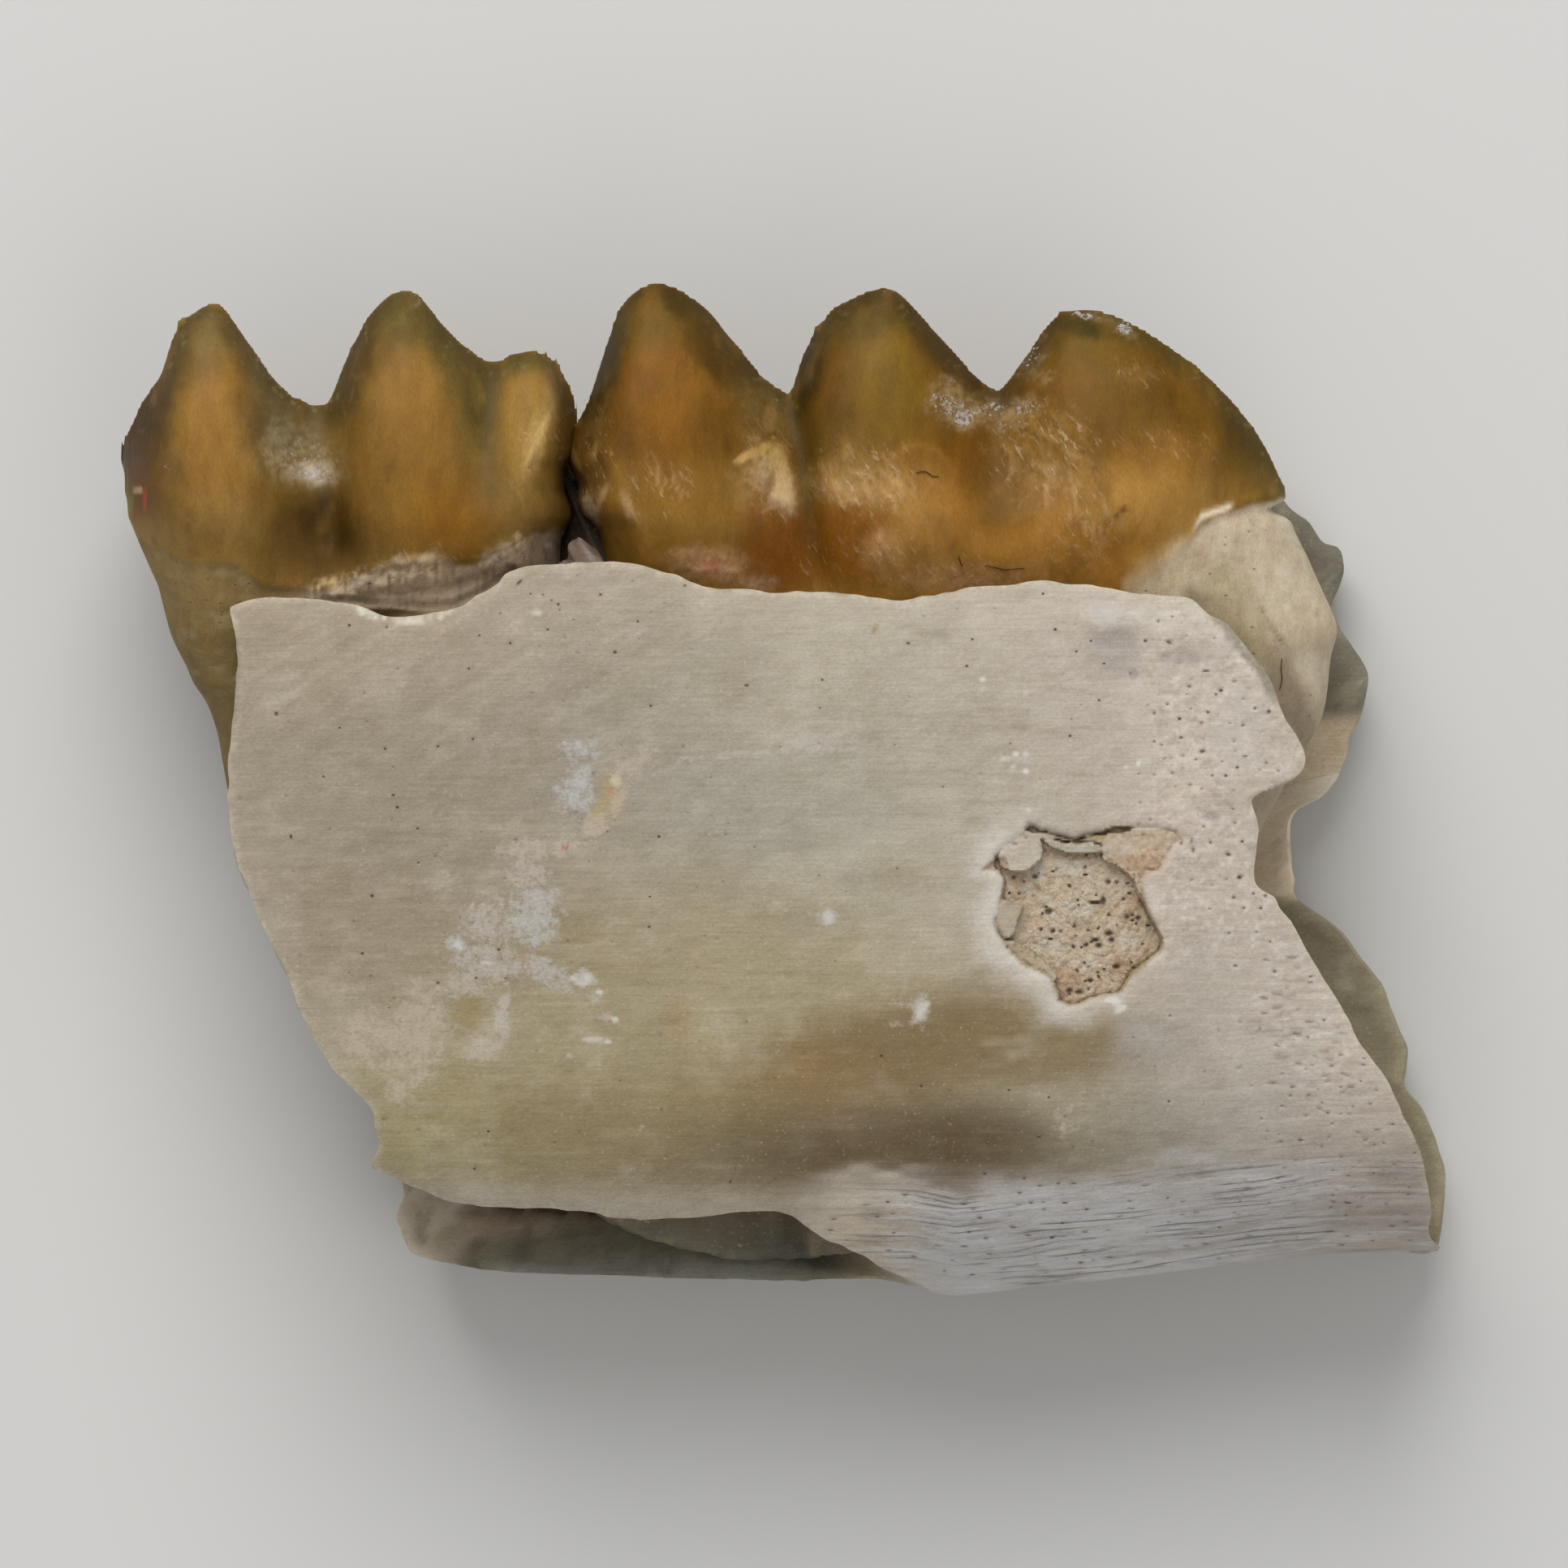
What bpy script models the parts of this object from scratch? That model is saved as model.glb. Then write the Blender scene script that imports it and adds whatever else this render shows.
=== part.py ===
"""A broken section of a small fossil ruminant's lower jaw with its last two molars, lying on the outer
face of its far wall. X runs along the tooth row, Y from the ventral border to the cusps, Z through the jaw."""

import math

import bmesh
import bpy
from mathutils import Vector

MM = 0.001
GRID = 80.0  # survey units to the millimetre
MID_U, MID_V = 966.0, 968.0  # survey position of X = 0, Y = 0
HUB = (950.0, 1130.0)  # the walls' outlines are laid out around this point
ANGLES = 168

NEAR_FACE_Z = 6.05  # outer face of the near wall
NEAR_DOME = 0.15  # how much further its middle stands out
NEAR_EDGE_Z = 5.25  # broken edge of the near wall, outer corner
NEAR_UNDER_Z = 4.75  # inner face of the near wall
FAR_UNDER_Z = 1.45  # inner face of the far wall
FAR_EDGE_Z = 0.75
BORDER_Z = (2.45, 2.85, 3.1, 3.5)  # the same four levels where the walls meet in the ventral border
EDGE_ROUND = (0.7, 3.0)  # how far in the faces curve: at a broken edge, at the ventral border
RECESS = 0.75  # the bone between the walls lies this far in from their edges
TOOTH_Z = 3.3
CLEARANCE = 0.1  # between a tooth and its socket, and round the sediment
CROWN_HALF = 1.95
WINDOW_FLOOR_Z = 4.6
SEDIMENT_TOP_Z = 5.6

NEAR_WALL = [
    (285, 748), (305, 740), (337, 736), (390, 739), (438, 745), (470, 758), (500, 760), (550, 752), (568, 747),
    (586, 734), (613, 718), (644, 698), (680, 695), (742, 693), (787, 696), (822, 705), (854, 718), (876, 724),
    (921, 725), (986, 728), (1040, 731), (1112, 740), (1151, 734), (1189, 725), (1242, 721), (1296, 715),
    (1357, 723), (1396, 731), (1457, 735), (1491, 760), (1512, 769), (1530, 794), (1556, 825), (1571, 853),
    (1584, 889), (1599, 908), (1608, 927), (1607, 943), (1595, 958), (1572, 971), (1547, 981), (1543, 996),
    (1549, 1019), (1546, 1055), (1547, 1088), (1566, 1104), (1587, 1130), (1604, 1158), (1630, 1203),
    (1652, 1239), (1673, 1283), (1703, 1323), (1728, 1373), (1746, 1413), (1757, 1453), (1766, 1497),
    (1761, 1526), (1773, 1537), (1753, 1546), (1713, 1541), (1633, 1543), (1568, 1550), (1495, 1559),
    (1423, 1568), (1350, 1576), (1235, 1587), (1177, 1593), (1129, 1580), (1087, 1564), (1066, 1548),
    (1013, 1525), (981, 1503), (976, 1493), (939, 1490), (843, 1499), (759, 1501), (738, 1493), (674, 1489),
    (595, 1487), (552, 1480), (510, 1461), (488, 1451), (460, 1437), (468, 1409), (463, 1394), (461, 1371),
    (450, 1355), (419, 1325), (388, 1279), (367, 1240), (354, 1198), (339, 1168), (316, 1122), (300, 1080),
    (287, 1041), (281, 984), (283, 940), (285, 899), (289, 851), (293, 814), (290, 778),
]
FAR_WALL = [
    (345, 765), (400, 752), (500, 748), (600, 722), (700, 704), (800, 712), (1000, 734), (1200, 738),
    (1350, 728), (1430, 708), (1500, 668), (1548, 628), (1582, 613), (1595, 627), (1614, 640), (1630, 665),
    (1649, 671), (1658, 690), (1658, 709), (1651, 728), (1645, 740), (1653, 774), (1675, 805), (1689, 832),
    (1685, 862), (1675, 893), (1664, 912), (1662, 931), (1649, 962), (1630, 983), (1603, 996), (1593, 1015),
    (1593, 1054), (1597, 1084), (1600, 1108), (1626, 1126), (1655, 1148), (1677, 1177), (1703, 1210),
    (1717, 1243), (1728, 1272), (1738, 1297), (1733, 1333), (1739, 1348), (1753, 1363), (1768, 1395),
    (1777, 1421), (1784, 1450), (1783, 1472), (1779, 1512), (1771, 1536), (1713, 1537), (1568, 1545),
    (1350, 1569), (1200, 1583), (1124, 1586), (1076, 1578), (992, 1580), (843, 1577), (738, 1573), (632, 1570),
    (568, 1562), (505, 1546), (499, 1535), (486, 1501), (494, 1482), (480, 1420), (450, 1350), (410, 1250),
    (375, 1150), (350, 1050), (342, 950), (338, 850),
]
WINDOW = [
    (1287, 1040), (1312, 1048), (1338, 1050), (1361, 1050), (1384, 1078), (1406, 1102), (1421, 1139),
    (1428, 1156), (1423, 1173), (1398, 1188), (1379, 1219), (1354, 1224), (1319, 1231), (1304, 1214),
    (1296, 1190), (1270, 1170), (1240, 1155), (1228, 1130), (1237, 1102), (1240, 1075), (1262, 1048),
]
WINDOW_HUB = (1330.0, 1133.0)

# Cusps and notches along each crown, then the lower margin, as stations from front to rear.
SECOND_TOP = [
    (149, 550), (160, 534), (174, 496), (196, 473), (206, 454), (216, 402), (242, 381), (263, 369), (283, 391),
    (307, 429), (338, 469), (373, 488), (403, 500), (417, 473), (426, 442), (441, 412), (461, 381), (476, 364),
    (495, 354), (522, 370), (552, 412), (575, 431), (606, 449), (625, 439), (648, 432), (671, 433), (694, 465),
    (706, 500),
]
SECOND_BASE = [(149, 575), (156, 634), (170, 668), (190, 712), (230, 740), (560, 752), (650, 735), (690, 700), (706, 620)]
THIRD_TOP = [
    (721, 502), (739, 462), (754, 404), (765, 374), (781, 356), (813, 343), (850, 364), (888, 404), (926, 450),
    (964, 486), (978, 488), (985, 450), (995, 423), (1010, 396), (1029, 377), (1052, 366), (1090, 350),
    (1117, 368), (1156, 414), (1205, 463), (1235, 484), (1262, 440), (1288, 404), (1311, 380), (1334, 380),
    (1365, 385), (1395, 400), (1449, 435), (1506, 484), (1533, 515), (1556, 546), (1571, 580), (1576, 600),
]
THIRD_BASE = [(721, 560), (735, 660), (744, 712), (800, 745), (1300, 745), (1400, 725), (1464, 672), (1506, 640), (1576, 622)]
SECOND_LOBES = [(263, 120), (495, 120), (655, 50)]  # cusp position and half length
THIRD_LOBES = [(820, 125), (1090, 125), (1370, 190)]

# Each root: level, front edge, rear edge, half width through the jaw in mm.
SECOND_FRONT_ROOT = [(640, 190, 330, 1.2), (692, 183, 338, 1.45), (759, 203, 345, 1.4), (841, 237, 350, 1.3),
                     (905, 267, 360, 1.2), (984, 283, 370, 1.0), (1041, 292, 376, 0.8), (1110, 335, 372, 0.4)]
SECOND_REAR_ROOT = [(660, 430, 645, 1.3), (760, 440, 640, 1.4), (900, 480, 620, 1.2), (1020, 520, 600, 0.8), (1090, 548, 588, 0.4)]
THIRD_FRONT_ROOT = [(660, 770, 960, 1.4), (780, 785, 960, 1.45), (920, 815, 940, 1.2), (1050, 848, 912, 0.8), (1120, 866, 900, 0.4)]
THIRD_REAR_ROOT = [(632, 1400, 1574, 1.0), (657, 1310, 1596, 1.3), (687, 1200, 1612, 1.45), (730, 1180, 1631, 1.45),
                   (775, 1190, 1648, 1.4), (830, 1230, 1639, 1.35), (886, 1280, 1628, 1.25), (960, 1350, 1588, 1.0),
                   (1040, 1420, 1545, 0.7), (1090, 1455, 1510, 0.4)]

for thing in list(bpy.data.objects):
    bpy.data.objects.remove(thing, do_unlink=True)


def at(u, v):
    """Survey position to millimetres."""
    return (u - MID_U) / GRID, (MID_V - v) / GRID


def mix(a, b, t):
    return a + (b - a) * t


def smooth(a, b, x):
    t = min(1.0, max(0.0, (x - a) / (b - a)))
    return t * t * (3.0 - 2.0 * t)


def reach(outline, hub, angle):
    """Distance in millimetres from the hub to the outline along an angle."""
    dx, dy = math.cos(angle), math.sin(angle)
    best = 0.0
    points = [((u - hub[0]) / GRID, (hub[1] - v) / GRID) for u, v in outline]
    for (x0, y0), (x1, y1) in zip(points, points[1:] + points[:1]):
        ex, ey = x1 - x0, y1 - y0
        cross = dx * ey - dy * ex
        if abs(cross) < 1e-12:
            continue
        far = (x0 * ey - y0 * ex) / cross
        along = (x0 * dy - y0 * dx) / cross
        if far > best and -1e-9 <= along <= 1 + 1e-9:
            best = far
    return best


def station(pairs, x):
    """Value along a list of stations."""
    if x <= pairs[0][0]:
        return pairs[0][1]
    for (x0, y0), (x1, y1) in zip(pairs, pairs[1:]):
        if x <= x1:
            return mix(y0, y1, (x - x0) / (x1 - x0))
    return pairs[-1][1]


def material(name, colour, roughness):
    m = bpy.data.materials.new(name)
    m.use_nodes = True
    shader = next(n for n in m.node_tree.nodes if n.type == "BSDF_PRINCIPLED")
    shader.inputs["Base Color"].default_value = (*colour, 1.0)
    shader.inputs["Roughness"].default_value = roughness
    m.diffuse_color = (*colour, 1.0)
    return m


def skin(name, rings, tip=None, foot=None):
    """A closed solid from rings of equal length, each a list of millimetre points. tip and foot close an end on a point."""
    bm = bmesh.new()
    loops = [[bm.verts.new(Vector(p) * MM) for p in ring] for ring in rings]
    for low, high in zip(loops, loops[1:]):
        for i in range(len(low)):
            j = (i + 1) % len(low)
            bm.faces.new((low[i], low[j], high[j], high[i]))
    for loop, point, turn in ((loops[0], foot, True), (loops[-1], tip, False)):
        ring = list(reversed(loop)) if turn else loop
        if point is None:
            bm.faces.new(ring)
        else:
            middle = bm.verts.new(Vector(point) * MM)
            for i in range(len(ring)):
                bm.faces.new((ring[i], ring[(i + 1) % len(ring)], middle))
    bmesh.ops.recalc_face_normals(bm, faces=bm.faces)
    bmesh.ops.triangulate(bm, faces=[f for f in bm.faces if len(f.verts) > 4])
    mesh = bpy.data.meshes.new(name)
    bm.to_mesh(mesh)
    bm.free()
    thing = bpy.data.objects.new(name, mesh)
    bpy.context.scene.collection.objects.link(thing)
    return thing


def combine(target, form, operation):
    """The target joined to, or cut by, a form that is itself hidden."""
    form.hide_render = True
    form.display_type = "WIRE"
    step = target.modifiers.new(form.name, "BOOLEAN")
    step.operation = operation
    step.solver = "EXACT"
    step.object = form


def jaw_bone():
    hx, hy = at(*HUB)
    turns = [2 * math.pi * i / ANGLES for i in range(ANGLES)]
    near = [reach(NEAR_WALL, HUB, a) for a in turns]
    far = [reach(FAR_WALL, HUB, a) for a in turns]
    # 1 along the ventral border, where the walls are one, and 0 along the broken edges
    join = [smooth(-96, -78, math.degrees(a) - 360) * (1 - smooth(-34, -27, math.degrees(a) - 360)) if a > math.pi else 0.0 for a in turns]

    def ring(radii, levels):
        return [(hx + r * math.cos(a), hy + r * math.sin(a), z) for a, r, z in zip(turns, radii, levels)]

    def faced(walls, edge, face, insets):
        rings = []
        for inset in insets:
            radii, levels = [], []
            for r, w, z in zip(walls, join, edge):
                t = min(1.0, inset / mix(*EDGE_ROUND, w))
                radii.append(r - inset)
                levels.append(z + (face - z) * math.sqrt(max(0.0, 1 - (1 - t) ** 2)))
            rings.append(ring(radii, levels))
        return rings

    level = [[mix(a, b, w) for w in join] for a, b in
             zip((FAR_EDGE_Z, FAR_UNDER_Z, NEAR_UNDER_Z, NEAR_EDGE_Z), BORDER_Z)]
    core = [min(n, f) - mix(RECESS, 0.02, w) for n, f, w in zip(near, far, join)]
    insets = (0.0, 0.12, 0.4, 1.0, 1.8, 3.0)
    rings = list(reversed(faced(far, level[0], 0.0, insets)))
    rings.append(ring([r - 0.03 for r in far], level[1]))
    rings.append(ring(core, [z + 0.12 for z in level[1]]))
    rings.append(ring(core, [z - 0.12 for z in level[2]]))
    rings.append(ring([r - 0.03 for r in near], level[2]))
    rings.extend(faced(near, level[3], NEAR_FACE_Z, insets))
    for share in (0.55, 0.25):
        rings.append(ring([(r - insets[-1]) * share for r in near], [NEAR_FACE_Z + NEAR_DOME * (1 - share ** 2)] * ANGLES))
    bone = skin("jaw_bone", rings, tip=(hx, hy, NEAR_FACE_Z + NEAR_DOME))
    return bone


def crown(name, top, base, lobes, grow=0.0):
    """A two-rowed crown, lofted from front to rear through M-shaped sections."""
    first, last = top[0][0], top[-1][0]
    stations = sorted({u for u, _ in top} | {u for u, _ in base if first < u < last})
    rings = []
    for u in stations:
        t, b = at(u, station(top, u))[1], at(u, station(base, u))[1]
        bulge = max(math.sqrt(max(0.0, 1 - (abs(u - c) / (h * 1.35)) ** 2.4)) for c, h in lobes)
        end = min(1.0, 0.3 + 0.7 * math.sqrt(max(0.0, min(u - first, last - u) / 90)))
        half = CROWN_HALF * (0.72 + 0.28 * bulge) * end
        tall = t - b
        far_top = t - 0.12 - 0.12 * tall
        valley = b + (far_top - b) * mix(0.86, 0.62, min(1.0, tall / 4.0))
        x = at(u, 0)[0]
        half += grow
        t, far_top, valley, b = t + grow, far_top + grow, valley + grow, b - grow
        section = [(0.80, b), (1.0, mix(b, t, 0.28)), (0.93, mix(b, t, 0.6)), (0.74, mix(b, t, 0.87)), (0.58, t),
                   (0.30, mix(t, valley, 0.6)), (0.0, valley), (-0.30, mix(far_top, valley, 0.6)), (-0.58, far_top),
                   (-0.74, mix(b, far_top, 0.87)), (-0.93, mix(b, far_top, 0.6)), (-1.0, mix(b, far_top, 0.28)),
                   (-0.80, b)]
        rings.append([(x, y, TOOTH_Z + side * half) for side, y in section])
    if grow:
        rings[0] = [(x - grow, y, z) for x, y, z in rings[0]]
        rings[-1] = [(x + grow, y, z) for x, y, z in rings[-1]]
    return skin(name, rings)


def root(name, levels, grow=0.0):
    """A tapering root, lofted downwards through rounded sections."""
    rings = []
    for v, front, rear, half in levels:
        x0, y = at(front, v)
        x1, _ = at(rear, v)
        mid, wide = (x0 + x1) / 2, (x1 - x0) / 2 + grow
        rings.append([(mid + wide * math.cos(a), y, TOOTH_Z + (half + grow) * math.sin(a))
                      for a in (2 * math.pi * i / 16 for i in range(16))])
    x0, y = at((levels[-1][1] + levels[-1][2]) / 2, levels[-1][0])
    foot = (x0, y - 0.12 - grow, TOOTH_Z)
    return skin(name, rings, tip=foot)


def tooth(name, top, base, lobes, roots):
    body = crown(name, top, base, lobes)
    for place, levels in roots:
        combine(body, root(name + place, levels), "UNION")
    return body


def sockets(bone, name, top, base, lobes, roots):
    combine(bone, crown(name + "_seat", top, base, lobes, CLEARANCE), "DIFFERENCE")
    for place, levels in roots:
        combine(bone, root(name + place + "_socket", levels, CLEARANCE), "DIFFERENCE")


def plug(name, low, high, grow=0.0, dome=0.0):
    """A short column with the window's outline."""
    hx, hy = at(*WINDOW_HUB)
    turns = [2 * math.pi * i / 28 for i in range(28)]
    radii = [reach(WINDOW, WINDOW_HUB, a) + grow for a in turns]

    def ring(share, z):
        return [(hx + r * share * math.cos(a), hy + r * share * math.sin(a), z) for a, r in zip(turns, radii)]

    rings = [ring(0.93, low), ring(1.0, high)]
    tip = None
    if dome:
        rings += [ring(0.7, high + dome * 0.6), ring(0.35, high + dome * 0.9)]
        tip = (hx, hy, high + dome)
    return skin(name, rings, tip=tip)


SECOND_ROOTS = [("_front_root", SECOND_FRONT_ROOT), ("_rear_root", SECOND_REAR_ROOT)]
THIRD_ROOTS = [("_front_root", THIRD_FRONT_ROOT), ("_rear_root", THIRD_REAR_ROOT)]

bone = jaw_bone()
sockets(bone, "second_molar", SECOND_TOP, SECOND_BASE, SECOND_LOBES, SECOND_ROOTS)
sockets(bone, "third_molar", THIRD_TOP, THIRD_BASE, THIRD_LOBES, THIRD_ROOTS)
combine(bone, plug("window_recess", WINDOW_FLOOR_Z, NEAR_FACE_Z + 1.0, CLEARANCE), "DIFFERENCE")
second = tooth("second_molar", SECOND_TOP, SECOND_BASE, SECOND_LOBES, SECOND_ROOTS)
third = tooth("third_molar", THIRD_TOP, THIRD_BASE, THIRD_LOBES, THIRD_ROOTS)
fill = plug("sediment_fill", WINDOW_FLOOR_Z + CLEARANCE, SEDIMENT_TOP_Z, -0.02, dome=0.08)

for thing, colour, roughness in (
    (bone, (0.46, 0.41, 0.33), 0.75),
    (second, (0.33, 0.19, 0.05), 0.3),
    (third, (0.34, 0.19, 0.05), 0.3),
    (fill, (0.50, 0.38, 0.24), 0.95),
):
    thing.data.materials.append(material(thing.name, colour, roughness))
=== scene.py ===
import math

import bpy
import numpy as np
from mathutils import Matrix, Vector
from mathutils.geometry import delaunay_2d_cdt


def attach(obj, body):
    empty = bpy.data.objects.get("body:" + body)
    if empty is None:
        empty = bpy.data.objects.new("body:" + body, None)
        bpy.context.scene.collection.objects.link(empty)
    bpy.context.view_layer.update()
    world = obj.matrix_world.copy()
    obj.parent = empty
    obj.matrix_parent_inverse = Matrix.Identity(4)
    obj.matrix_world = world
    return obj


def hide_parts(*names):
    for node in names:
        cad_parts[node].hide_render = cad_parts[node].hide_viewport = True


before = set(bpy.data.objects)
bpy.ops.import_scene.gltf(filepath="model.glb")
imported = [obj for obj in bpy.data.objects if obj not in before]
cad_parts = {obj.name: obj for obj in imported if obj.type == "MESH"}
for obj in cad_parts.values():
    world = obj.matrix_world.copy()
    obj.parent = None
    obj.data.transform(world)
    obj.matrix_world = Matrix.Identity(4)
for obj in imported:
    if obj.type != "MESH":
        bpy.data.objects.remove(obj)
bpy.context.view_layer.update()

# ---------------------------------------------------------------------------------------------------------------------
# Survey: outlines are read in units of 1/80 mm. u runs along the tooth row, v from the cusps down to the ventral border.
# ---------------------------------------------------------------------------------------------------------------------
GRID, MID_U, MID_V = 80.0, 966.0, 968.0
HUB = (950.0, 1130.0)

NEAR_WALL = [
    (285, 748), (292, 744), (305, 740), (320, 737), (337, 736), (365, 737), (390, 739), (415, 742), (438, 745), (455, 751),
    (470, 758), (485, 761), (500, 760), (525, 757), (550, 752), (568, 747), (577, 741), (586, 734), (600, 726), (613, 718),
    (622, 707), (632, 702), (644, 698), (660, 696), (680, 695), (710, 694), (742, 693), (765, 694), (787, 696), (805, 700),
    (822, 705), (840, 711), (854, 718), (865, 722), (876, 724), (900, 725), (921, 725), (948, 730), (970, 729), (986, 728),
    (1012, 729), (1040, 731), (1074, 734), (1093, 738), (1112, 740), (1130, 737), (1151, 734), (1170, 729), (1189, 725),
    (1215, 723), (1242, 721), (1270, 717), (1296, 715), (1319, 719), (1340, 721), (1357, 723), (1375, 727), (1396, 731),
    (1425, 733), (1457, 735), (1470, 738), (1481, 749), (1491, 760), (1502, 764), (1512, 769), (1521, 781), (1530, 794),
    (1543, 809), (1556, 825), (1564, 839), (1571, 853), (1578, 872), (1584, 889), (1592, 900), (1599, 908), (1608, 927),
    (1607, 943), (1595, 958), (1584, 965), (1572, 971), (1558, 975), (1547, 981), (1542, 988), (1543, 996), (1547, 1008),
    (1549, 1019), (1547, 1042), (1545, 1065), (1547, 1088), (1555, 1097), (1566, 1104), (1576, 1117), (1587, 1130),
    (1596, 1144), (1604, 1158), (1617, 1181), (1630, 1203), (1641, 1221), (1652, 1239), (1663, 1261), (1673, 1283),
    (1688, 1303), (1703, 1323), (1716, 1348), (1728, 1373), (1738, 1393), (1746, 1413), (1753, 1433), (1757, 1453),
    (1762, 1475), (1766, 1497), (1762, 1513), (1763, 1526), (1773, 1537), (1765, 1544), (1753, 1546), (1733, 1543),
    (1713, 1541), (1673, 1542), (1633, 1543), (1600, 1546), (1568, 1550), (1530, 1554), (1495, 1559), (1460, 1563),
    (1423, 1568), (1385, 1572), (1350, 1576), (1290, 1582), (1235, 1587), (1205, 1591), (1177, 1593), (1152, 1588),
    (1129, 1580), (1108, 1572), (1087, 1564), (1076, 1556), (1066, 1548), (1040, 1536), (1013, 1525), (996, 1513),
    (983, 1503), (976, 1496), (960, 1492), (939, 1490), (915, 1492), (890, 1496), (867, 1497), (843, 1499), (800, 1501),
    (759, 1501), (748, 1498), (738, 1493), (715, 1491), (695, 1490), (674, 1489), (635, 1488), (595, 1487), (572, 1484),
    (552, 1480), (530, 1470), (510, 1461), (498, 1456), (488, 1451), (473, 1444), (460, 1437), (463, 1424), (469, 1409),
    (463, 1394), (462, 1382), (461, 1371), (450, 1355), (434, 1340), (419, 1325), (402, 1302), (388, 1279), (377, 1260),
    (367, 1240), (360, 1218), (354, 1198), (347, 1183), (339, 1168), (327, 1144), (316, 1122), (307, 1101), (300, 1080),
    (293, 1060), (287, 1041), (283, 1012), (281, 984), (282, 962), (283, 940), (284, 920), (285, 899), (287, 875), (289, 851),
    (291, 832), (293, 814), (292, 796), (290, 778), (287, 762),
]
FAR_WALL = [
    (345, 765), (400, 752), (500, 748), (600, 722), (700, 704), (800, 712), (1000, 734), (1200, 738), (1350, 728),
    (1430, 708), (1500, 668), (1548, 628), (1582, 613), (1588, 620), (1595, 627), (1605, 634), (1614, 640), (1622, 651),
    (1630, 665), (1639, 670), (1649, 671), (1656, 680), (1658, 690), (1659, 700), (1657, 710), (1651, 728), (1645, 740),
    (1648, 757), (1653, 774), (1664, 790), (1675, 805), (1684, 818), (1689, 832), (1688, 847), (1685, 862), (1681, 878),
    (1675, 893), (1668, 903), (1664, 912), (1663, 922), (1662, 931), (1656, 947), (1649, 962), (1640, 974), (1630, 983),
    (1616, 990), (1603, 996), (1596, 1005), (1593, 1015), (1592, 1034), (1593, 1054), (1594, 1070), (1597, 1084),
    (1597, 1097), (1602, 1108), (1613, 1117), (1626, 1126), (1641, 1136), (1655, 1148), (1667, 1162), (1677, 1177),
    (1691, 1194), (1703, 1210), (1711, 1226), (1717, 1243), (1723, 1258), (1728, 1272), (1735, 1286), (1738, 1297),
    (1736, 1316), (1733, 1333), (1735, 1342), (1741, 1350), (1753, 1363), (1761, 1378), (1768, 1395), (1773, 1408),
    (1777, 1421), (1782, 1436), (1784, 1450), (1784, 1461), (1783, 1472), (1781, 1492), (1779, 1512), (1777, 1526),
    (1774, 1537), (1762, 1544), (1713, 1538), (1568, 1546), (1350, 1570), (1200, 1585), (1150, 1588), (1124, 1586),
    (1100, 1581), (1076, 1578), (1050, 1578), (1020, 1578), (992, 1580), (940, 1579), (890, 1578), (843, 1577), (790, 1575),
    (738, 1573), (685, 1572), (632, 1570), (600, 1567), (568, 1562), (536, 1555), (512, 1549), (503, 1543), (499, 1535),
    (492, 1518), (486, 1501), (489, 1491), (496, 1478), (488, 1440), (470, 1400), (450, 1350), (410, 1250), (375, 1150),
    (350, 1050), (342, 950), (338, 850),
]
WINDOW = [
    (1268, 1016), (1283, 1022), (1300, 1027), (1315, 1031), (1329, 1032), (1342, 1029), (1354, 1025), (1372, 1019),
    (1392, 1018), (1420, 1020), (1446, 1025), (1454, 1034), (1441, 1046), (1434, 1058), (1428, 1069), (1413, 1075),
    (1405, 1086), (1406, 1102), (1412, 1121), (1423, 1139), (1431, 1156), (1428, 1172), (1413, 1184), (1400, 1194),
    (1388, 1209), (1380, 1223), (1362, 1226), (1341, 1231), (1322, 1238), (1306, 1233), (1302, 1217), (1293, 1204),
    (1276, 1194), (1258, 1184), (1243, 1170), (1234, 1156), (1226, 1138), (1231, 1120), (1236, 1100), (1237, 1086),
    (1229, 1072), (1223, 1062), (1232, 1050), (1247, 1038), (1258, 1029),
]
WINDOW_HUB = (1332.0, 1125.0)
LEDGES = [  # thin sheets of bone still standing in the window: outline, depth below the face in mm
    ([(1272, 1026), (1290, 1026), (1311, 1031), (1326, 1035), (1340, 1030), (1362, 1028), (1362, 1042),
      (1345, 1038), (1311, 1037), (1296, 1034), (1284, 1036)], 0.08),
    ([(1285, 1036), (1296, 1033), (1311, 1037), (1325, 1039), (1343, 1038), (1357, 1041), (1362, 1050), (1345, 1052), (1325, 1053),
      (1307, 1050), (1293, 1044)], 0.035),
    ([(1240, 1034), (1262, 1022), (1284, 1036), (1287, 1048), (1279, 1064), (1267, 1073), (1251, 1075), (1236, 1072), (1230, 1066),
      (1230, 1048)], 0.008),
    ([(1230, 1108), (1252, 1112), (1262, 1118), (1257, 1129), (1254, 1143), (1248, 1155), (1237, 1156), (1222, 1150), (1216, 1130)], 0.022),
    ([(1233, 1157), (1250, 1158), (1262, 1163), (1272, 1169), (1283, 1179), (1295, 1189), (1304, 1206), (1290, 1210), (1268, 1198),
      (1248, 1186), (1234, 1172)], 0.085),
    ([(1384, 1024), (1362, 1026), (1358, 1044), (1357, 1060), (1370, 1066), (1388, 1078), (1397, 1090), (1404, 1106), (1418, 1104),
      (1440, 1076), (1470, 1050), (1470, 1010), (1420, 1008)], 0.035),
]
SHELF = LEDGES[-1][0]
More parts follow.
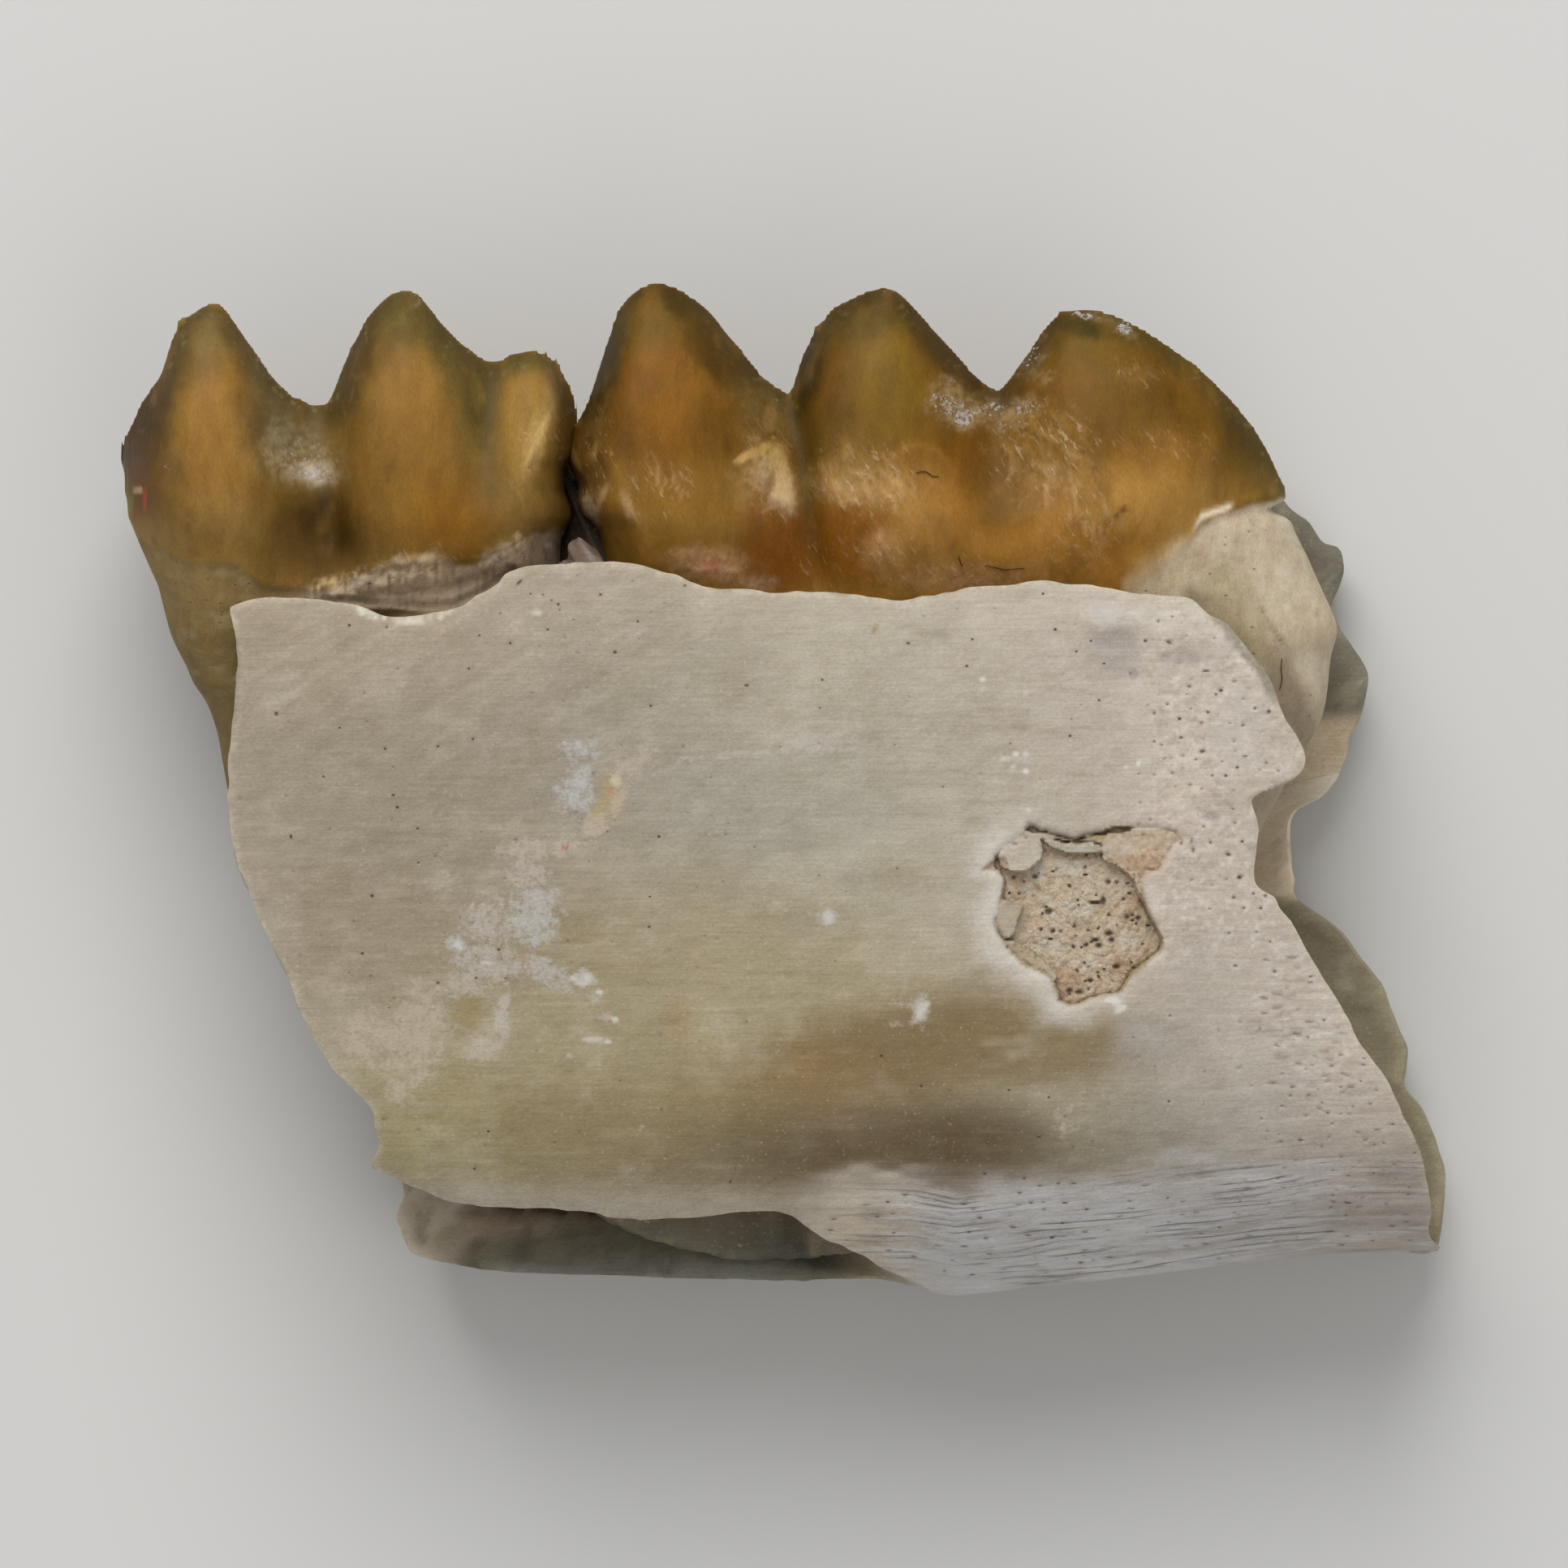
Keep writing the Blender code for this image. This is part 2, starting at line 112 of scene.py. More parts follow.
CRACKS = [  # dark breaks round the ledges: line, half width, darkness
    ([(1267, 1015), (1273, 1023), (1289, 1024), (1300, 1027), (1311, 1031), (1325, 1034), (1339, 1028), (1352, 1026), (1363, 1027)], 1.7, 0.85),
    ([(1284, 1042), (1291, 1050), (1300, 1054), (1314, 1053), (1336, 1055), (1361, 1053)], 1.7, 0.8),
    ([(1284, 1036), (1287, 1046), (1284, 1054)], 1.6, 0.6),
    ([(1252, 1078), (1249, 1090), (1254, 1101), (1260, 1111), (1265, 1118), (1259, 1127), (1256, 1142), (1249, 1153)], 2.0, 0.9),
    ([(1226, 1133), (1230, 1145), (1235, 1156)], 1.8, 0.8), ([(1259, 1161), (1270, 1165), (1277, 1174), (1289, 1181), (1297, 1189)], 1.7, 0.75),
    # The second break on the row below runs down the window's right edge; its dark paint there is partly a break and
    # partly painted shadow.
    ([(1357, 1062), (1370, 1067), (1387, 1079), (1395, 1087), (1400, 1095)], 1.7, 0.7), ([(1405, 1104), (1409, 1116), (1414, 1129), (1421, 1139), (1424, 1148)], 2.2, 0.95),
    ([(1227, 1055), (1230, 1058), (1227, 1063)], 1.8, 0.8), ([(1247, 1040), (1252, 1040)], 1.6, 0.8), ([(1262, 1031), (1264, 1032)], 1.6, 0.8),
]
NOTCH = [(1208, 1073), (1222, 1061), (1238, 1056), (1244, 1068), (1240, 1078), (1230, 1073)]

SECOND_TOP = [
    (149, 550), (153, 541), (160, 534), (170, 515), (176, 496), (185, 483), (196, 473), (203, 462), (208, 445), (212, 427),
    (217, 402), (227, 391), (242, 381), (255, 372), (263, 369), (273, 374), (283, 391), (296, 412), (307, 429), (323, 450),
    (338, 469), (353, 483), (373, 488), (388, 498), (400, 501), (409, 496), (416, 478), (426, 442), (433, 425), (441, 412),
    (461, 381), (476, 364), (486, 357), (497, 354), (510, 356), (522, 370), (533, 391), (552, 412), (575, 431), (592, 442),
    (606, 449), (614, 444), (625, 439), (636, 434), (648, 432), (660, 431), (672, 434), (684, 444), (690, 455), (695, 468),
    (702, 484), (706, 500),
]
SECOND_BASE = [(149, 575), (156, 634), (170, 668), (190, 706), (230, 738), (400, 752), (560, 752), (650, 738), (690, 705), (706, 640)]
THIRD_TOP = [
    (704, 516), (712, 509), (721, 502), (727, 493), (733, 484), (739, 462), (744, 443), (750, 420), (756, 400), (765, 374), (781, 356), (800, 348),
    (813, 343), (820, 346), (830, 354), (850, 364), (869, 377), (880, 391), (888, 404), (907, 427), (926, 450), (938, 461),
    (949, 471), (960, 483), (970, 490), (978, 489), (983, 473), (986, 450), (995, 423), (1003, 408), (1010, 396),
    (1020, 385), (1032, 376), (1052, 366), (1064, 362), (1075, 356), (1086, 350), (1096, 350), (1106, 356), (1117, 368),
    (1136, 392), (1156, 414), (1178, 438), (1205, 463), (1221, 481), (1230, 486), (1237, 482), (1247, 465), (1262, 440),
    (1272, 427), (1281, 416), (1288, 404), (1296, 389), (1304, 382), (1314, 380), (1334, 380), (1350, 382), (1365, 385),
    (1380, 392), (1395, 400), (1426, 418), (1449, 435), (1480, 458), (1506, 484), (1520, 499), (1533, 515), (1546, 531),
    (1556, 546), (1564, 562), (1571, 578), (1578, 592), (1583, 606),
]
THIRD_BASE = [(690, 700), (735, 705), (744, 708), (800, 742), (1300, 745), (1400, 728), (1464, 680), (1506, 645), (1560, 628), (1583, 616)]
TOOTH_Z = 3.3

SECOND_FRONT_ROOT = [(640, 196, 330, 1.15), (668, 178, 336, 1.4), (692, 183, 338, 1.45), (720, 193, 341, 1.45), (759, 203, 345, 1.4),
                     (786, 211, 347, 1.35), (820, 228, 349, 1.3), (841, 237, 350, 1.3), (867, 254, 354, 1.25), (905, 267, 360, 1.2),
                     (938, 273, 366, 1.1), (984, 281, 370, 1.0), (1041, 290, 376, 0.8), (1110, 335, 372, 0.4), (1128, 350, 362, 0.1)]
SECOND_REAR_ROOT = [(660, 430, 660, 1.2), (760, 440, 645, 1.4), (900, 480, 620, 1.2), (1020, 520, 600, 0.8), (1090, 548, 588, 0.4), (1106, 562, 576, 0.1)]
THIRD_FRONT_ROOT = [(660, 770, 960, 1.3), (780, 785, 960, 1.45), (920, 815, 940, 1.2), (1050, 848, 912, 0.8), (1120, 866, 900, 0.4), (1136, 878, 890, 0.1)]
THIRD_REAR_ROOT = [(628, 1440, 1560, 0.9), (640, 1380, 1590, 1.2), (657, 1310, 1598, 1.35), (687, 1200, 1613, 1.45), (708, 1185, 1622, 1.45),
                   (730, 1180, 1632, 1.45), (752, 1185, 1642, 1.4), (775, 1190, 1649, 1.4), (810, 1215, 1641, 1.35), (856, 1250, 1636, 1.3),
                   (886, 1280, 1629, 1.25), (960, 1350, 1588, 1.0), (1040, 1420, 1545, 0.7), (1090, 1455, 1510, 0.4), (1106, 1474, 1490, 0.1)]


def mm_x(u):
    return (np.asarray(u, float) - MID_U) / GRID


def mm_y(v):
    return (MID_V - np.asarray(v, float)) / GRID


def survey(x, y):
    return np.asarray(x) * GRID + MID_U, MID_V - np.asarray(y) * GRID


# ---------------------------------------------------------------------------------------------------------------------
# Noise and small helpers
# ---------------------------------------------------------------------------------------------------------------------
def lattice(i, j, k, seed):
    h = (
        i.astype(np.int64) * 0x8DA6B343 + j.astype(np.int64) * 0xD8163841 + k.astype(np.int64) * 0xCB1AB31F + seed * 0x9E3779B1
    ) & 0xFFFFFFFF
    h = h.astype(np.uint32)
    h ^= h >> np.uint32(15)
    h = h * np.uint32(0x2C1B3C6D)
    h ^= h >> np.uint32(12)
    h = h * np.uint32(0x297A2D39)
    h ^= h >> np.uint32(15)
    return h.astype(np.float64) / 4294967295.0


def noise(x, y, z=0.0, seed=0):
    """Smooth value noise from -1 to 1."""
    x, y, z = np.broadcast_arrays(np.asarray(x, float), np.asarray(y, float), np.asarray(z, float))
    i, j, k = np.floor(x), np.floor(y), np.floor(z)
    fx, fy, fz = x - i, y - j, z - k
    sx, sy, sz = (f * f * f * (f * (f * 6 - 15) + 10) for f in (fx, fy, fz))
    total = 0.0
    for a in (0, 1):
        wx = sx if a else 1 - sx
        for b in (0, 1):
            wy = sy if b else 1 - sy
            for c in (0, 1):
                wz = sz if c else 1 - sz
                total = total + wx * wy * wz * lattice(i + a, j + b, k + c, seed)
    return total * 2 - 1


def fbm(x, y, z=0.0, seed=0, octaves=4, gain=0.5):
    total, size, norm = 0.0, 1.0, 0.0
    for o in range(octaves):
        s = 2.07 ** o
        total = total + size * noise(np.asarray(x) * s + 17.3 * o, np.asarray(y) * s - 9.1 * o, np.asarray(z) * s, seed + o * 31)
        norm += size
        size *= gain
    return total / norm


def smooth(a, b, x):
    t = np.clip((np.asarray(x, float) - a) / (b - a), 0, 1)
    return t * t * (3 - 2 * t)


def mix(a, b, t):
    return a + (b - a) * t


def curve(points, step, closed=True):
    """Points along a centripetal Catmull-Rom curve through the outline, about step apart in survey units."""
    p = np.array(points, float)
    n = len(p)
    out = []
    for i in range(n if closed else n - 1):
        if closed:
            q = p[(i - 1) % n], p[i], p[(i + 1) % n], p[(i + 2) % n]
        else:
            q = p[max(i - 1, 0)], p[i], p[i + 1], p[min(i + 2, n - 1)]
        d = [max(np.linalg.norm(q[k + 1] - q[k]), 1e-6) ** 0.5 for k in range(3)]
        t = np.concatenate([[0], np.cumsum(d)])
        m = max(1, int(round(np.linalg.norm(q[2] - q[1]) / step)))
        for s in np.linspace(t[1], t[2], m, endpoint=False):
            a1 = (t[1] - s) / (t[1] - t[0]) * q[0] + (s - t[0]) / (t[1] - t[0]) * q[1] if t[1] > t[0] else q[1]
            a2 = (t[2] - s) / (t[2] - t[1]) * q[1] + (s - t[1]) / (t[2] - t[1]) * q[2]
            a3 = (t[3] - s) / (t[3] - t[2]) * q[2] + (s - t[2]) / (t[3] - t[2]) * q[3]
            b1 = (t[2] - s) / (t[2] - t[0]) * a1 + (s - t[0]) / (t[2] - t[0]) * a2
            b2 = (t[3] - s) / (t[3] - t[1]) * a2 + (s - t[1]) / (t[3] - t[1]) * a3
            out.append((t[2] - s) / (t[2] - t[1]) * b1 + (s - t[1]) / (t[2] - t[1]) * b2)
    if not closed:
        out.append(p[-1])
    return np.array(out)


def polar(points, hub):
    """Angle (anticlockwise seen from above, increasing) and radius in mm of an outline round a hub."""
    du, dv = points[:, 0] - hub[0], hub[1] - points[:, 1]
    angle = np.arctan2(dv, du) % (2 * np.pi)
    order = np.argsort(angle)
    return angle[order], np.hypot(du, dv)[order] / GRID


def at_angle(angle, angles, radii):
    return np.interp(angle, angles, radii, period=2 * np.pi)


def spread(points, polygon):
    """Signed distance to a polygon in survey units, positive inside."""
    p = np.asarray(points, float)
    q = np.asarray(polygon, float)
    a, b = q, np.roll(q, -1, axis=0)
    e = b - a
    w = p[:, None, :] - a[None]
    t = np.clip((w * e[None]).sum(2) / (e * e).sum(1)[None], 0, 1)
    d = np.linalg.norm(w - t[..., None] * e[None], axis=2).min(1)
    crosses = (a[None, :, 1] > p[:, None, 1]) != (b[None, :, 1] > p[:, None, 1])
    with np.errstate(divide="ignore", invalid="ignore"):
        x = a[None, :, 0] + (p[:, None, 1] - a[None, :, 1]) * e[None, :, 0] / np.where(e[None, :, 1] == 0, 1e-9, e[None, :, 1])
    inside = (crosses & (p[:, None, 0] < x)).sum(1) % 2 == 1
    return np.where(inside, d, -d)


def from_line(points, line):
    """Distance to an open line in survey units."""
    p, q = np.asarray(points, float), np.asarray(line, float)
    best = np.full(len(p), 1e9)
    for a, b in zip(q, q[1:]):
        e, w = b - a, p - a
        t = np.clip((w @ e) / max(e @ e, 1e-9), 0, 1)
        best = np.minimum(best, np.hypot(*(w - t[:, None] * e).T))
    return best


def levels_between(levels):
    """Root levels filled in along smooth curves."""
    lv = np.array(levels, float)
    cols = [curve(np.stack([lv[:, 0], lv[:, k] * (GRID if k == 3 else 1)], 1), 4.0, False) for k in (1, 2, 3)]
    v = np.arange(lv[0, 0], lv[-1, 0] + 1, 3.0)
    a, b, h = (np.interp(v, c[:, 0], c[:, 1]) for c in cols)
    return np.stack([v, a, b, h / GRID], 1)


def linear(rgb):
    c = np.asarray(rgb, float) / 255.0
    return np.where(c <= 0.04045, c / 12.92, ((c + 0.055) / 1.055) ** 2.4)


class Paint:
    """Colour laid on points layer by layer, in linear light."""

    def __init__(self, u, v, base, z=0.0, seed=1):
        self.u, self.v = np.asarray(u, float), np.asarray(v, float)
        self.z = np.broadcast_to(np.asarray(z, float), self.u.shape)
        self.rgb = np.tile(linear(base), (len(self.u), 1))
        self.seed = seed

    def lay(self, mask, colour, strength=1.0):
        m = np.clip(mask * strength, 0, 1)[:, None]
        self.rgb = self.rgb * (1 - m) + linear(colour)[None] * m

    def tint(self, mask, factors):
        m = np.clip(mask, 0, 1)[:, None]
        self.rgb = self.rgb * (1 - m + m * np.array([factors]))

    def blob(self, cu, cv, ru, rv, turn=0.0, soft=0.5, ragged=0.35, grain=0.0):
        """An oval patch with a soft, ragged edge. turn in degrees."""
        self.seed += 1
        c, s = math.cos(math.radians(turn)), math.sin(math.radians(turn))
        du, dv = self.u - cu, self.v - cv
        r = (abs(ru) + abs(rv)) / 2
        a, b = (du * c + dv * s) / ru, (-du * s + dv * c) / rv
        near = a * a + b * b < 7
        out = np.zeros(len(self.u))
        if near.any():
            u, v, z = self.u[near], self.v[near], self.z[near]
            d = np.sqrt(a[near] ** 2 + b[near] ** 2)
            d = d + ragged * fbm(u / (r * 0.7), v / (r * 0.7), z, self.seed, 4, 0.6)
            m = 1 - smooth(1 - soft, 1 + soft, d)
            if grain:
                m = m * (1 - grain + grain * smooth(-0.25, 0.35, fbm(u / 7.0, v / 6.0, z, self.seed + 5, 3, 0.6)))
            out[near] = m
        return out


def new_mesh(name, verts, tris, quads=None, attributes=None, sharp=None):
    """A mesh object from millimetre points, with triangles and quads."""
    quads = np.zeros((0, 4), int) if quads is None else quads
    mesh = bpy.data.meshes.new(name)
    nt, nq = len(tris), len(quads)
    mesh.vertices.add(len(verts))
    mesh.vertices.foreach_set("co", (np.asarray(verts, float) * 0.001).astype(np.float32).ravel())
    loops = np.concatenate([np.asarray(tris, int).ravel(), np.asarray(quads, int).ravel()])
    mesh.loops.add(len(loops))
    mesh.loops.foreach_set("vertex_index", loops.astype(np.int32))
    mesh.polygons.add(nt + nq)
    starts = np.concatenate([np.arange(nt) * 3, nt * 3 + np.arange(nq) * 4])
    mesh.polygons.foreach_set("loop_start", starts.astype(np.int32))
    mesh.update(calc_edges=True)
    mesh.validate()
    mesh.polygons.foreach_set("use_smooth", np.ones(len(mesh.polygons), bool))
    if sharp:
        mesh.set_sharp_from_angle(angle=math.radians(sharp))
    for key, values in (attributes or {}).items():
        values = np.asarray(values, np.float32)
        if values.ndim == 2:
            layer = mesh.attributes.new(key, "FLOAT_COLOR", "POINT")
            layer.data.foreach_set("color", np.concatenate([values, np.ones((len(values), 1), np.float32)], 1).ravel())
        else:
            layer = mesh.attributes.new(key, "FLOAT", "POINT")
            layer.data.foreach_set("value", values)
    mesh.update()
    thing = bpy.data.objects.new(name, mesh)
    bpy.context.scene.collection.objects.link(thing)
    return thing


def hexes(lo, hi, step):
    """A triangular lattice of points over a box."""
    rows = np.arange(lo[1], hi[1], step * math.sqrt(3) / 2)
    cols = np.arange(lo[0], hi[0], step)
    x, y = np.meshgrid(cols, rows)
    x = x + (np.arange(len(rows)) % 2)[:, None] * step / 2
    return np.stack([x.ravel(), y.ravel()], 1)


def triangulate(loop, inner):
    """Triangles, anticlockwise, over a closed loop and points inside it. The loop's points come first."""
    pts = np.concatenate([loop, inner])
    got = delaunay_2d_cdt([tuple(p) for p in pts], [], [list(range(len(loop)))], 1, 1e-9, True)
    back = np.array([o[0] if o else -1 for o in got[3]])
    assert len(got[0]) == len(pts) and (back >= 0).all(), "outline crosses itself"
    tris = back[np.array(got[2])]
    outer = np.flatnonzero((tris < len(loop)).all(1))
    keep = np.ones(len(tris), bool)
    keep[outer] = spread(pts[tris[outer]].mean(1), loop) > 0
    tris = tris[keep]
    a, b, c = pts[tris[:, 0]], pts[tris[:, 1]], pts[tris[:, 2]]
    turn = (b[:, 0] - a[:, 0]) * (c[:, 1] - a[:, 1]) - (b[:, 1] - a[:, 1]) * (c[:, 0] - a[:, 0])
    tris[turn < 0] = tris[turn < 0][:, ::-1]
    return tris


# ---------------------------------------------------------------------------------------------------------------------
# Jaw bone: the near wall's face, its broken edge, the hollow side between the walls, the far wall
# ---------------------------------------------------------------------------------------------------------------------
BORDER = [(300, 1560), (500, 1572), (843, 1580), (1124, 1584), (1177, 1593), (1235, 1587), (1350, 1576), (1495, 1559), (1633, 1543), (1800, 1540)]
RIM_TOP = [(285, 745), (337, 736), (470, 752), (560, 748), (613, 718), (680, 695), (787, 696), (876, 724), (1112, 738), (1296, 715), (1470, 738), (1620, 760)]


def pore_list():
    """Pores of the near face: place, half sizes, turn in degrees, depth in mm, darkness."""
    rng = np.random.default_rng(73)
    lone = [
        (758, 804, 2.8, 2.4), (341, 880, 2.8, 3.4), (802, 870, 2.4, 2.0), (359, 1031, 2.2, 3.0), (447, 1175, 2.8, 2.2),
        (485, 980, 2.3, 2.2), (490, 995, 2.4, 2.2), (540, 920, 2.2, 2.2), (475, 923, 2.0, 2.0), (459, 1104, 2.6, 2.4),
        (540, 1211, 2.5, 2.4), (587, 1205, 2.0, 2.0), (515, 1021, 2.0, 1.8), (431, 771, 2.4, 2.0), (477, 773, 1.8, 1.7),
        (844, 722, 2.2, 2.2), (740, 733, 2.0, 1.8), (688, 745, 2.4, 2.2), (812, 1031, 2.2, 2.2), (800, 1142, 2.4, 2.0),
        (615, 1170, 2.2, 1.8), (399, 957, 1.8, 1.7), (583, 911, 2.2, 2.0), (516, 1063, 1.8, 1.8), (629, 793, 1.8, 1.8),
        (675, 776, 1.8, 1.7), (591, 783, 1.7, 1.7), (578, 824, 2.0, 1.8), (786, 766, 2.0, 1.7), (419, 897, 1.8, 1.7),
        (920, 845, 3.2, 2.3), (1119, 793, 3.0, 2.2), (1191, 821, 2.3, 2.2), (1198, 788, 2.0, 1.8), (1285, 732, 2.2, 2.0),
        (1300, 776, 2.8, 2.2), (1344, 790, 1.9, 1.8), (1326, 803, 2.0, 1.8), (1360, 818, 2.1, 1.6), (1354, 863, 2.4, 1.8),
        (1318, 907, 2.3, 2.0), (1013, 838, 2.0, 1.8), (1135, 1338, 2.0, 1.8), (1243, 1343, 2.3, 1.8), (1292, 1352, 2.0, 1.8),
        (1440, 1357, 2.2, 1.8), (602, 1394, 2.0, 1.8), (585, 1440, 2.0, 1.8), (801, 1105, 1.8, 1.6), (900, 1456, 1.8, 1.7),
        (1086, 1301, 2.0, 1.7), (1213, 1446, 2.0, 1.6), (1262, 1452, 2.2, 2.0), (1256, 1470, 3.4, 2.6), (1280, 1401, 3.4, 1.2),
        (1094, 1481, 3.2, 1.5), (1081, 1499, 3.0, 2.0), (1101, 1519, 3.4, 1.6), (1194, 1518, 3.4, 1.8), (1215, 1526, 4.2, 1.4),
        (1207, 1500, 4.6, 2.8), (1199, 1490, 3.8, 1.2), (1270, 1482, 3.0, 1.4), (1304, 1458, 2.6, 1.6), (1312, 1482, 5.0, 1.4),
        (1339, 1490, 3.6, 1.5), (1309, 1507, 3.2, 1.6), (1296, 1525, 3.6, 1.8), (1337, 1518, 4.4, 1.7), (1332, 1556, 4.4, 1.8),
    ]
    cluster = [  # u, v, half sizes, turn, darkness
        (1411, 790, 3.0, 2.4, 0, 0.9), (1440, 792, 4.6, 2.2, -25, 0.85), (1427, 766, 2.4, 2.0, 0, 0.5), (1444, 760, 2.2, 1.8, 0, 0.5),
        (1486, 827, 5.4, 1.8, 5, 0.8), (1465, 846, 3.0, 2.4, -15, 0.7), (1438, 868, 2.4, 1.8, 0, 0.8), (1504, 851, 3.6, 2.8, 0, 1.0),
        (1498, 856, 2.4, 2.0, 0, 0.8), (1521, 840, 4.2, 1.8, 10, 0.55), (1488, 878, 2.6, 2.2, 0, 0.85), (1453, 886, 2.8, 2.4, 0, 0.95),
        (1422, 879, 2.6, 3.0, 0, 0.7), (1480, 891, 2.8, 2.0, 20, 0.6), (1546, 873, 2.4, 2.2, 0, 0.75), (1563, 877, 2.6, 3.2, 0, 0.85),
        (1531, 894, 2.4, 1.8, 0, 0.7), (1455, 909, 2.4, 2.0, 0, 0.8), (1422, 914, 2.2, 1.8, 0, 0.6), (1431, 918, 2.4, 1.8, 0, 0.6),
        (1520, 914, 2.0, 1.8, 0, 0.6), (1481, 926, 4.4, 2.6, 10, 0.95), (1473, 936, 2.4, 1.8, 0, 0.6), (1534, 932, 4.0, 1.4, 5, 0.8),
        (1524, 946, 2.8, 2.0, 0, 0.95), (1510, 956, 2.8, 2.2, 0, 0.95), (1493, 956, 2.4, 2.0, 0, 0.6), (1444, 953, 2.6, 2.0, 0, 0.45),
        (1466, 967, 2.6, 2.0, 0, 0.5), (1480, 972, 2.2, 1.6, 0, 0.5), (1560, 940, 2.4, 1.8, 0, 0.6), (1519, 997, 2.6, 1.8, 0, 0.55),
        (1521, 1014, 2.6, 2.4, 0, 0.5), (1483, 1019, 2.2, 2.0, 0, 0.5), (1530, 1037, 2.8, 2.0, 0, 0.95), (1491, 1038, 2.0, 2.4, 0, 0.75),
        (1455, 1039, 2.4, 2.8, 0, 0.75), (1468, 1036, 1.6, 4.0, 0, 0.6), (1470, 1048, 1.8, 4.6, 0, 0.75), (1513, 1053, 3.6, 2.8, 0, 0.95),
        (1417, 1010, 2.0, 1.6, 0, 0.5), (1527, 1081, 3.8, 2.8, 20, 1.0), (1544, 1101, 2.4, 2.0, 0, 0.8), (1559, 1104, 2.8, 2.2, 0, 0.8),
        (1520, 1106, 2.6, 2.2, 0, 0.8), (1532, 1119, 2.2, 2.0, 0, 0.7), (1553, 1119, 2.6, 2.2, 0, 0.85), (1522, 1190, 3.0, 1.8, 0, 0.8),
        (1570, 1197, 3.6, 2.2, 0, 0.85), (1514, 1150, 2.4, 1.8, 0, 0.6), (1548, 1148, 2.4, 1.8, 0, 0.6), (1490, 1120, 2.2, 1.6, 0, 0.5),
    ]
    pores = [(u, v, a, b, 0.0, 0.9 * min(a, b) / GRID + 0.008, rng.uniform(0.65, 1.0)) for u, v, a, b in lone]
    pores += [(u, v, a, b, t, 0.9 * min(a, b) / GRID * k + 0.008, k) for u, v, a, b, t, k in cluster]
    pores.append((640, 718, 6.0, 2.2, 38.0, 0.03, 0.9))
    pores += [(u, v, 1.7, 1.5, 0.0, 0.02, k) for u, v, k in ((654, 732, 0.8), (669, 733, 0.7), (680, 740, 0.8), (617, 756, 0.6), (707, 764, 0.5), (690, 752, 0.4))]

    def scatter(n, box, gap, size, flat, dark, tilt=6.0, where=None):
        tries = 0
        placed = 0
        while placed < n and tries < n * 30:
            tries += 1
            u, v = rng.uniform(box[0], box[2]), rng.uniform(box[1], box[3])
            k = rng.uniform(*size)
            f = rng.uniform(*flat)
            turn, tone = rng.normal(0, tilt), rng.uniform(*dark)
            keep = rng.uniform()
            if where is not None and keep > where(u, v):
                continue
            a, b = k * f, k
            if any((u - p[0]) ** 2 / (p[2] + a + gap) ** 2 + (v - p[1]) ** 2 / (p[3] + b + gap * 0.7) ** 2 < 1 for p in pores):
                continue
            pores.append((u, v, a, b, turn, tone * b / GRID + 0.004, tone))
            placed += 1

    def rises(u, v):
        return 0.05 + 0.95 * float(smooth(1530, 1640, u + 0.15 * (v - 1200))) * float(smooth(1130, 1200, v))

    scatter(44, (1390, 748, 1600, 1105), 7, (1.1, 1.9), (1.0, 1.8), (0.25, 0.55), 18, lambda u, v: 0.25 + 0.75 * float(smooth(1390, 1450, u)))
    scatter(26, (1555, 1180, 1690, 1340), 5, (1.3, 2.3), (2.2, 5.0), (0.3, 0.65), 12)
    scatter(120, (1440, 1110, 1745, 1490), 5, (1.0, 1.9), (1.1, 2.8), (0.3, 0.8), 16, rises)
    scatter(85, (1020, 1455, 1745, 1575), 6, (1.0, 1.8), (1.6, 5.0), (0.4, 0.9), 5, lambda u, v: 1.0 if v > 1600 - 0.11 * u else 0.15)
    scatter(110, (300, 700, 1500, 1490), 15, (0.9, 1.5), (1.0, 1.5), (0.3, 0.7), 25, lambda u, v: 0.0 if 1215 < u < 1470 and 1005 < v < 1250 else 1.0)
    scatter(64, (280, 690, 900, 1260), 12, (0.8, 1.3), (1.0, 1.7), (0.25, 0.55), 30)
    return pores


def dimple_list():
    """Shallow hollows of the pitted end: place, half sizes, depth in mm."""
    rng = np.random.default_rng(29)
    found = [(1435, 812, 7, 6, .03), (1397, 832, 6, 6, .03), (1450, 855, 5, 4, .018), (1474, 912, 5, 4, .016), (1499, 981, 7, 4, .022),
             (1493, 1006, 13, 4.5, .03), (1540, 1046, 7, 7, .02), (1466, 968, 5, 4, .015), (1511, 915, 5, 5, .015), (1476, 776, 10, 6, .016),
             (1442, 934, 5, 4, .018), (1470, 1044, 6, 9, .02), (1374, 788, 26, 13, .03), (1460, 812, 26, 9, .018), (1372, 826, 14, 6, .012)]
    for _ in range(70):
        u, v = rng.uniform(1405, 1590), rng.uniform(760, 1180)
        found.append((u, v, rng.uniform(3, 7), rng.uniform(2.5, 5), rng.uniform(0.006, 0.014)))
    for _ in range(90):
        u, v = rng.uniform(1460, 1740), rng.uniform(1150, 1480)
        found.append((u, v, rng.uniform(7, 20), rng.uniform(2.0, 4.0), rng.uniform(0.006, 0.015)))
    return found


DIMPLES = dimple_list()


def dimples(u, v):
    total = np.zeros(len(u))
    for du, dv, a, b, deep in DIMPLES:
        near = (np.abs(u - du) < a * 2.4) & (np.abs(v - dv) < b * 2.4)
        total[near] = np.maximum(total[near], deep * np.exp(-(((u[near] - du) / a) ** 2 + ((v[near] - dv) / b) ** 2) ** 1.4))
    return total


PORES = pore_list()


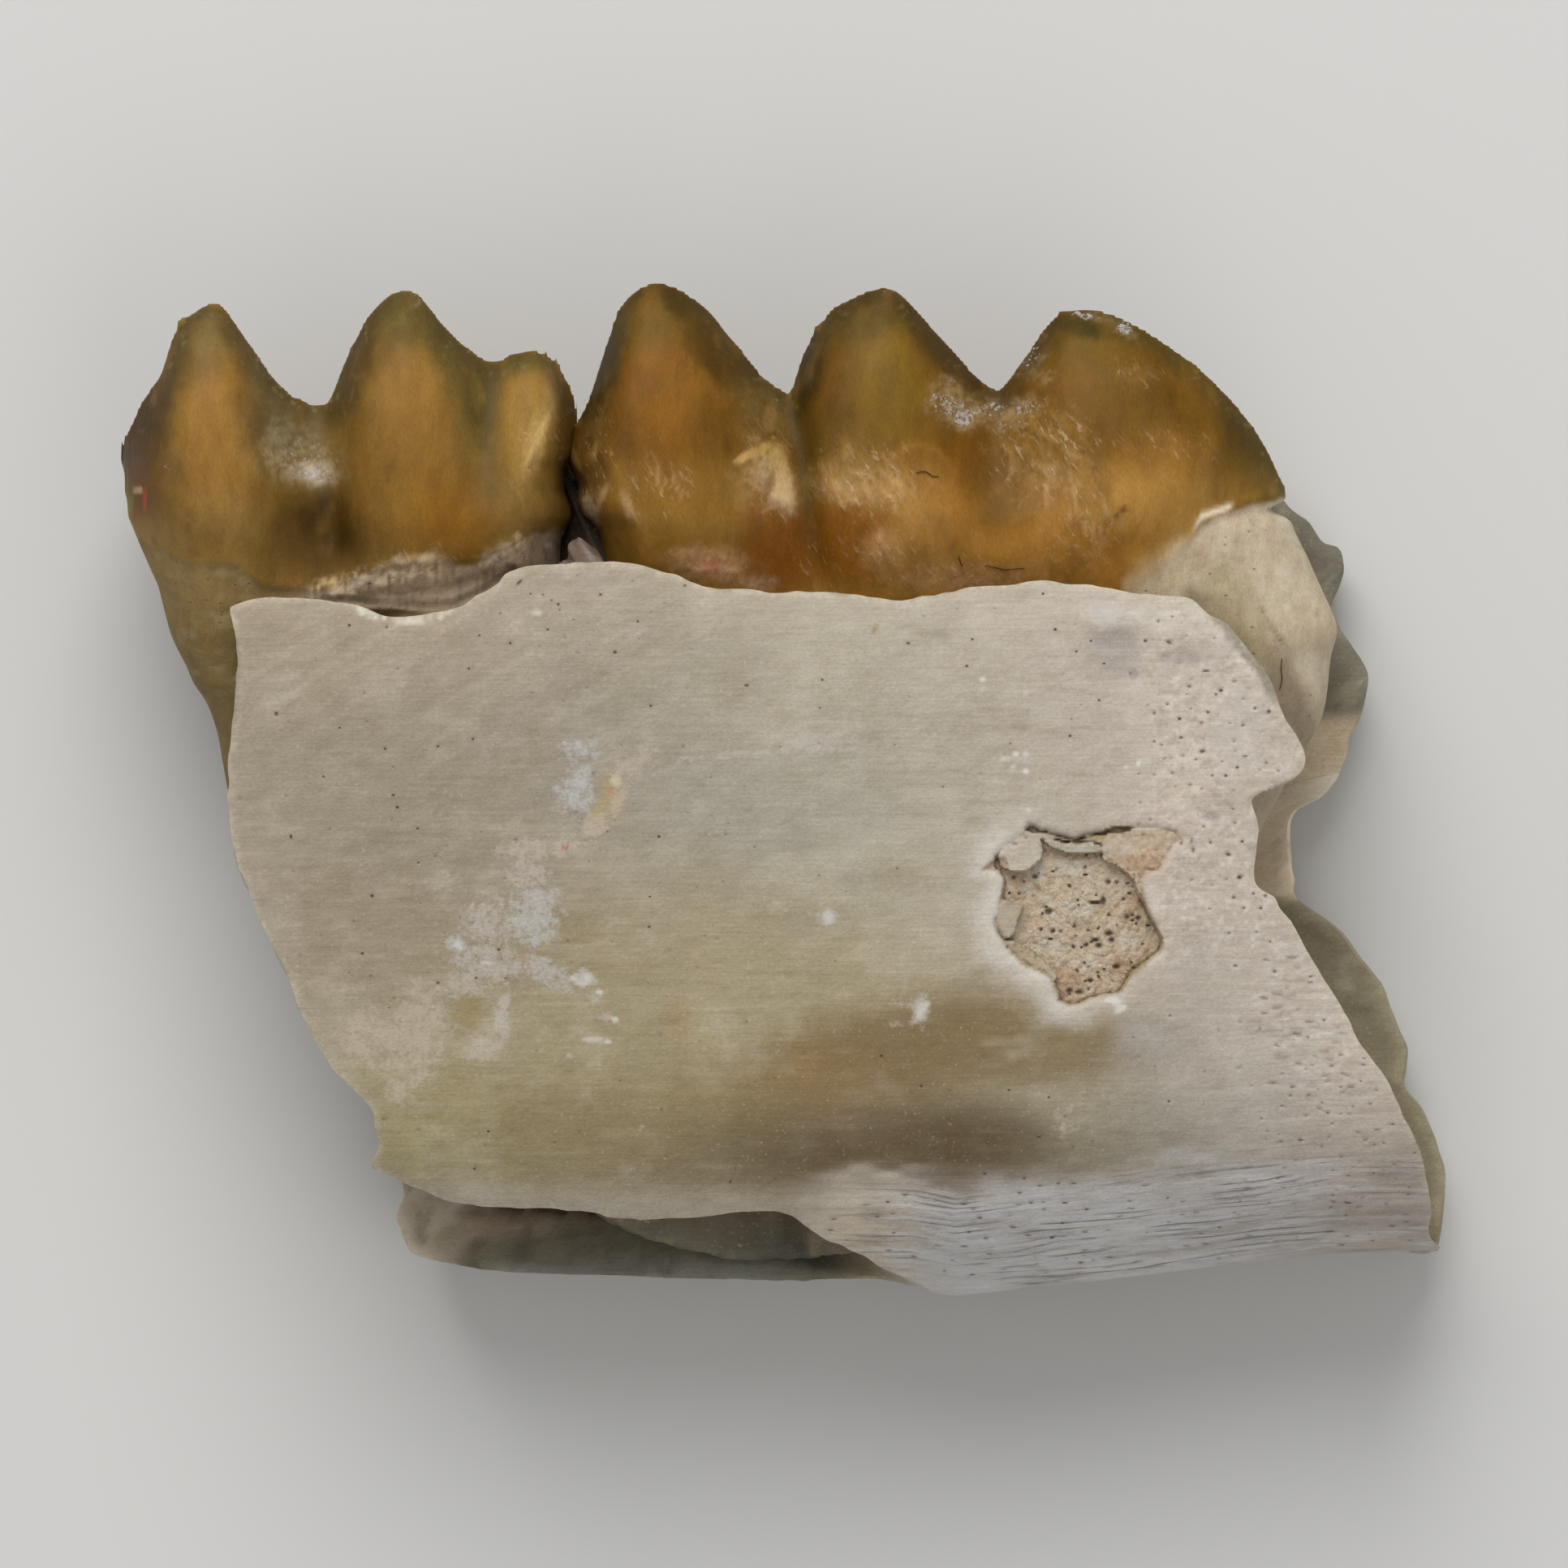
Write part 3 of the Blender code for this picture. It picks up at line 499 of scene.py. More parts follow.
def face_height(u, v):
    """Level of the near wall's outer face in mm, without pores and without the window."""
    x, y = mm_x(u), mm_y(v)
    z = 6.04 + 0.13 * (1 - ((u - 930) / 760.0) ** 2 - ((v - 1090) / 470.0) ** 2)
    d = (np.interp(u, *zip(*BORDER)) - v) / GRID
    t = np.clip(d / 3.0, 0, 1)
    z = z - 2.72 * (1 - np.sqrt(np.clip(1 - (1 - t) ** 2, 0, 1)))
    top = (v - np.interp(u, *zip(*RIM_TOP))) / GRID
    z = z - 0.20 * np.exp(-np.clip(top, 0, 9) / 0.45)
    z = z - 0.14 * smooth(1500, 1640, u + 0.35 * (v - 900)) * smooth(700, 950, v)
    z = z + 0.045 * noise(x / 3.1, y / 2.2, 0, 11) + 0.018 * noise(x / 1.1, y / 0.8, 0, 12) + 0.006 * fbm(x / 0.35, y / 0.28, 0, 13, 3)
    fibrous = smooth(1.95, 1.2, d) * smooth(960, 1090, u)
    right = smooth(1420, 1620, u) * smooth(1090, 1250, v) * 0.45
    lines = noise(x * 0.75 + 0.4 * noise(x, y, 0, 21), d * 9.5, 0, 14) * 0.6 + noise(x * 1.6, d * 17.0, 0, 15) * 0.4
    z = z + np.maximum(fibrous, right) * (0.014 * lines - 0.006)
    z = z + 0.022 * np.exp(-(((u - 1362) / 16) ** 2 + ((v - 756) / 13) ** 2)) * (1 + 0.6 * noise(x * 12, y * 12, 0, 16))
    pitted = smooth(1370, 1450, u) * smooth(1110, 1040, v)
    z = z + pitted * (0.024 * fbm(x * 6.5, y * 6.5, 0, 17, 3, 0.6) + 0.010 * fbm(x * 15.0, y * 17.0, 0, 18, 2, 0.6))
    chip = smooth(452, 470, u) * smooth(575, 545, u) * smooth(773, 763, v)  # a sliver split off along the top edge
    z = z - 0.10 * chip
    return z - dimples(u, v)


def in_window(u, v):
    """Depth in mm below the face for points in and round the window, and how far inside its rim they lie."""
    deep, inside = np.zeros(len(u)), np.full(len(u), -99.0)
    near = (u > 1160) & (u < 1510) & (v > 950) & (v < 1305)
    if near.any():
        pu, pv = u[near], v[near]
        wobble = 1.6 * noise(pu / 9.0, pv / 9.0, 0, 41) + 1.0 * noise(pu / 4.0, pv / 4.0, 0, 42)
        d = spread(np.stack([pu, pv], 1), curve(WINDOW, 4.0)) + wobble
        drop = smooth(-1.0, 5.0, d) * 0.62
        for outline, level in LEDGES:
            e = spread(np.stack([pu, pv], 1), curve(outline, 4.0)) + 0.8 * noise(pu / 6.0, pv / 6.0, 0, 43)
            drop = mix(drop, np.minimum(drop, level + 0.02 * noise(pu / 14.0, pv / 14.0, 0, 44)), smooth(-2.2, 2.2, e))
        here = np.stack([pu, pv], 1)
        drop = np.maximum(drop, 0.07 * smooth(-1.5, 3.0, spread(here, NOTCH)))
        drop = drop + 0.03 * smooth(-9.0, 0.0, d) * smooth(3.0, 0.0, d)
        drop = drop + 0.025 * fbm(pu / 5.0, pv / 5.0, 0, 46, 3, 0.6) * smooth(-2, 4, spread(here, SHELF)) * smooth(0, 4, d)
        for line, width, dark in CRACKS:
            drop = drop + 0.05 * dark * np.exp(-((from_line(here, line) / (width + 0.6)) ** 2)) * smooth(0.35, 0.15, drop)
        deep[near], inside[near] = drop, d
    return deep, inside


def paint_face(u, v, z, pit, window, inside, halo=0.0):
    """Colour of the near wall's outer face."""
    x, y = mm_x(u), mm_y(v)
    spot = np.stack([u, v], 1)
    p = Paint(u, v, (180, 172, 156), seed=300)
    p.lay(smooth(980, 1500, u + 0.25 * (900 - v)), (194, 184, 173), 0.85)
    p.lay(p.blob(400, 800, 170, 90, 0, 0.8, 0.3), (184, 174, 154), 0.7)
    p.lay(p.blob(430, 1010, 190, 130, -15, 0.8, 0.4), (168, 161, 142), 0.75)
    p.lay(p.blob(640, 1010, 190, 110, 0, 0.8, 0.4), (160, 154, 136), 0.7)
    p.lay(p.blob(930, 1010, 190, 110, 10, 0.8, 0.3), (167, 164, 151), 0.75)
    p.lay(p.blob(760, 860, 150, 60, -20, 0.8, 0.4), (172, 167, 150), 0.5)
    # olive and brown stains of the lower half; the darkest band along the lower border is stain together with painted
    # shade where the face curves away
    p.lay(p.blob(440, 1200, 120, 120, 30, 0.8, 0.4), (162, 152, 126), 0.6)
    p.lay(p.blob(620, 1385, 230, 85, 0, 0.75, 0.45), (150, 138, 101), 0.9)
    p.lay(p.blob(540, 1400, 110, 50, 0, 0.7, 0.4), (164, 154, 116), 0.7)
    p.lay(p.blob(740, 1230, 190, 130, 0, 0.75, 0.5), (157, 146, 113), 0.85)
    p.lay(p.blob(930, 1220, 220, 110, -8, 0.7, 0.4), (166, 155, 123), 0.85)
    p.lay(p.blob(830, 1390, 220, 90, 0, 0.7, 0.4), (146, 131, 98), 0.85)
    p.lay(p.blob(1130, 1300, 230, 75, -14, 0.85, 0.3), (142, 125, 90), 0.8)
    p.lay(p.blob(1270, 1278, 150, 46, 3, 0.8, 0.3), (144, 127, 94), 0.7)
    p.lay(p.blob(985, 1345, 120, 50, -16, 0.8, 0.3), (148, 131, 94), 0.6)
    p.lay(p.blob(1250, 1350, 190, 55, 2, 0.7, 0.4), (143, 133, 107), 0.7)
    p.lay(p.blob(1090, 1425, 180, 52, 4, 0.8, 0.15), (121, 106, 82), 0.8)
    p.lay(p.blob(1205, 1400, 75, 34, 6, 0.8, 0.15), (110, 96, 72), 0.7)
    p.lay(p.blob(1370, 1410, 150, 50, 0, 0.7, 0.5), (149, 141, 120), 0.75)
    p.lay(p.blob(890, 1455, 70, 36, 0, 0.7, 0.5), (145, 130, 106), 0.55)
    p.lay(p.blob(860, 1160, 130, 80, 0, 0.8, 0.4), (172, 162, 137), 0.5)
    p.lay(p.blob(836, 1256, 17, 21, 0, 0.85, 0.6, 0.3), (165, 130, 85), 0.5)
    p.lay(p.blob(872, 1260, 26, 95, -6, 0.8, 0.6, 0.4), (180, 167, 138), 0.5)
    p.tint(smooth(1180, 560, u + 0.15 * (v - 900)) * smooth(1290, 1170, v), (0.85, 0.80, 0.79))
    p.tint(p.blob(400, 800, 150, 90, 0, 0.8, 0.2), (0.92, 0.92, 0.91))
    p.lay(p.blob(1130, 1296, 175, 56, -9, 0.7, 0.25), (122, 98, 62), 0.75)
    p.lay(p.blob(1020, 1318, 52, 46, -20, 0.8, 0.3), (140, 112, 66), 0.35)
    p.lay(p.blob(1290, 1292, 140, 40, 4, 0.75, 0.25), (134, 117, 86), 0.7)
    # darkest band along the lower border: stain together with painted shade
    p.lay(p.blob(1100, 1425, 195, 54, 2, 0.85, 0.12), (93, 75, 45), 0.70)
    p.lay(p.blob(1200, 1398, 84, 36, 4, 0.85, 0.15), (84, 66, 38), 0.5)
    # bluish grey of the ventral band, paler edge at the lower left
    d = (np.interp(u, *zip(*BORDER)) - v) / GRID
    band = smooth(1.95, 1.15, d + 0.22 * noise(x * 0.8, y * 3, 0, 51) + 0.12 * noise(x * 2.5, y * 8, 0, 52)) * smooth(930, 1060, u)
    p.lay(band, (202, 201, 202), 0.9)
    p.lay(band * smooth(1180, 1060, u), (204, 188, 162), 0.85)
    p.lay(smooth(1500, 1700, u) * smooth(1300, 1480, v), (178, 164, 151), 0.75)
    p.tint(smooth(1430, 1560, u) * smooth(1470, 1500, v), (0.90, 0.90, 0.91))
    p.lay(smooth(1450, 1487, v) * smooth(1000, 900, u), (186, 178, 162), 0.75)
    p.lay(p.blob(1415, 1280, 36, 26, 0, 0.8, 0.4), (172, 171, 167), 0.65)
    p.lay(p.blob(1240, 1578, 36, 7, -4, 0.6, 0.6, 0.5) * smooth(5.0, 5.4, z), (70, 62, 56), 0.7)
    p.lay(p.blob(1435, 1560, 32, 6, -5, 0.6, 0.6, 0.5) * smooth(5.0, 5.4, z), (74, 66, 60), 0.65)
    # fibres in the band: light crests and dark furrows
    lines = noise(x * 0.75 + 0.4 * noise(x, y, 0, 21), d * 9.5, 0, 14) * 0.6 + noise(x * 1.6, d * 17.0, 0, 15) * 0.4
    fibrous = smooth(1.95, 1.2, d) * smooth(960, 1090, u)
    p.lay(fibrous * smooth(0.0, -0.8, lines), (136, 128, 124), 0.42)
    p.lay(fibrous * smooth(0.1, 0.7, lines), (214, 212, 213), 0.5)
    level = 1 - smooth(1080, 860, v) * smooth(1080, 860, u)
    streak = noise(x * 0.9, y * 8.0, 0, 61) * 0.55 + noise(x * 2.2, y * 19.0, 0, 62) * 0.45
    # mask that keeps the pale streaks and mottling off the dark band of stain and painted shade
    clear_of_stain_and_shade = 1 - 0.8 * p.blob(1110, 1415, 250, 76, 2, 0.85, 0.1)
    p.lay(smooth(0.2, 0.8, streak) * level * clear_of_stain_and_shade, (196, 188, 168), 0.22)
    p.lay(smooth(-0.2, -0.8, streak) * level, (120, 108, 84), 0.20)
    along, across = x * 0.87 + y * 0.5, -x * 0.5 + y * 0.87
    streak = noise(along * 1.0, across * 7.0, 0, 67) * 0.5 + noise(along * 2.4, across * 16.0, 0, 68) * 0.5
    p.lay(smooth(0.15, 0.7, streak) * (1 - level), (198, 190, 172), 0.24)
    p.lay(smooth(-0.15, -0.7, streak) * (1 - level), (138, 130, 108), 0.24)
    # pale right end and pitted patch
    p.lay(p.blob(1500, 900, 115, 150, 10, 0.35, 0.35), (205, 195, 187), 0.75)
    p.lay(p.blob(1560, 1010, 60, 110, 0, 0.5, 0.4), (202, 192, 184), 0.6)
    p.lay(p.blob(1430, 1120, 80, 130, 0, 0.7, 0.4), (199, 188, 178), 0.6)
    p.lay(p.blob(1450, 768, 52, 15, 8, 0.6, 0.7, 0.6), (217, 211, 204), 0.75)
    p.lay(p.blob(1376, 796, 32, 34, 20, 0.45, 0.5), (164, 156, 150), 0.7)
    rubbly = smooth(1390, 1440, u) * smooth(1240, 1130, v)
    p.lay(rubbly * smooth(0.05, 0.45, fbm(u / 8.0, v / 6.5, 0, 69, 4, 0.7)), (222, 216, 208), 0.62)
    p.lay(rubbly * smooth(-0.05, -0.45, fbm(u / 10.0, v / 7.5, 0, 70, 4, 0.7)), (172, 160, 147), 0.5)
    p.lay(p.blob(1372, 756, 34, 16, 10, 0.7, 0.8, 0.6), (222, 216, 206), 0.7)
    p.tint(smooth(1380, 1440, u) * smooth(1120, 1040, v), (0.97, 0.96, 0.93))
    p.lay(p.blob(1460, 800, 30, 22, 0, 0.5, 0.5), (168, 158, 148), 0.5)
    mottle = fbm(x * 1.3, y * 1.3, 0, 63, 4, 0.6)
    p.lay(smooth(0.1, 0.6, mottle) * clear_of_stain_and_shade, (201, 193, 178), 0.20)
    p.lay(smooth(-0.1, -0.6, mottle), (137, 125, 102), 0.17)
    p.lay(p.blob(1500, 1345, 110, 130, -8, 0.8, 0.3), (166, 162, 156), 0.45)
    dashes = noise(u / 15.0 + 0.2 * v / 3.4, v / 3.6, 0, 59) * 0.6 + noise(u / 8.0, v / 2.4, 0, 60) * 0.4
    zone = p.blob(1625, 1262, 80, 74, 40, 0.6, 0.4)
    p.lay(zone * smooth(0.15, 0.6, dashes), (222, 214, 206), 0.5)
    p.lay(zone * smooth(-0.2, -0.65, dashes), (142, 116, 96), 0.55)
    # halo of the window
    p.lay(smooth(-46, -5, inside + 5 * noise(u / 24.0, v / 24.0, 0, 77)) * smooth(1380, 1250, u + 0.4 * (1130 - v)), (210, 206, 198), 0.84)
    p.lay(smooth(-26, -3, inside) * smooth(1300, 1380, u), (202, 190, 178), 0.6)
    # chalky band running down to the left: whiteness and warmth, cut to a ragged edge in the material
    chalk, warm = np.zeros(len(u)), np.zeros(len(u))
    for cu, cv, ru, rv, turn, tone, strength in (
        (720, 922, 26, 11, 0, (200, 204, 206), 0.75), (713, 977, 20, 27, 10, (203, 203, 202), 0.9),
        (785, 936, 32, 10, -25, (198, 191, 176), 0.75), (765, 965, 18, 30, 20, (187, 180, 164), 0.5),
        (733, 1018, 17, 12, -30, (193, 180, 138), 0.85), (758, 990, 10, 22, 12, (193, 180, 138), 0.7),
        (700, 1040, 26, 12, -25, (198, 186, 166), 0.7), (652, 1046, 30, 13, 0, (199, 188, 178), 0.7),
        (655, 1078, 30, 24, 20, (192, 182, 174), 0.65), (655, 1130, 27, 36, 15, (186, 188, 184), 0.9),
        (606, 1140, 30, 34, 30, (188, 184, 175), 0.75), (563, 1163, 13, 10, 0, (212, 212, 208), 0.9),
        (600, 1188, 46, 20, 0, (188, 184, 176), 0.8), (668, 1196, 36, 14, 25, (194, 191, 186), 0.8),
        (718, 1205, 14, 10, 30, (219, 217, 213), 0.95), (728, 1222, 8, 14, -30, (210, 207, 200), 0.7),
        (572, 1218, 26, 22, 0, (186, 181, 170), 0.75), (620, 1252, 9, 26, 0, (198, 194, 184), 0.8),
        (596, 1290, 24, 14, -10, (190, 186, 172), 0.75), (516, 1272, 34, 52, 5, (192, 180, 166), 0.8),
        (500, 1326, 26, 30, 0, (190, 178, 160), 0.7), (455, 1278, 26, 33, -20, (190, 179, 164), 0.75),
        (747, 1253, 8, 5, 0, (208, 203, 190), 0.85), (731, 1281, 14, 4, 0, (204, 198, 180), 0.8), (702, 1301, 5, 3, 0, (204, 198, 180), 0.7),
        (1021, 1130, 11, 9, 0, (203, 208, 196), 0.85), (1134, 1245, 9, 17, 5, (209, 207, 198), 0.85), (1118, 1238, 16, 5, 0, (200, 196, 183), 0.7),
        (1105, 1262, 22, 4, -12, (192, 184, 164), 0.6), (1005, 916, 40, 12, -5, (192, 188, 178), 0.6), (900, 932, 80, 3.5, -3, (184, 180, 168), 0.6),
        (1310, 1385, 12, 20, 10, (172, 164, 148), 0.5),
        (1362, 757, 20, 14, 20, (214, 210, 204), 1.0), (1400, 752, 26, 9, 10, (212, 206, 198), 0.6), (1440, 770, 30, 14, 0, (210, 205, 197), 0.5),
        (1500, 800, 26, 24, 30, (212, 206, 198), 0.5), (1530, 900, 40, 60, 0, (212, 206, 200), 0.42), (1160, 1555, 50, 16, -5, (208, 208, 210), 0.6),
        (1100, 1530, 40, 10, 0, (206, 200, 190), 0.5), (1290, 1530, 60, 12, -5, (206, 206, 210), 0.5), (790, 1390, 5, 4, 0, (196, 192, 180), 0.6), (545, 1085, 30, 10, -30, (180, 172, 158), 0.4),
    ):
        field = p.blob(cu, cv, ru * 1.32, rv * 1.32, turn, 0.7, 0.4) * (0.40 + 0.65 * strength)
        warm = np.where(field > chalk, np.clip((tone[0] - tone[2]) / 26.0, 0, 1), warm)
        chalk = np.maximum(chalk, field)
    p.lay(p.blob(578, 1247, 20, 24, 10, 0.4, 0.4), (150, 134, 96), 0.8)
    p.lay(p.blob(752, 982, 16, 26, 14, 0.8, 0.6, 0.4), (184, 160, 108), 0.6)
    p.lay(p.blob(736, 1004, 12, 8, -20, 0.7, 0.6, 0.4), (196, 180, 130), 0.5)
    p.lay(p.blob(760, 962, 7, 8, 0, 0.6, 0.5), (214, 204, 172), 0.7)
    p.lay(p.blob(752, 976, 6, 5, 0, 0.6, 0.5), (186, 142, 116), 0.5)
    chalk = chalk * (1 - 0.7 * p.blob(744, 976, 11, 20, 12, 0.6, 0.5))
    for su, sv, ra, rb, turn in ((724, 1204, 6, 6, 30), (716, 1211, 7, 3, 10), (706, 1206, 4, 3, 0), (564, 1163, 4, 5, 0), (569, 1168, 3, 3, 0), (738, 1222, 3, 4, -30), (758, 1256, 5, 3, 0), (748, 1283, 5, 2.4, 0),
                                 (1134, 1245, 6, 12, 5), (1021, 1130, 8, 6, 0), (731, 1281, 11, 2.6, 0), (1140, 1240, 4, 9, 0), (600, 1186, 6, 3, 0),
                                 (662, 755, 6, 3.4, -15), (1372, 1233, 12, 5, 12), (1380, 1243, 8, 4, -30)):
        p.lay(p.blob(su, sv, ra, rb, turn, 0.45, 0.5), (219, 217, 211), 0.8)
    chalk = chalk * (1 - 0.9 * p.blob(578, 1247, 17, 20, 10, 0.4, 0.4))
    # Painted glints: small bright sparkles laid as white dots.
    for su, sv, sr in ((1207, 826, 2), (1212, 838, 2.4), (1209, 846, 2), (1214, 856, 1.8), (1206, 852, 1.6), (1234, 934, 1.6), (1242, 932, 2), (1250, 930, 2.2),
                       (1250, 947, 3), (1256, 953, 2.6), (1263, 950, 2.4), (1246, 952, 1.8), (1270, 944, 1.8), (1251, 997, 2), (1268, 997, 2.6), (1403, 940, 2.6),
                       (1386, 945, 1.6), (1262, 853, 1.6), (1263, 930, 1.5), (1231, 941, 1.4)):  # painted glints: small bright sparkles
        p.lay(p.blob(su, sv, sr * 0.95, sr * 0.95, 0, 0.4, 0.1), (240, 238, 232), 0.8)
    p.lay(smooth(0.003, 0.02, dimples(u, v)), (158, 148, 146), 0.5)
    p.lay(p.blob(648, 1182, 12, 14, 0, 0.6, 0.6), (168, 142, 120), 0.45)
    p.lay(p.blob(696, 1043, 4.6, 4.2, 0, 0.3, 0.1), (166, 74, 58), 0.95)
    p.lay(p.blob(695, 1043, 2.0, 2.2, 0, 0.4, 0.0), (84, 42, 36), 0.95)
    p.lay(p.blob(1078, 775, 4.5, 3.6, 0, 0.5, 0.3), (150, 118, 72), 0.7)
    lip = smooth(9, 3, from_line(spot, [(443, 750), (460, 757), (485, 764), (510, 763), (535, 759), (551, 754)]))
    p.lay(lip * smooth(-0.5, 0.3, noise(u / 3.6, v / 14.0, 0, 65)), (224, 217, 205), 0.85)
    # rim stain, ledges and sandy wall of the window
    ring = smooth(-4.0, 1.0, inside)
    p.lay(ring * smooth(0.05, 0.25, window), (190, 170, 142), 0.8)
    # painted shade: the window's wall is laid darker brown deeper down
    p.lay(ring * smooth(0.25, 0.45, window), (156, 132, 102), 0.65)
    plate = ring * smooth(0.17, 0.10, window)
    p.lay(plate, (182, 172, 154), 0.6)
    p.lay(plate * smooth(0.1, 0.5, fbm(u / 6.0, v / 5.0, 0, 45, 3, 0.6)), (160, 140, 112), 0.45)
    p.lay(plate * p.blob(1326, 1047, 30, 5, 2, 0.6, 0.4), (182, 178, 164), 0.6)
    p.lay(plate * p.blob(1356, 1030, 13, 5, 0, 0.6, 0.4), (158, 132, 62), 0.75)
    on_shelf = smooth(-2, 3, spread(spot, SHELF)) * ring
    p.lay(on_shelf, (190, 177, 160), 0.85)
    sandy = on_shelf * smooth(1440, 1425, u) * smooth(1046, 1052, v + 0.25 * (u - 1400))
    p.lay(sandy * smooth(-0.5, 0.0, fbm(u / 5.0, v / 4.0, 0, 49, 3, 0.6)), (186, 158, 130), 0.8)
    p.lay(on_shelf * smooth(0.1, 0.5, fbm(u / 4.5, v / 4.5, 0, 47, 3, 0.6)), (216, 203, 184), 0.55)
    p.lay(sandy * smooth(-0.2, -0.5, fbm(u / 4.0, v / 3.6, 0, 48, 3, 0.6)), (118, 92, 68), 0.7)
    p.lay(on_shelf * smooth(7, 2, from_line(spot, [(1362, 1030), (1390, 1026), (1420, 1026), (1450, 1028)])) * smooth(-0.3, 0.3, fbm(u / 7.0, v / 3.0, 0, 50, 3, 0.6)), (158, 134, 98), 0.6)
    p.lay(plate * p.blob(1312, 1033, 30, 4, 3, 0.6, 0.5), (138, 126, 98), 0.6)
    p.lay(plate * p.blob(1272, 1184, 36, 18, 35, 0.6, 0.5), (172, 154, 122), 0.75)
    p.lay(plate * p.blob(1272, 1184, 40, 20, 35, 0.6, 0.5) * smooth(0.05, 0.4, fbm(u / 5.0, v / 4.0, 0, 78, 3, 0.7)), (112, 94, 66), 0.6)
    p.lay(plate * p.blob(1262, 1050, 26, 26, 0, 0.6, 0.4), (190, 181, 165), 0.7)
    p.lay(plate * p.blob(1240, 1130, 20, 28, 0, 0.6, 0.4), (171, 157, 136), 0.7)
    p.lay(plate * p.blob(1240, 1090, 12, 20, 0, 0.6, 0.5, 0.3), (176, 142, 116), 0.6)
    p.lay(smooth(-2, 2, spread(spot, NOTCH)) * (u < 1240), (172, 138, 116), 0.65)
    brim = smooth(-7.0, -1.0, inside) * smooth(3.0, 0.5, inside) * (1 - 0.7 * p.blob(1440, 1045, 40, 34, 0, 0.6, 0.2)) * (1 - 0.8 * p.blob(1240, 1040, 34, 30, 0, 0.6, 0.2))
    p.lay(brim * smooth(0.1, 0.5, fbm(u / 14.0, v / 14.0, 0, 64, 3)), (158, 134, 98), 0.55)
    p.lay(p.blob(1412, 1176, 24, 8, -52, 0.6, 0.5, 0.4), (150, 132, 92), 0.65)
    p.lay(p.blob(1385, 1206, 26, 7, -40, 0.6, 0.5, 0.4), (160, 142, 104), 0.6)
    p.lay(p.blob(1418, 1034, 42, 9, -3, 0.6, 0.5, 0.3), (182, 160, 128), 0.5)
    p.lay(p.blob(1415, 1056, 18, 14, 0, 0.6, 0.6, 0.5), (186, 150, 118), 0.6)
    # dark breaks; down the window's right edge this darkness is partly painted shadow
    for line, width, dark in CRACKS:
        near = (u > line[0][0] - 90) & (u < line[0][0] + 120) & (v > 1000) & (v < 1210)
        if near.any():
            cut = np.zeros(len(u))
            cut[near] = np.exp(-((from_line(spot[near], line) / (width * 0.85)) ** 2)) * smooth(-0.6, 0.1, noise(u[near] / 5.0, v[near] / 5.0, 0, 66))
            p.lay(cut, (84, 64, 42), dark * 0.72)
    p.lay(halo + np.zeros(len(u)), (218, 211, 203), 0.55)
    p.lay(pit, (82, 68, 58), 0.95)
    return p.rgb, chalk * (1 - pit), warm


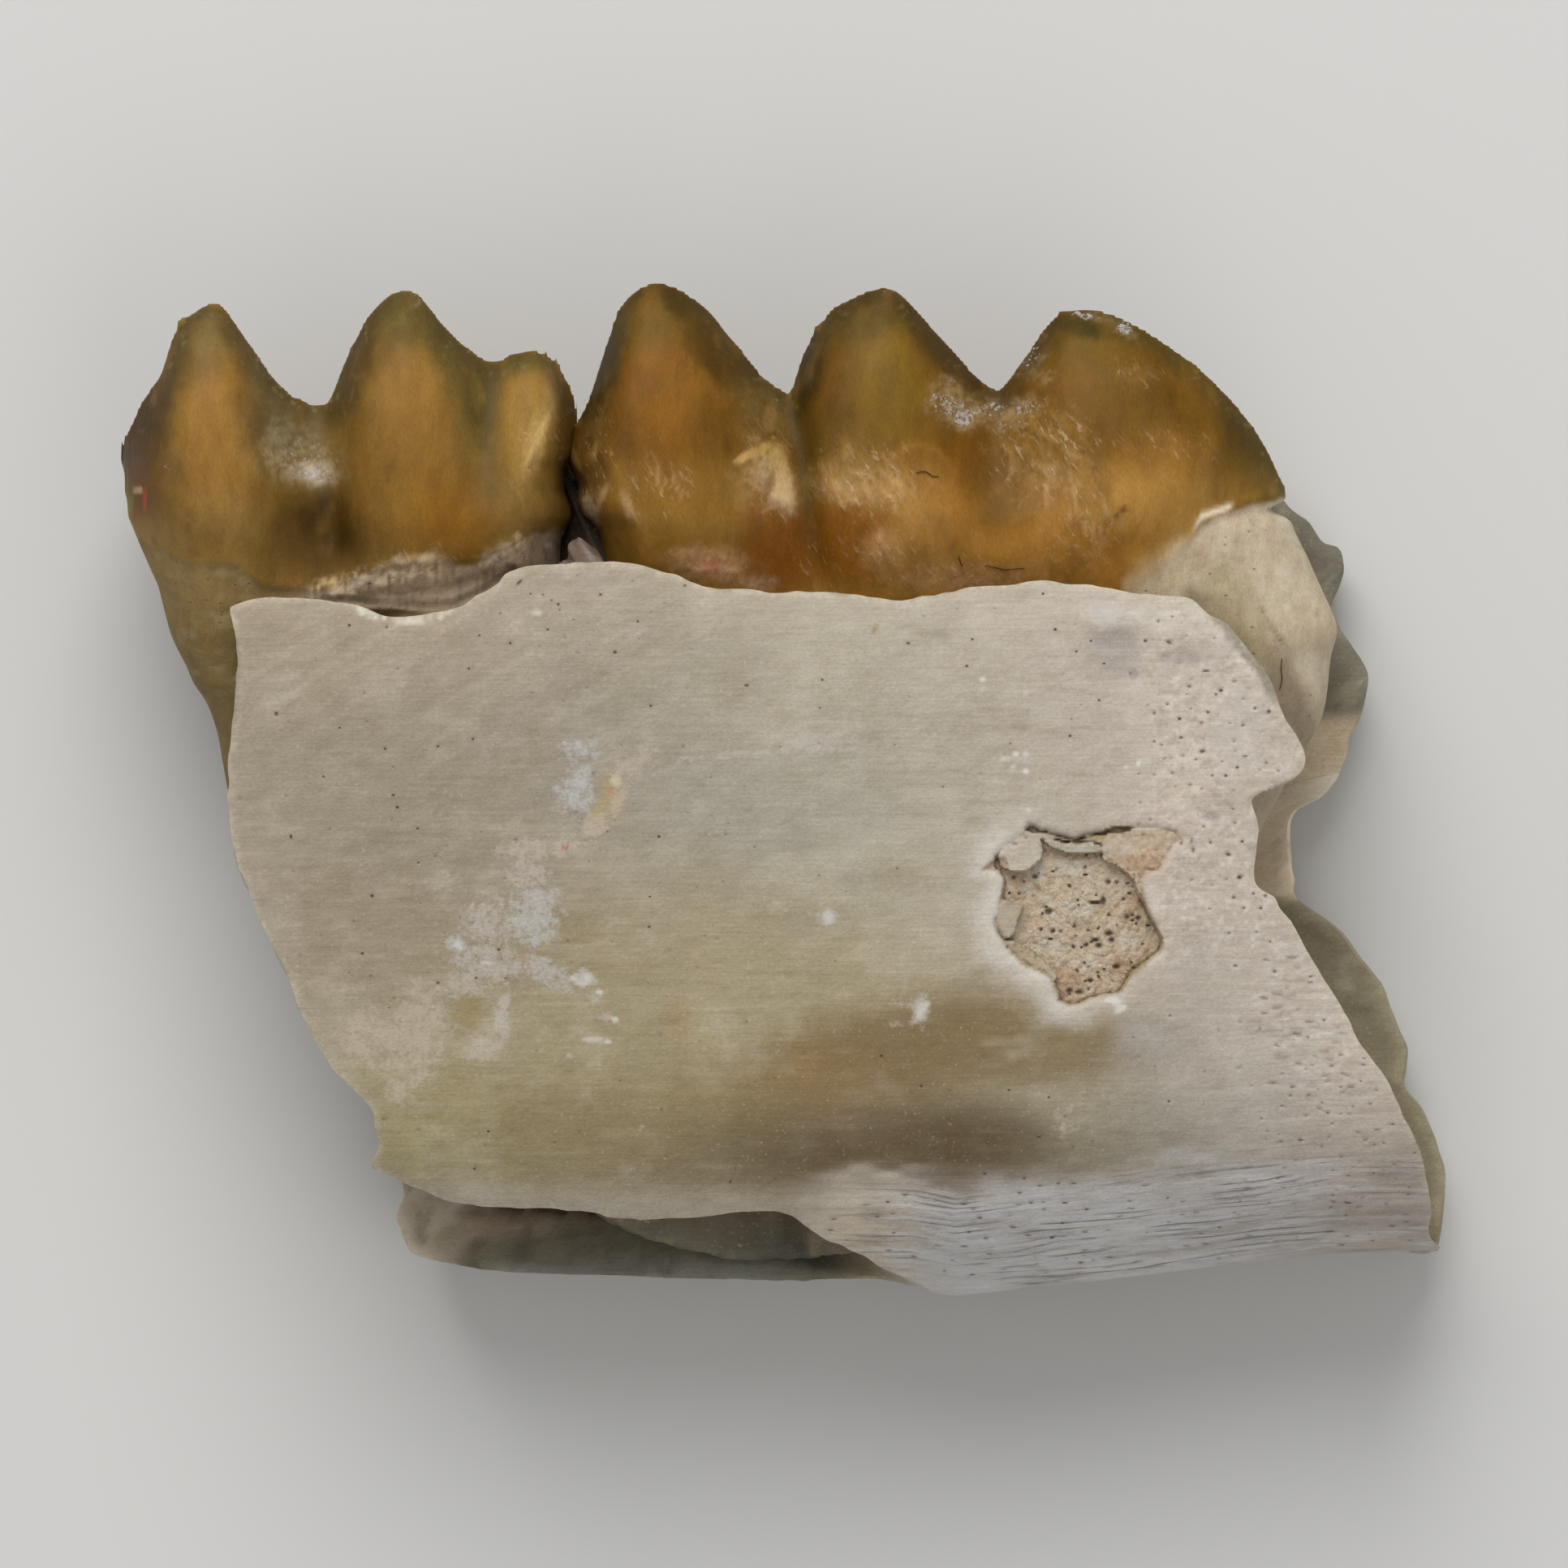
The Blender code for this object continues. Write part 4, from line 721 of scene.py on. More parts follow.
def jaw_bone():
    loop = curve(NEAR_WALL, 5.4)
    angle, near_r = polar(loop, HUB)
    fine = np.radians(np.arange(112.2, 123.8, 0.24))
    rest = angle[(angle < fine[0] - 0.004) | (angle > fine[-1] + 0.004)]
    merged = np.sort(np.concatenate([rest, fine]))
    near_r, angle = at_angle(merged, angle, near_r), merged
    m = len(angle)
    arc = np.concatenate([[0], np.cumsum(np.hypot(np.diff(near_r), near_r[:-1] * np.diff(angle)))])
    far_a, far_r = polar(curve(FAR_WALL, 4.0), HUB)
    far = at_angle(angle, far_a, far_r)
    deg = np.degrees(angle)
    deg = np.where(deg > 180, deg - 360, deg)
    join = smooth(-74.5, -66.5, deg) * smooth(-25.8, -28.5, deg)
    jag = 0.020 * noise(arc / 0.42, 0, 0, 71) + 0.012 * noise(arc / 0.19, 0, 0, 72)
    near_r = near_r + jag * (1 - 0.6 * join)
    hx, hy = float(mm_x(HUB[0])), float(mm_y(HUB[1]))
    cos, sin = np.cos(angle), np.sin(angle)

    def ring(r, z):
        return np.stack([hx + r * cos, hy + r * sin, z], 1)

    # near face
    edge = np.stack([hx + near_r * cos, hy + near_r * sin], 1)
    lo, hi = edge.min(0), edge.max(0)
    coarse, fine, finest = hexes(lo, hi, 0.078), hexes(lo, hi, 0.052), hexes(lo, hi, 0.036)

    def zone(p):
        u, v = survey(p[:, 0], p[:, 1])
        w = (u > 1205) & (u < 1468) & (v > 1000) & (v < 1252)
        f = (u > 1340) | ((v > 1425) & (u > 950)) | ((u > 540) & (u < 790) & (v > 895) & (v < 1320))
        return np.where(w, 2, np.where(f, 1, 0))

    inner = np.concatenate([p[zone(p) == k] for k, p in enumerate((coarse, fine, finest))])
    a = np.arctan2(inner[:, 1] - hy, inner[:, 0] - hx)
    r = np.hypot(inner[:, 1] - hy, inner[:, 0] - hx)
    inner = inner[r < at_angle(a % (2 * np.pi), angle, near_r) - 0.045]
    pit = np.zeros(len(inner))
    add, add_pit = [], []
    keep = np.ones(len(inner), bool)
    rimmed = np.zeros(len(inner))
    for pu, pv, pa, pb, turn, deep, dark in PORES:
        cx, cy, ra, rb = float(mm_x(pu)), float(mm_y(pv)), pa / GRID, pb / GRID
        room = at_angle(math.atan2(cy - hy, cx - hx) % (2 * math.pi), angle, near_r) - math.hypot(cx - hx, cy - hy)
        if room < ra + 0.06:
            continue
        c, s = math.cos(math.radians(turn)), math.sin(math.radians(turn))
        box = np.abs(inner[:, 0] - cx) + np.abs(inner[:, 1] - cy) < (ra + rb) * 2 + 0.1
        q = inner[box] - (cx, cy)
        e = np.hypot((q[:, 0] * c + q[:, 1] * s) / (ra * 1.25 + 0.012), (-q[:, 0] * s + q[:, 1] * c) / (rb * 1.25 + 0.012))
        keep[np.flatnonzero(box)[e < 1]] = False
        rimmed[box] = np.maximum(rimmed[box], np.clip(2.0 - e, 0, 1) * dark)
        n = 8 if ra / rb < 2 else 14
        for k in range(n):
            t = 2 * math.pi * (k + 0.5 * (n == 8)) / n
            px, py = ra * math.cos(t), rb * math.sin(t)
            add.append((cx + px * c - py * s, cy + px * s + py * c))
            add_pit.append((0.10 * dark, deep * 0.12))
            if k % 2 == 0:
                add.append((cx + (px * c - py * s) * 0.55, cy + (px * s + py * c) * 0.55))
                add_pit.append((0.85 * dark, deep * 0.85))
        add.append((cx, cy))
        add_pit.append((dark, deep))
    rimmed = np.concatenate([np.zeros(m), rimmed[keep], np.zeros(len(add))])
    inner = np.concatenate([inner[keep], np.array(add)])
    pit = np.concatenate([np.zeros(keep.sum()), [p[0] for p in add_pit]])
    sunk = np.concatenate([np.zeros(keep.sum()), [p[1] for p in add_pit]])
    tris = triangulate(edge, inner)
    flat = np.concatenate([edge, inner])
    pit, sunk = np.concatenate([np.zeros(m), pit]), np.concatenate([np.zeros(m), sunk])
    u, v = survey(flat[:, 0], flat[:, 1])
    window, inside = in_window(u, v)
    aa = np.arctan2(flat[:, 1] - hy, flat[:, 0] - hx) % (2 * np.pi)
    gap = at_angle(aa, angle, near_r) - np.hypot(flat[:, 1] - hy, flat[:, 0] - hx)
    open_edge = 1 - at_angle(aa, angle, join)
    z = face_height(u, v) - window - sunk
    z = z - open_edge * 0.035 * np.exp(-gap / 0.05) * (1 + 0.6 * noise(flat[:, 0] / 0.3, flat[:, 1] / 0.3, 0, 73))
    rimmed = rimmed * smooth(1370, 1450, u) * smooth(1500, 1250, v)
    z = z + 0.008 * rimmed
    slope = smooth(1488, 1502, u) * smooth(880, 850, v) * smooth(0.19, 0.03, gap + 0.03 * noise(u / 9.0, v / 9.0, 0, 56))
    z = z - 0.16 * slope
    near = np.concatenate([flat, z[:, None]], 1)
    face_rgb, chalk, warm = paint_face(u, v, z, pit, window, inside, rimmed)
    slope = (slope * smooth(0.1, 0.5, slope))[:, None]
    face_rgb = face_rgb * (1 - 0.75 * slope) + linear((72, 68, 53))[None] * 0.8 * slope
    crumbly = smooth(0.11, 0.02, gap) * open_edge
    for level, tint in ((smooth(0.05, 0.5, fbm(u / 5.0, v / 5.0, 0, 57, 3, 0.7)), (222, 214, 196)), (smooth(-0.1, -0.5, fbm(u / 6.0, v / 6.0, 0, 58, 3, 0.7)), (112, 98, 74))):
        w = (crumbly * level * 0.5)[:, None]
        face_rgb = face_rgb * (1 - w) + linear(tint)[None] * w
    w = (smooth(0.075, 0.015, gap) * smooth(310, 300, u) * smooth(770, 795, v) * smooth(905, 885, v) * 0.75)[:, None]
    face_rgb = face_rgb * (1 - w) + linear((74, 54, 30))[None] * w
    colour = [face_rgb]
    broken = smooth(0.16, 0.0, gap) * open_edge
    tone = linear((198, 188, 168))
    colour[0] = colour[0] * (1 - 0.45 * broken[:, None]) + tone[None] * 0.45 * broken[:, None]

    # the side: broken edge, underside, bone between the walls, inner face of the far wall
    z0 = z[:m]
    thick = 0.72 + 0.10 * noise(arc / 1.7, 0, 0, 74) + 0.05 * noise(arc / 0.5, 0, 0, 75)
    under = z0 - thick
    ur, vr = survey(edge[:, 0], edge[:, 1])
    deep = 0.75 + 0.10 * noise(arc / 0.9, 0, 0, 76)
    low_left = smooth(-164, -141, deg) * smooth(-74, -84, deg)
    deep = deep + 0.55 * low_left
    core = np.minimum(near_r, far) - deep
    # bone and matrix that stand up between the two teeth
    septum = np.interp(deg, [112.5, 113.1, 113.7, 114.4, 115.6, 116.1, 116.9, 118.6, 120.1, 121.3, 122.3, 123.4], [5.3, 6.9, 7.62, 7.72, 7.72, 7.20, 6.97, 6.84, 6.64, 6.48, 6.3, 5.3])
    septum = np.maximum(septum, core)
    rubble = np.interp(deg, [114.5, 115.2, 116.8, 118.3, 120.4, 121.4, 122.4], [5.3, 6.20, 6.48, 6.54, 6.38, 6.22, 5.3]) + 0.07 * noise(arc / 0.11, 0, 0, 100)
    rubble = np.maximum(np.where((deg > 114.5) & (deg < 122.4), rubble, 0), core)
    gap_fin = ((deg > 112.4) & (deg < 123.6)) * 1.0
    inner_far = 1.42 + 0.05 * noise(arc / 1.1, 0, 0, 77)
    far_edge = 0.78 + 0.06 * noise(arc / 0.8, 0, 0, 78)
    lip = low_left * 1.5  # the far wall's lower edge curls up towards the border
    rows = []

    def add_ring(r, z, bumpy=0.0, seed=0):
        k = len(rows)
        if bumpy:
            r = r + bumpy * noise(arc / 0.22, k * 1.7, 0, 80 + seed) + bumpy * 0.6 * noise(arc / 0.09, k * 2.3, 0, 90 + seed)
        rows.append((r, z))

    for s in (0.06, 0.2, 0.36, 0.54, 0.74, 0.92):
        add_ring(near_r - 0.012 - 0.05 * s + 0.03 * noise(arc / 0.8, s * 3, 0, 79), z0 - thick * s, 0.016, 1)
    add_ring(near_r - 0.13, under, 0.02, 2)
    add_ring(mix(near_r, core, 0.45), under + 0.03, 0.02, 3)
    add_ring(mix(near_r, core, 0.85), under - 0.04, 0.02, 4)
    for s in (0.05, 0.14, 0.23, 0.32, 0.41, 0.50, 0.59, 0.68, 0.77, 0.86, 0.94):
        zz = mix(under - 0.12, inner_far + 0.20, s)
        lump = 0.10 * fbm(arc / 0.55, zz / 0.55, 0, 101, 4, 0.6) * (1 - gap_fin)
        deep_in = np.exp(-(((zz - 2.9) / 0.85) ** 4))
        shallow_in = np.exp(-(((zz - 4.35) / 0.62) ** 4))
        r = np.maximum(mix(core, septum, deep_in), mix(core, rubble + 0.05 * noise(arc / 0.12, zz / 0.14, 0, 102), shallow_in))
        add_ring(r + lump, zz + 0.03 * noise(arc / 0.3, zz / 0.3, 0, 103), 0.008, 5)
    for s in (0.05, 0.12, 0.19, 0.26, 0.33, 0.40, 0.47, 0.54, 0.61, 0.68, 0.75, 0.82, 0.89, 0.96):
        rough = 0.03 * noise(arc / 0.6, s * 4, 0, 95) + 0.035 * fbm(arc / 0.28, mix(core, far, s) / 0.28, 0, 96, 3, 0.6)
        add_ring(mix(core, far, s), inner_far + lip * s ** 1.7 + 0.25 * (1 - s) ** 3 + rough, 0.004, 6)
    add_ring(far - 0.01, inner_far + lip - 0.05, 0.01, 7)
    for s in (0.3, 0.65):
        zz = mix(inner_far + lip - 0.05, far_edge + lip * 0.6, s)
        add_ring(far - 0.02 + 0.03 * noise(arc / 0.4, zz / 0.4, 0, 104), zz, 0.008, 8)
    n = len(rows)
    far_z0 = mix(far_edge + lip * 0.6, 2.45, join)
    band = []
    for k, (r, zz) in enumerate(rows):
        s = (k + 1) / (n + 1)
        closed_r = mix(near_r, far, s) + 0.10 * math.sin(math.pi * s)
        closed_z = mix(z0, far_z0, s)
        band.append(ring(mix(r, closed_r, join), mix(zz, closed_z, join)))

    # far face: flat patch, curved edge
    far_loop = np.stack([hx + far * cos, hy + far * sin], 1)
    sheet = hexes(far_loop.min(0), far_loop.max(0), 0.17)
    a = np.arctan2(sheet[:, 1] - hy, sheet[:, 0] - hx) % (2 * np.pi)
    r = np.hypot(sheet[:, 1] - hy, sheet[:, 0] - hx)
    sheet = sheet[r < at_angle(a, angle, far) - 0.08]
    far_tris = triangulate(far_loop, sheet)
    flat_far = np.concatenate([far_loop, sheet])
    a = np.arctan2(flat_far[:, 1] - hy, flat_far[:, 0] - hx) % (2 * np.pi)
    inset = at_angle(a, angle, far) - np.hypot(flat_far[:, 1] - hy, flat_far[:, 0] - hx)
    w = at_angle(a, angle, join)
    e0 = at_angle(a, angle, far_z0)
    t = np.clip(inset / mix(0.7 + 0.9 * at_angle(a, angle, low_left), 3.0, w), 0, 1)
    far_z = e0 * (1 - np.sqrt(np.clip(1 - (1 - t) ** 2, 0, 1)))
    far_z = np.maximum(0, far_z + 0.02 * (1 - t) * noise(flat_far[:, 0] / 0.5, flat_far[:, 1] / 0.5, 0, 99))
    far_z[:m] = far_z0
    verts = np.concatenate([near, *band, np.concatenate([flat_far, far_z[:, None]], 1)])
    first = len(near)
    rings = [np.arange(m)] + [first + k * m + np.arange(m) for k in range(n)] + [first + n * m + np.arange(m)]
    quads = np.concatenate([
        np.stack([p, q, np.roll(q, -1), np.roll(p, -1)], 1) for p, q in zip(rings, rings[1:])
    ])
    tris = np.concatenate([tris, far_tris[:, ::-1] + first + n * m])

    # colours of the side and the far face
    for k in range(n):
        bx, by, bz = band[k].T
        bu, bv = survey(bx, by)
        s = (k + 1) / (n + 1)
        p = Paint(bu, bv, (178, 166, 143), bz * 3, seed=500 + k)
        stain = fbm(bx * 2.2, by * 2.2, bz * 2.2, 110, 4, 0.6)
        p.lay(smooth(0.0, 0.6, stain), (146, 126, 96), 0.5)
        grain = noise(bx * 9, by * 9, bz * 14, 111)
        p.lay(smooth(0.35, 0.8, grain), (110, 92, 70), 0.45)
        if k >= 6:
            # Underside and bone between the walls: dark brown, partly their own colour and partly painted shade.
            p.lay(np.ones(m), (121, 101, 72), 0.65)
            # Lower left: dark brown just under the near wall's edge is painted shadow; the grey-green flake below it is
            # darker towards the middle, also painted shade.
            p.lay(low_left, (92, 74, 50), 0.7)
            p.lay(low_left * smooth(1500, 1512, bv), (112, 110, 96), 0.75)
            p.lay(low_left * smooth(860, 1000, bu) * smooth(1500, 1512, bv), (62, 66, 58), 0.8)
            lump = fbm(arc / 0.5, bz / 0.5, 0, 112, 4, 0.65)
            p.lay(smooth(0.05, 0.5, lump), (158, 140, 108), 0.5)
            p.lay(smooth(-0.1, -0.5, lump), (84, 66, 44), 0.5)
        if k >= 20:
            q, out = min(1.0, (k - 19) / 7), (k - 19) / 14.0
            p.lay(np.ones(m) * q, (160, 151, 128), 0.85)
            p.lay(low_left * q, (158, 153, 134), 0.9)
            p.lay(low_left * q * smooth(650, 560, bu) * smooth(1545, 1520, bv), (224, 206, 184), 0.85)
            p.lay(low_left * q * smooth(620, 540, bu), (226, 215, 196), 0.85)
            p.lay(low_left * q * smooth(700, 640, bu) * smooth(560, 600, bu) * smooth(1530, 1515, bv), (222, 196, 178), 0.6)
            # painted light: the flake's lower lip, which curls up towards the light, is laid paler
            p.lay(low_left * smooth(1545, 1560, bv) * smooth(560, 640, bu) * smooth(1050, 980, bu), (184, 186, 178), 0.8)
            # painted shadow: darkest under the near wall's lower corner
            p.lay(low_left * q * smooth(940, 1030, bu) * smooth(1130, 1060, bu) * smooth(1572, 1560, bv), (42, 48, 42), 0.88)
            p.lay(low_left * np.exp(-(((bv - 1510 - 3 * noise(bu / 30.0, 0, 0, 113)) / 4.0) ** 2)) * smooth(560, 620, bu) * smooth(1000, 960, bu), (176, 158, 124), 0.5)
            # painted shadow: dark brown strip just under the near wall's edge
            p.lay(low_left * smooth(1507, 1499, bv) * smooth(560, 620, bu), (84, 58, 30), 0.9)
            blotch = fbm(bu / 34.0, bv / 22.0, 0, 114, 4, 0.6)
            p.lay(low_left * q * smooth(0.05, 0.5, blotch), (192, 182, 160), 0.45)
            p.lay(low_left * q * smooth(-0.05, -0.5, blotch), (112, 106, 86), 0.45)
            right = smooth(-27, -24, deg) * smooth(45, 40, deg)
            p.lay(right * q * smooth(1110, 1140, bv), (128, 121, 99), 0.85)
            p.lay(right * smooth(1110, 1140, bv) * smooth(0.75, 1.0, out), (172, 164, 138), 0.6)
            p.lay(right * q * smooth(1115, 1095, bv) * smooth(975, 990, bv), (222, 204, 176), 0.9)
            p.lay(right * smooth(1115, 1095, bv) * smooth(985, 1000, bv) * smooth(1570, 1582, bu), (238, 222, 196), 0.8)
            p.lay(right * q * smooth(770, 730, bv), (88, 85, 76), 0.88)
            p.lay(right * q * smooth(770, 800, bv) * smooth(900, 870, bv), (102, 97, 82), 0.85)
            p.lay(right * smooth(0.8, 1.0, out) * smooth(900, 870, bv), (142, 138, 124), 0.5)
            p.lay(right * q * smooth(870, 905, bv) * smooth(1000, 985, bv), (212, 192, 164), 0.85)
            p.lay(right * smooth(945, 958, bv) * smooth(1000, 985, bv) * smooth(0.6, 0.95, out), (234, 224, 204), 0.85)
            p.lay(smooth(0.1, 0.5, stain) * q * (1 - low_left), (128, 118, 96), 0.35)
            p.lay(smooth(0.1, 0.5, -stain) * q * right, (190, 180, 156), 0.3)
        if 8 <= k < 20:
            # painted shade: the septum seen down the gap between the teeth is laid near black, for the gap's deep
            # shadow over dark matrix
            p.lay(gap_fin, (36, 24, 15), 0.93)
            high = gap_fin * smooth(3.7, 3.95, bz) * smooth(114.9, 115.6, deg) * smooth(650, 662, bv)
            p.lay(high, (126, 108, 94), 0.9)
            p.lay(high * smooth(0.0, 0.5, noise(arc / 0.12, bz / 0.14, 0, 102)), (156, 140, 138), 0.7)
            p.lay(high * smooth(0.0, -0.5, noise(arc / 0.12, bz / 0.14, 0, 102)), (84, 66, 52), 0.6)
        # painted shadow: dark brown under the near wall's lower left edge
        p.lay(smooth(-150, -140, deg) * smooth(-76, -84, deg) * (k in (5, 6, 7, 8)), (62, 42, 22), 0.75)
        joined = paint_face(bu, bv, bz, np.zeros(m), np.zeros(m), np.full(m, -99.0))[0]
        colour.append(p.rgb * (1 - join[:, None]) + joined * join[:, None])
    fu, fv = survey(flat_far[:, 0], flat_far[:, 1])
    p = Paint(fu, fv, (171, 160, 140), 0, seed=700)
    q = fbm(flat_far[:, 0] * 0.5 + 30, flat_far[:, 1] * 0.6, 0, 120, 5, 0.55)
    p.lay(smooth(0.0, 0.5, q), (140, 124, 92), 0.75)
    p.lay(smooth(-0.05, -0.5, q), (186, 177, 163), 0.6)
    q = fbm(flat_far[:, 0] * 1.8, flat_far[:, 1] * 2.3, 0, 121, 5, 0.6)
    p.lay(smooth(0.25, 0.6, q), (196, 190, 180), 0.5)
    p.lay(smooth(-0.25, -0.6, q), (118, 101, 76), 0.45)
    colour.append(p.rgb)
    colour = np.concatenate(colour)
    total = len(verts)
    vu, vv = survey(verts[:, 0], verts[:, 1])
    is_near = np.zeros(total)
    is_near[:first] = 1
    porous = is_near * np.clip(
        smooth(1370, 1450, vu) * smooth(1120, 1040, vv) + 0.7 * smooth(1400, 1600, vu) * smooth(1000, 1200, vv)
        + 0.6 * smooth(1430, 1480, vv) * smooth(960, 1090, vu) + 0.12, 0, 1)
    porous[first:] = 0.5
    border = (np.interp(vu, *zip(*BORDER)) - vv) / GRID
    fibre = np.zeros(total)
    fibre[:first] = np.maximum(
        smooth(1.75, 1.25, border[:first]) * smooth(980, 1120, u) * (1 - 0.5 * smooth(1600, 1720, u)),
        0.16 * smooth(1440, 1600, u) * smooth(1110, 1260, v))
    masks = {"chalk": chalk, "warm": warm}
    full = {key: np.concatenate([value, np.zeros(total - first)]) for key, value in masks.items()}
    return new_mesh(
        "jaw_bone_detail", verts, tris, quads,
        {"paint": colour, "porous": porous, "border": border, "fibre": fibre, **full}, sharp=48,
    )


# ---------------------------------------------------------------------------------------------------------------------
# Teeth
# ---------------------------------------------------------------------------------------------------------------------
def surface_nets(f, origin, step):
    """A closed quad mesh on the zero level of a sampled field that is negative inside."""
    inside = f < 0
    count = np.zeros(tuple(n - 1 for n in f.shape), np.uint8)
    corners = [(a, b, c) for a in (0, 1) for b in (0, 1) for c in (0, 1)]
    nx, ny, nz = f.shape
    for a, b, c in corners:
        count += inside[a:nx - 1 + a, b:ny - 1 + b, c:nz - 1 + c]
    active = (count > 0) & (count < 8)
    cells = np.argwhere(active)
    index = np.full(count.shape, -1, np.int64)
    index[active] = np.arange(len(cells))
    values = np.stack([f[cells[:, 0] + a, cells[:, 1] + b, cells[:, 2] + c] for a, b, c in corners], 1).astype(float)
    total, hits = np.zeros((len(cells), 3)), np.zeros(len(cells))
    for i, p in enumerate(corners):
        for j, q in enumerate(corners):
            if j > i and sum(abs(s - t) for s, t in zip(p, q)) == 1:
                fa, fb = values[:, i], values[:, j]
                cut = (fa < 0) != (fb < 0)
                t = np.where(cut, fa / np.where(fa == fb, 1, fa - fb), 0)
                total += np.where(cut[:, None], np.array(p) + t[:, None] * (np.array(q) - np.array(p)), 0)
                hits += cut
    verts = origin + step * (cells + total / hits[:, None])
    quads = []
    for axis in range(3):
        lo = [slice(None)] * 3
        hi = [slice(None)] * 3
        lo[axis], hi[axis] = slice(0, -1), slice(1, None)
        a, b = inside[tuple(lo)], inside[tuple(hi)]
        edge = np.argwhere(a != b)
        out = a[tuple(edge.T)]
        o1, o2 = [x for x in range(3) if x != axis]
        edge_ok = (edge[:, o1] > 0) & (edge[:, o2] > 0) & (edge[:, o1] < f.shape[o1] - 1) & (edge[:, o2] < f.shape[o2] - 1)
        edge, out = edge[edge_ok], out[edge_ok]
        ring = []
        for d1, d2 in ((-1, -1), (0, -1), (0, 0), (-1, 0)):
            e = edge.copy()
            e[:, o1] += d1
            e[:, o2] += d2
            ring.append(index[tuple(e.T)])
        quad = np.stack(ring, 1)
        flip = out if axis == 1 else ~out
        quad[flip] = quad[flip][:, ::-1]
        quads.append(quad)
    return verts, np.concatenate(quads)


def soften(verts, quads, rounds):
    """Evens a quad mesh out without shrinking it much."""
    edges = np.concatenate([quads[:, [0, 1]], quads[:, [1, 2]], quads[:, [2, 3]], quads[:, [3, 0]]])
    degree = np.bincount(edges[:, 0], minlength=len(verts)) + np.bincount(edges[:, 1], minlength=len(verts))
    for k in range(rounds * 2):
        mean = np.zeros_like(verts)
        for axis in range(3):
            mean[:, axis] = np.bincount(edges[:, 0], verts[edges[:, 1], axis], len(verts)) + np.bincount(edges[:, 1], verts[edges[:, 0], axis], len(verts))
        mean /= degree[:, None]
        verts = verts + (mean - verts) * (0.5 if k % 2 == 0 else -0.53)
    return verts


def blend_min(a, b, k):
    h = np.clip(0.5 + 0.5 * (b - a) / k, 0, 1)
    return b * (1 - h) + a * h - k * h * (1 - h)


def swell(points, by):
    """An open outline moved outwards, to the left of its run, in survey units."""
    d = np.gradient(points, axis=0)
    n = np.stack([d[:, 1], -d[:, 0]], 1)
    return points + by * n / np.maximum(np.linalg.norm(n, axis=1), 1e-9)[:, None]


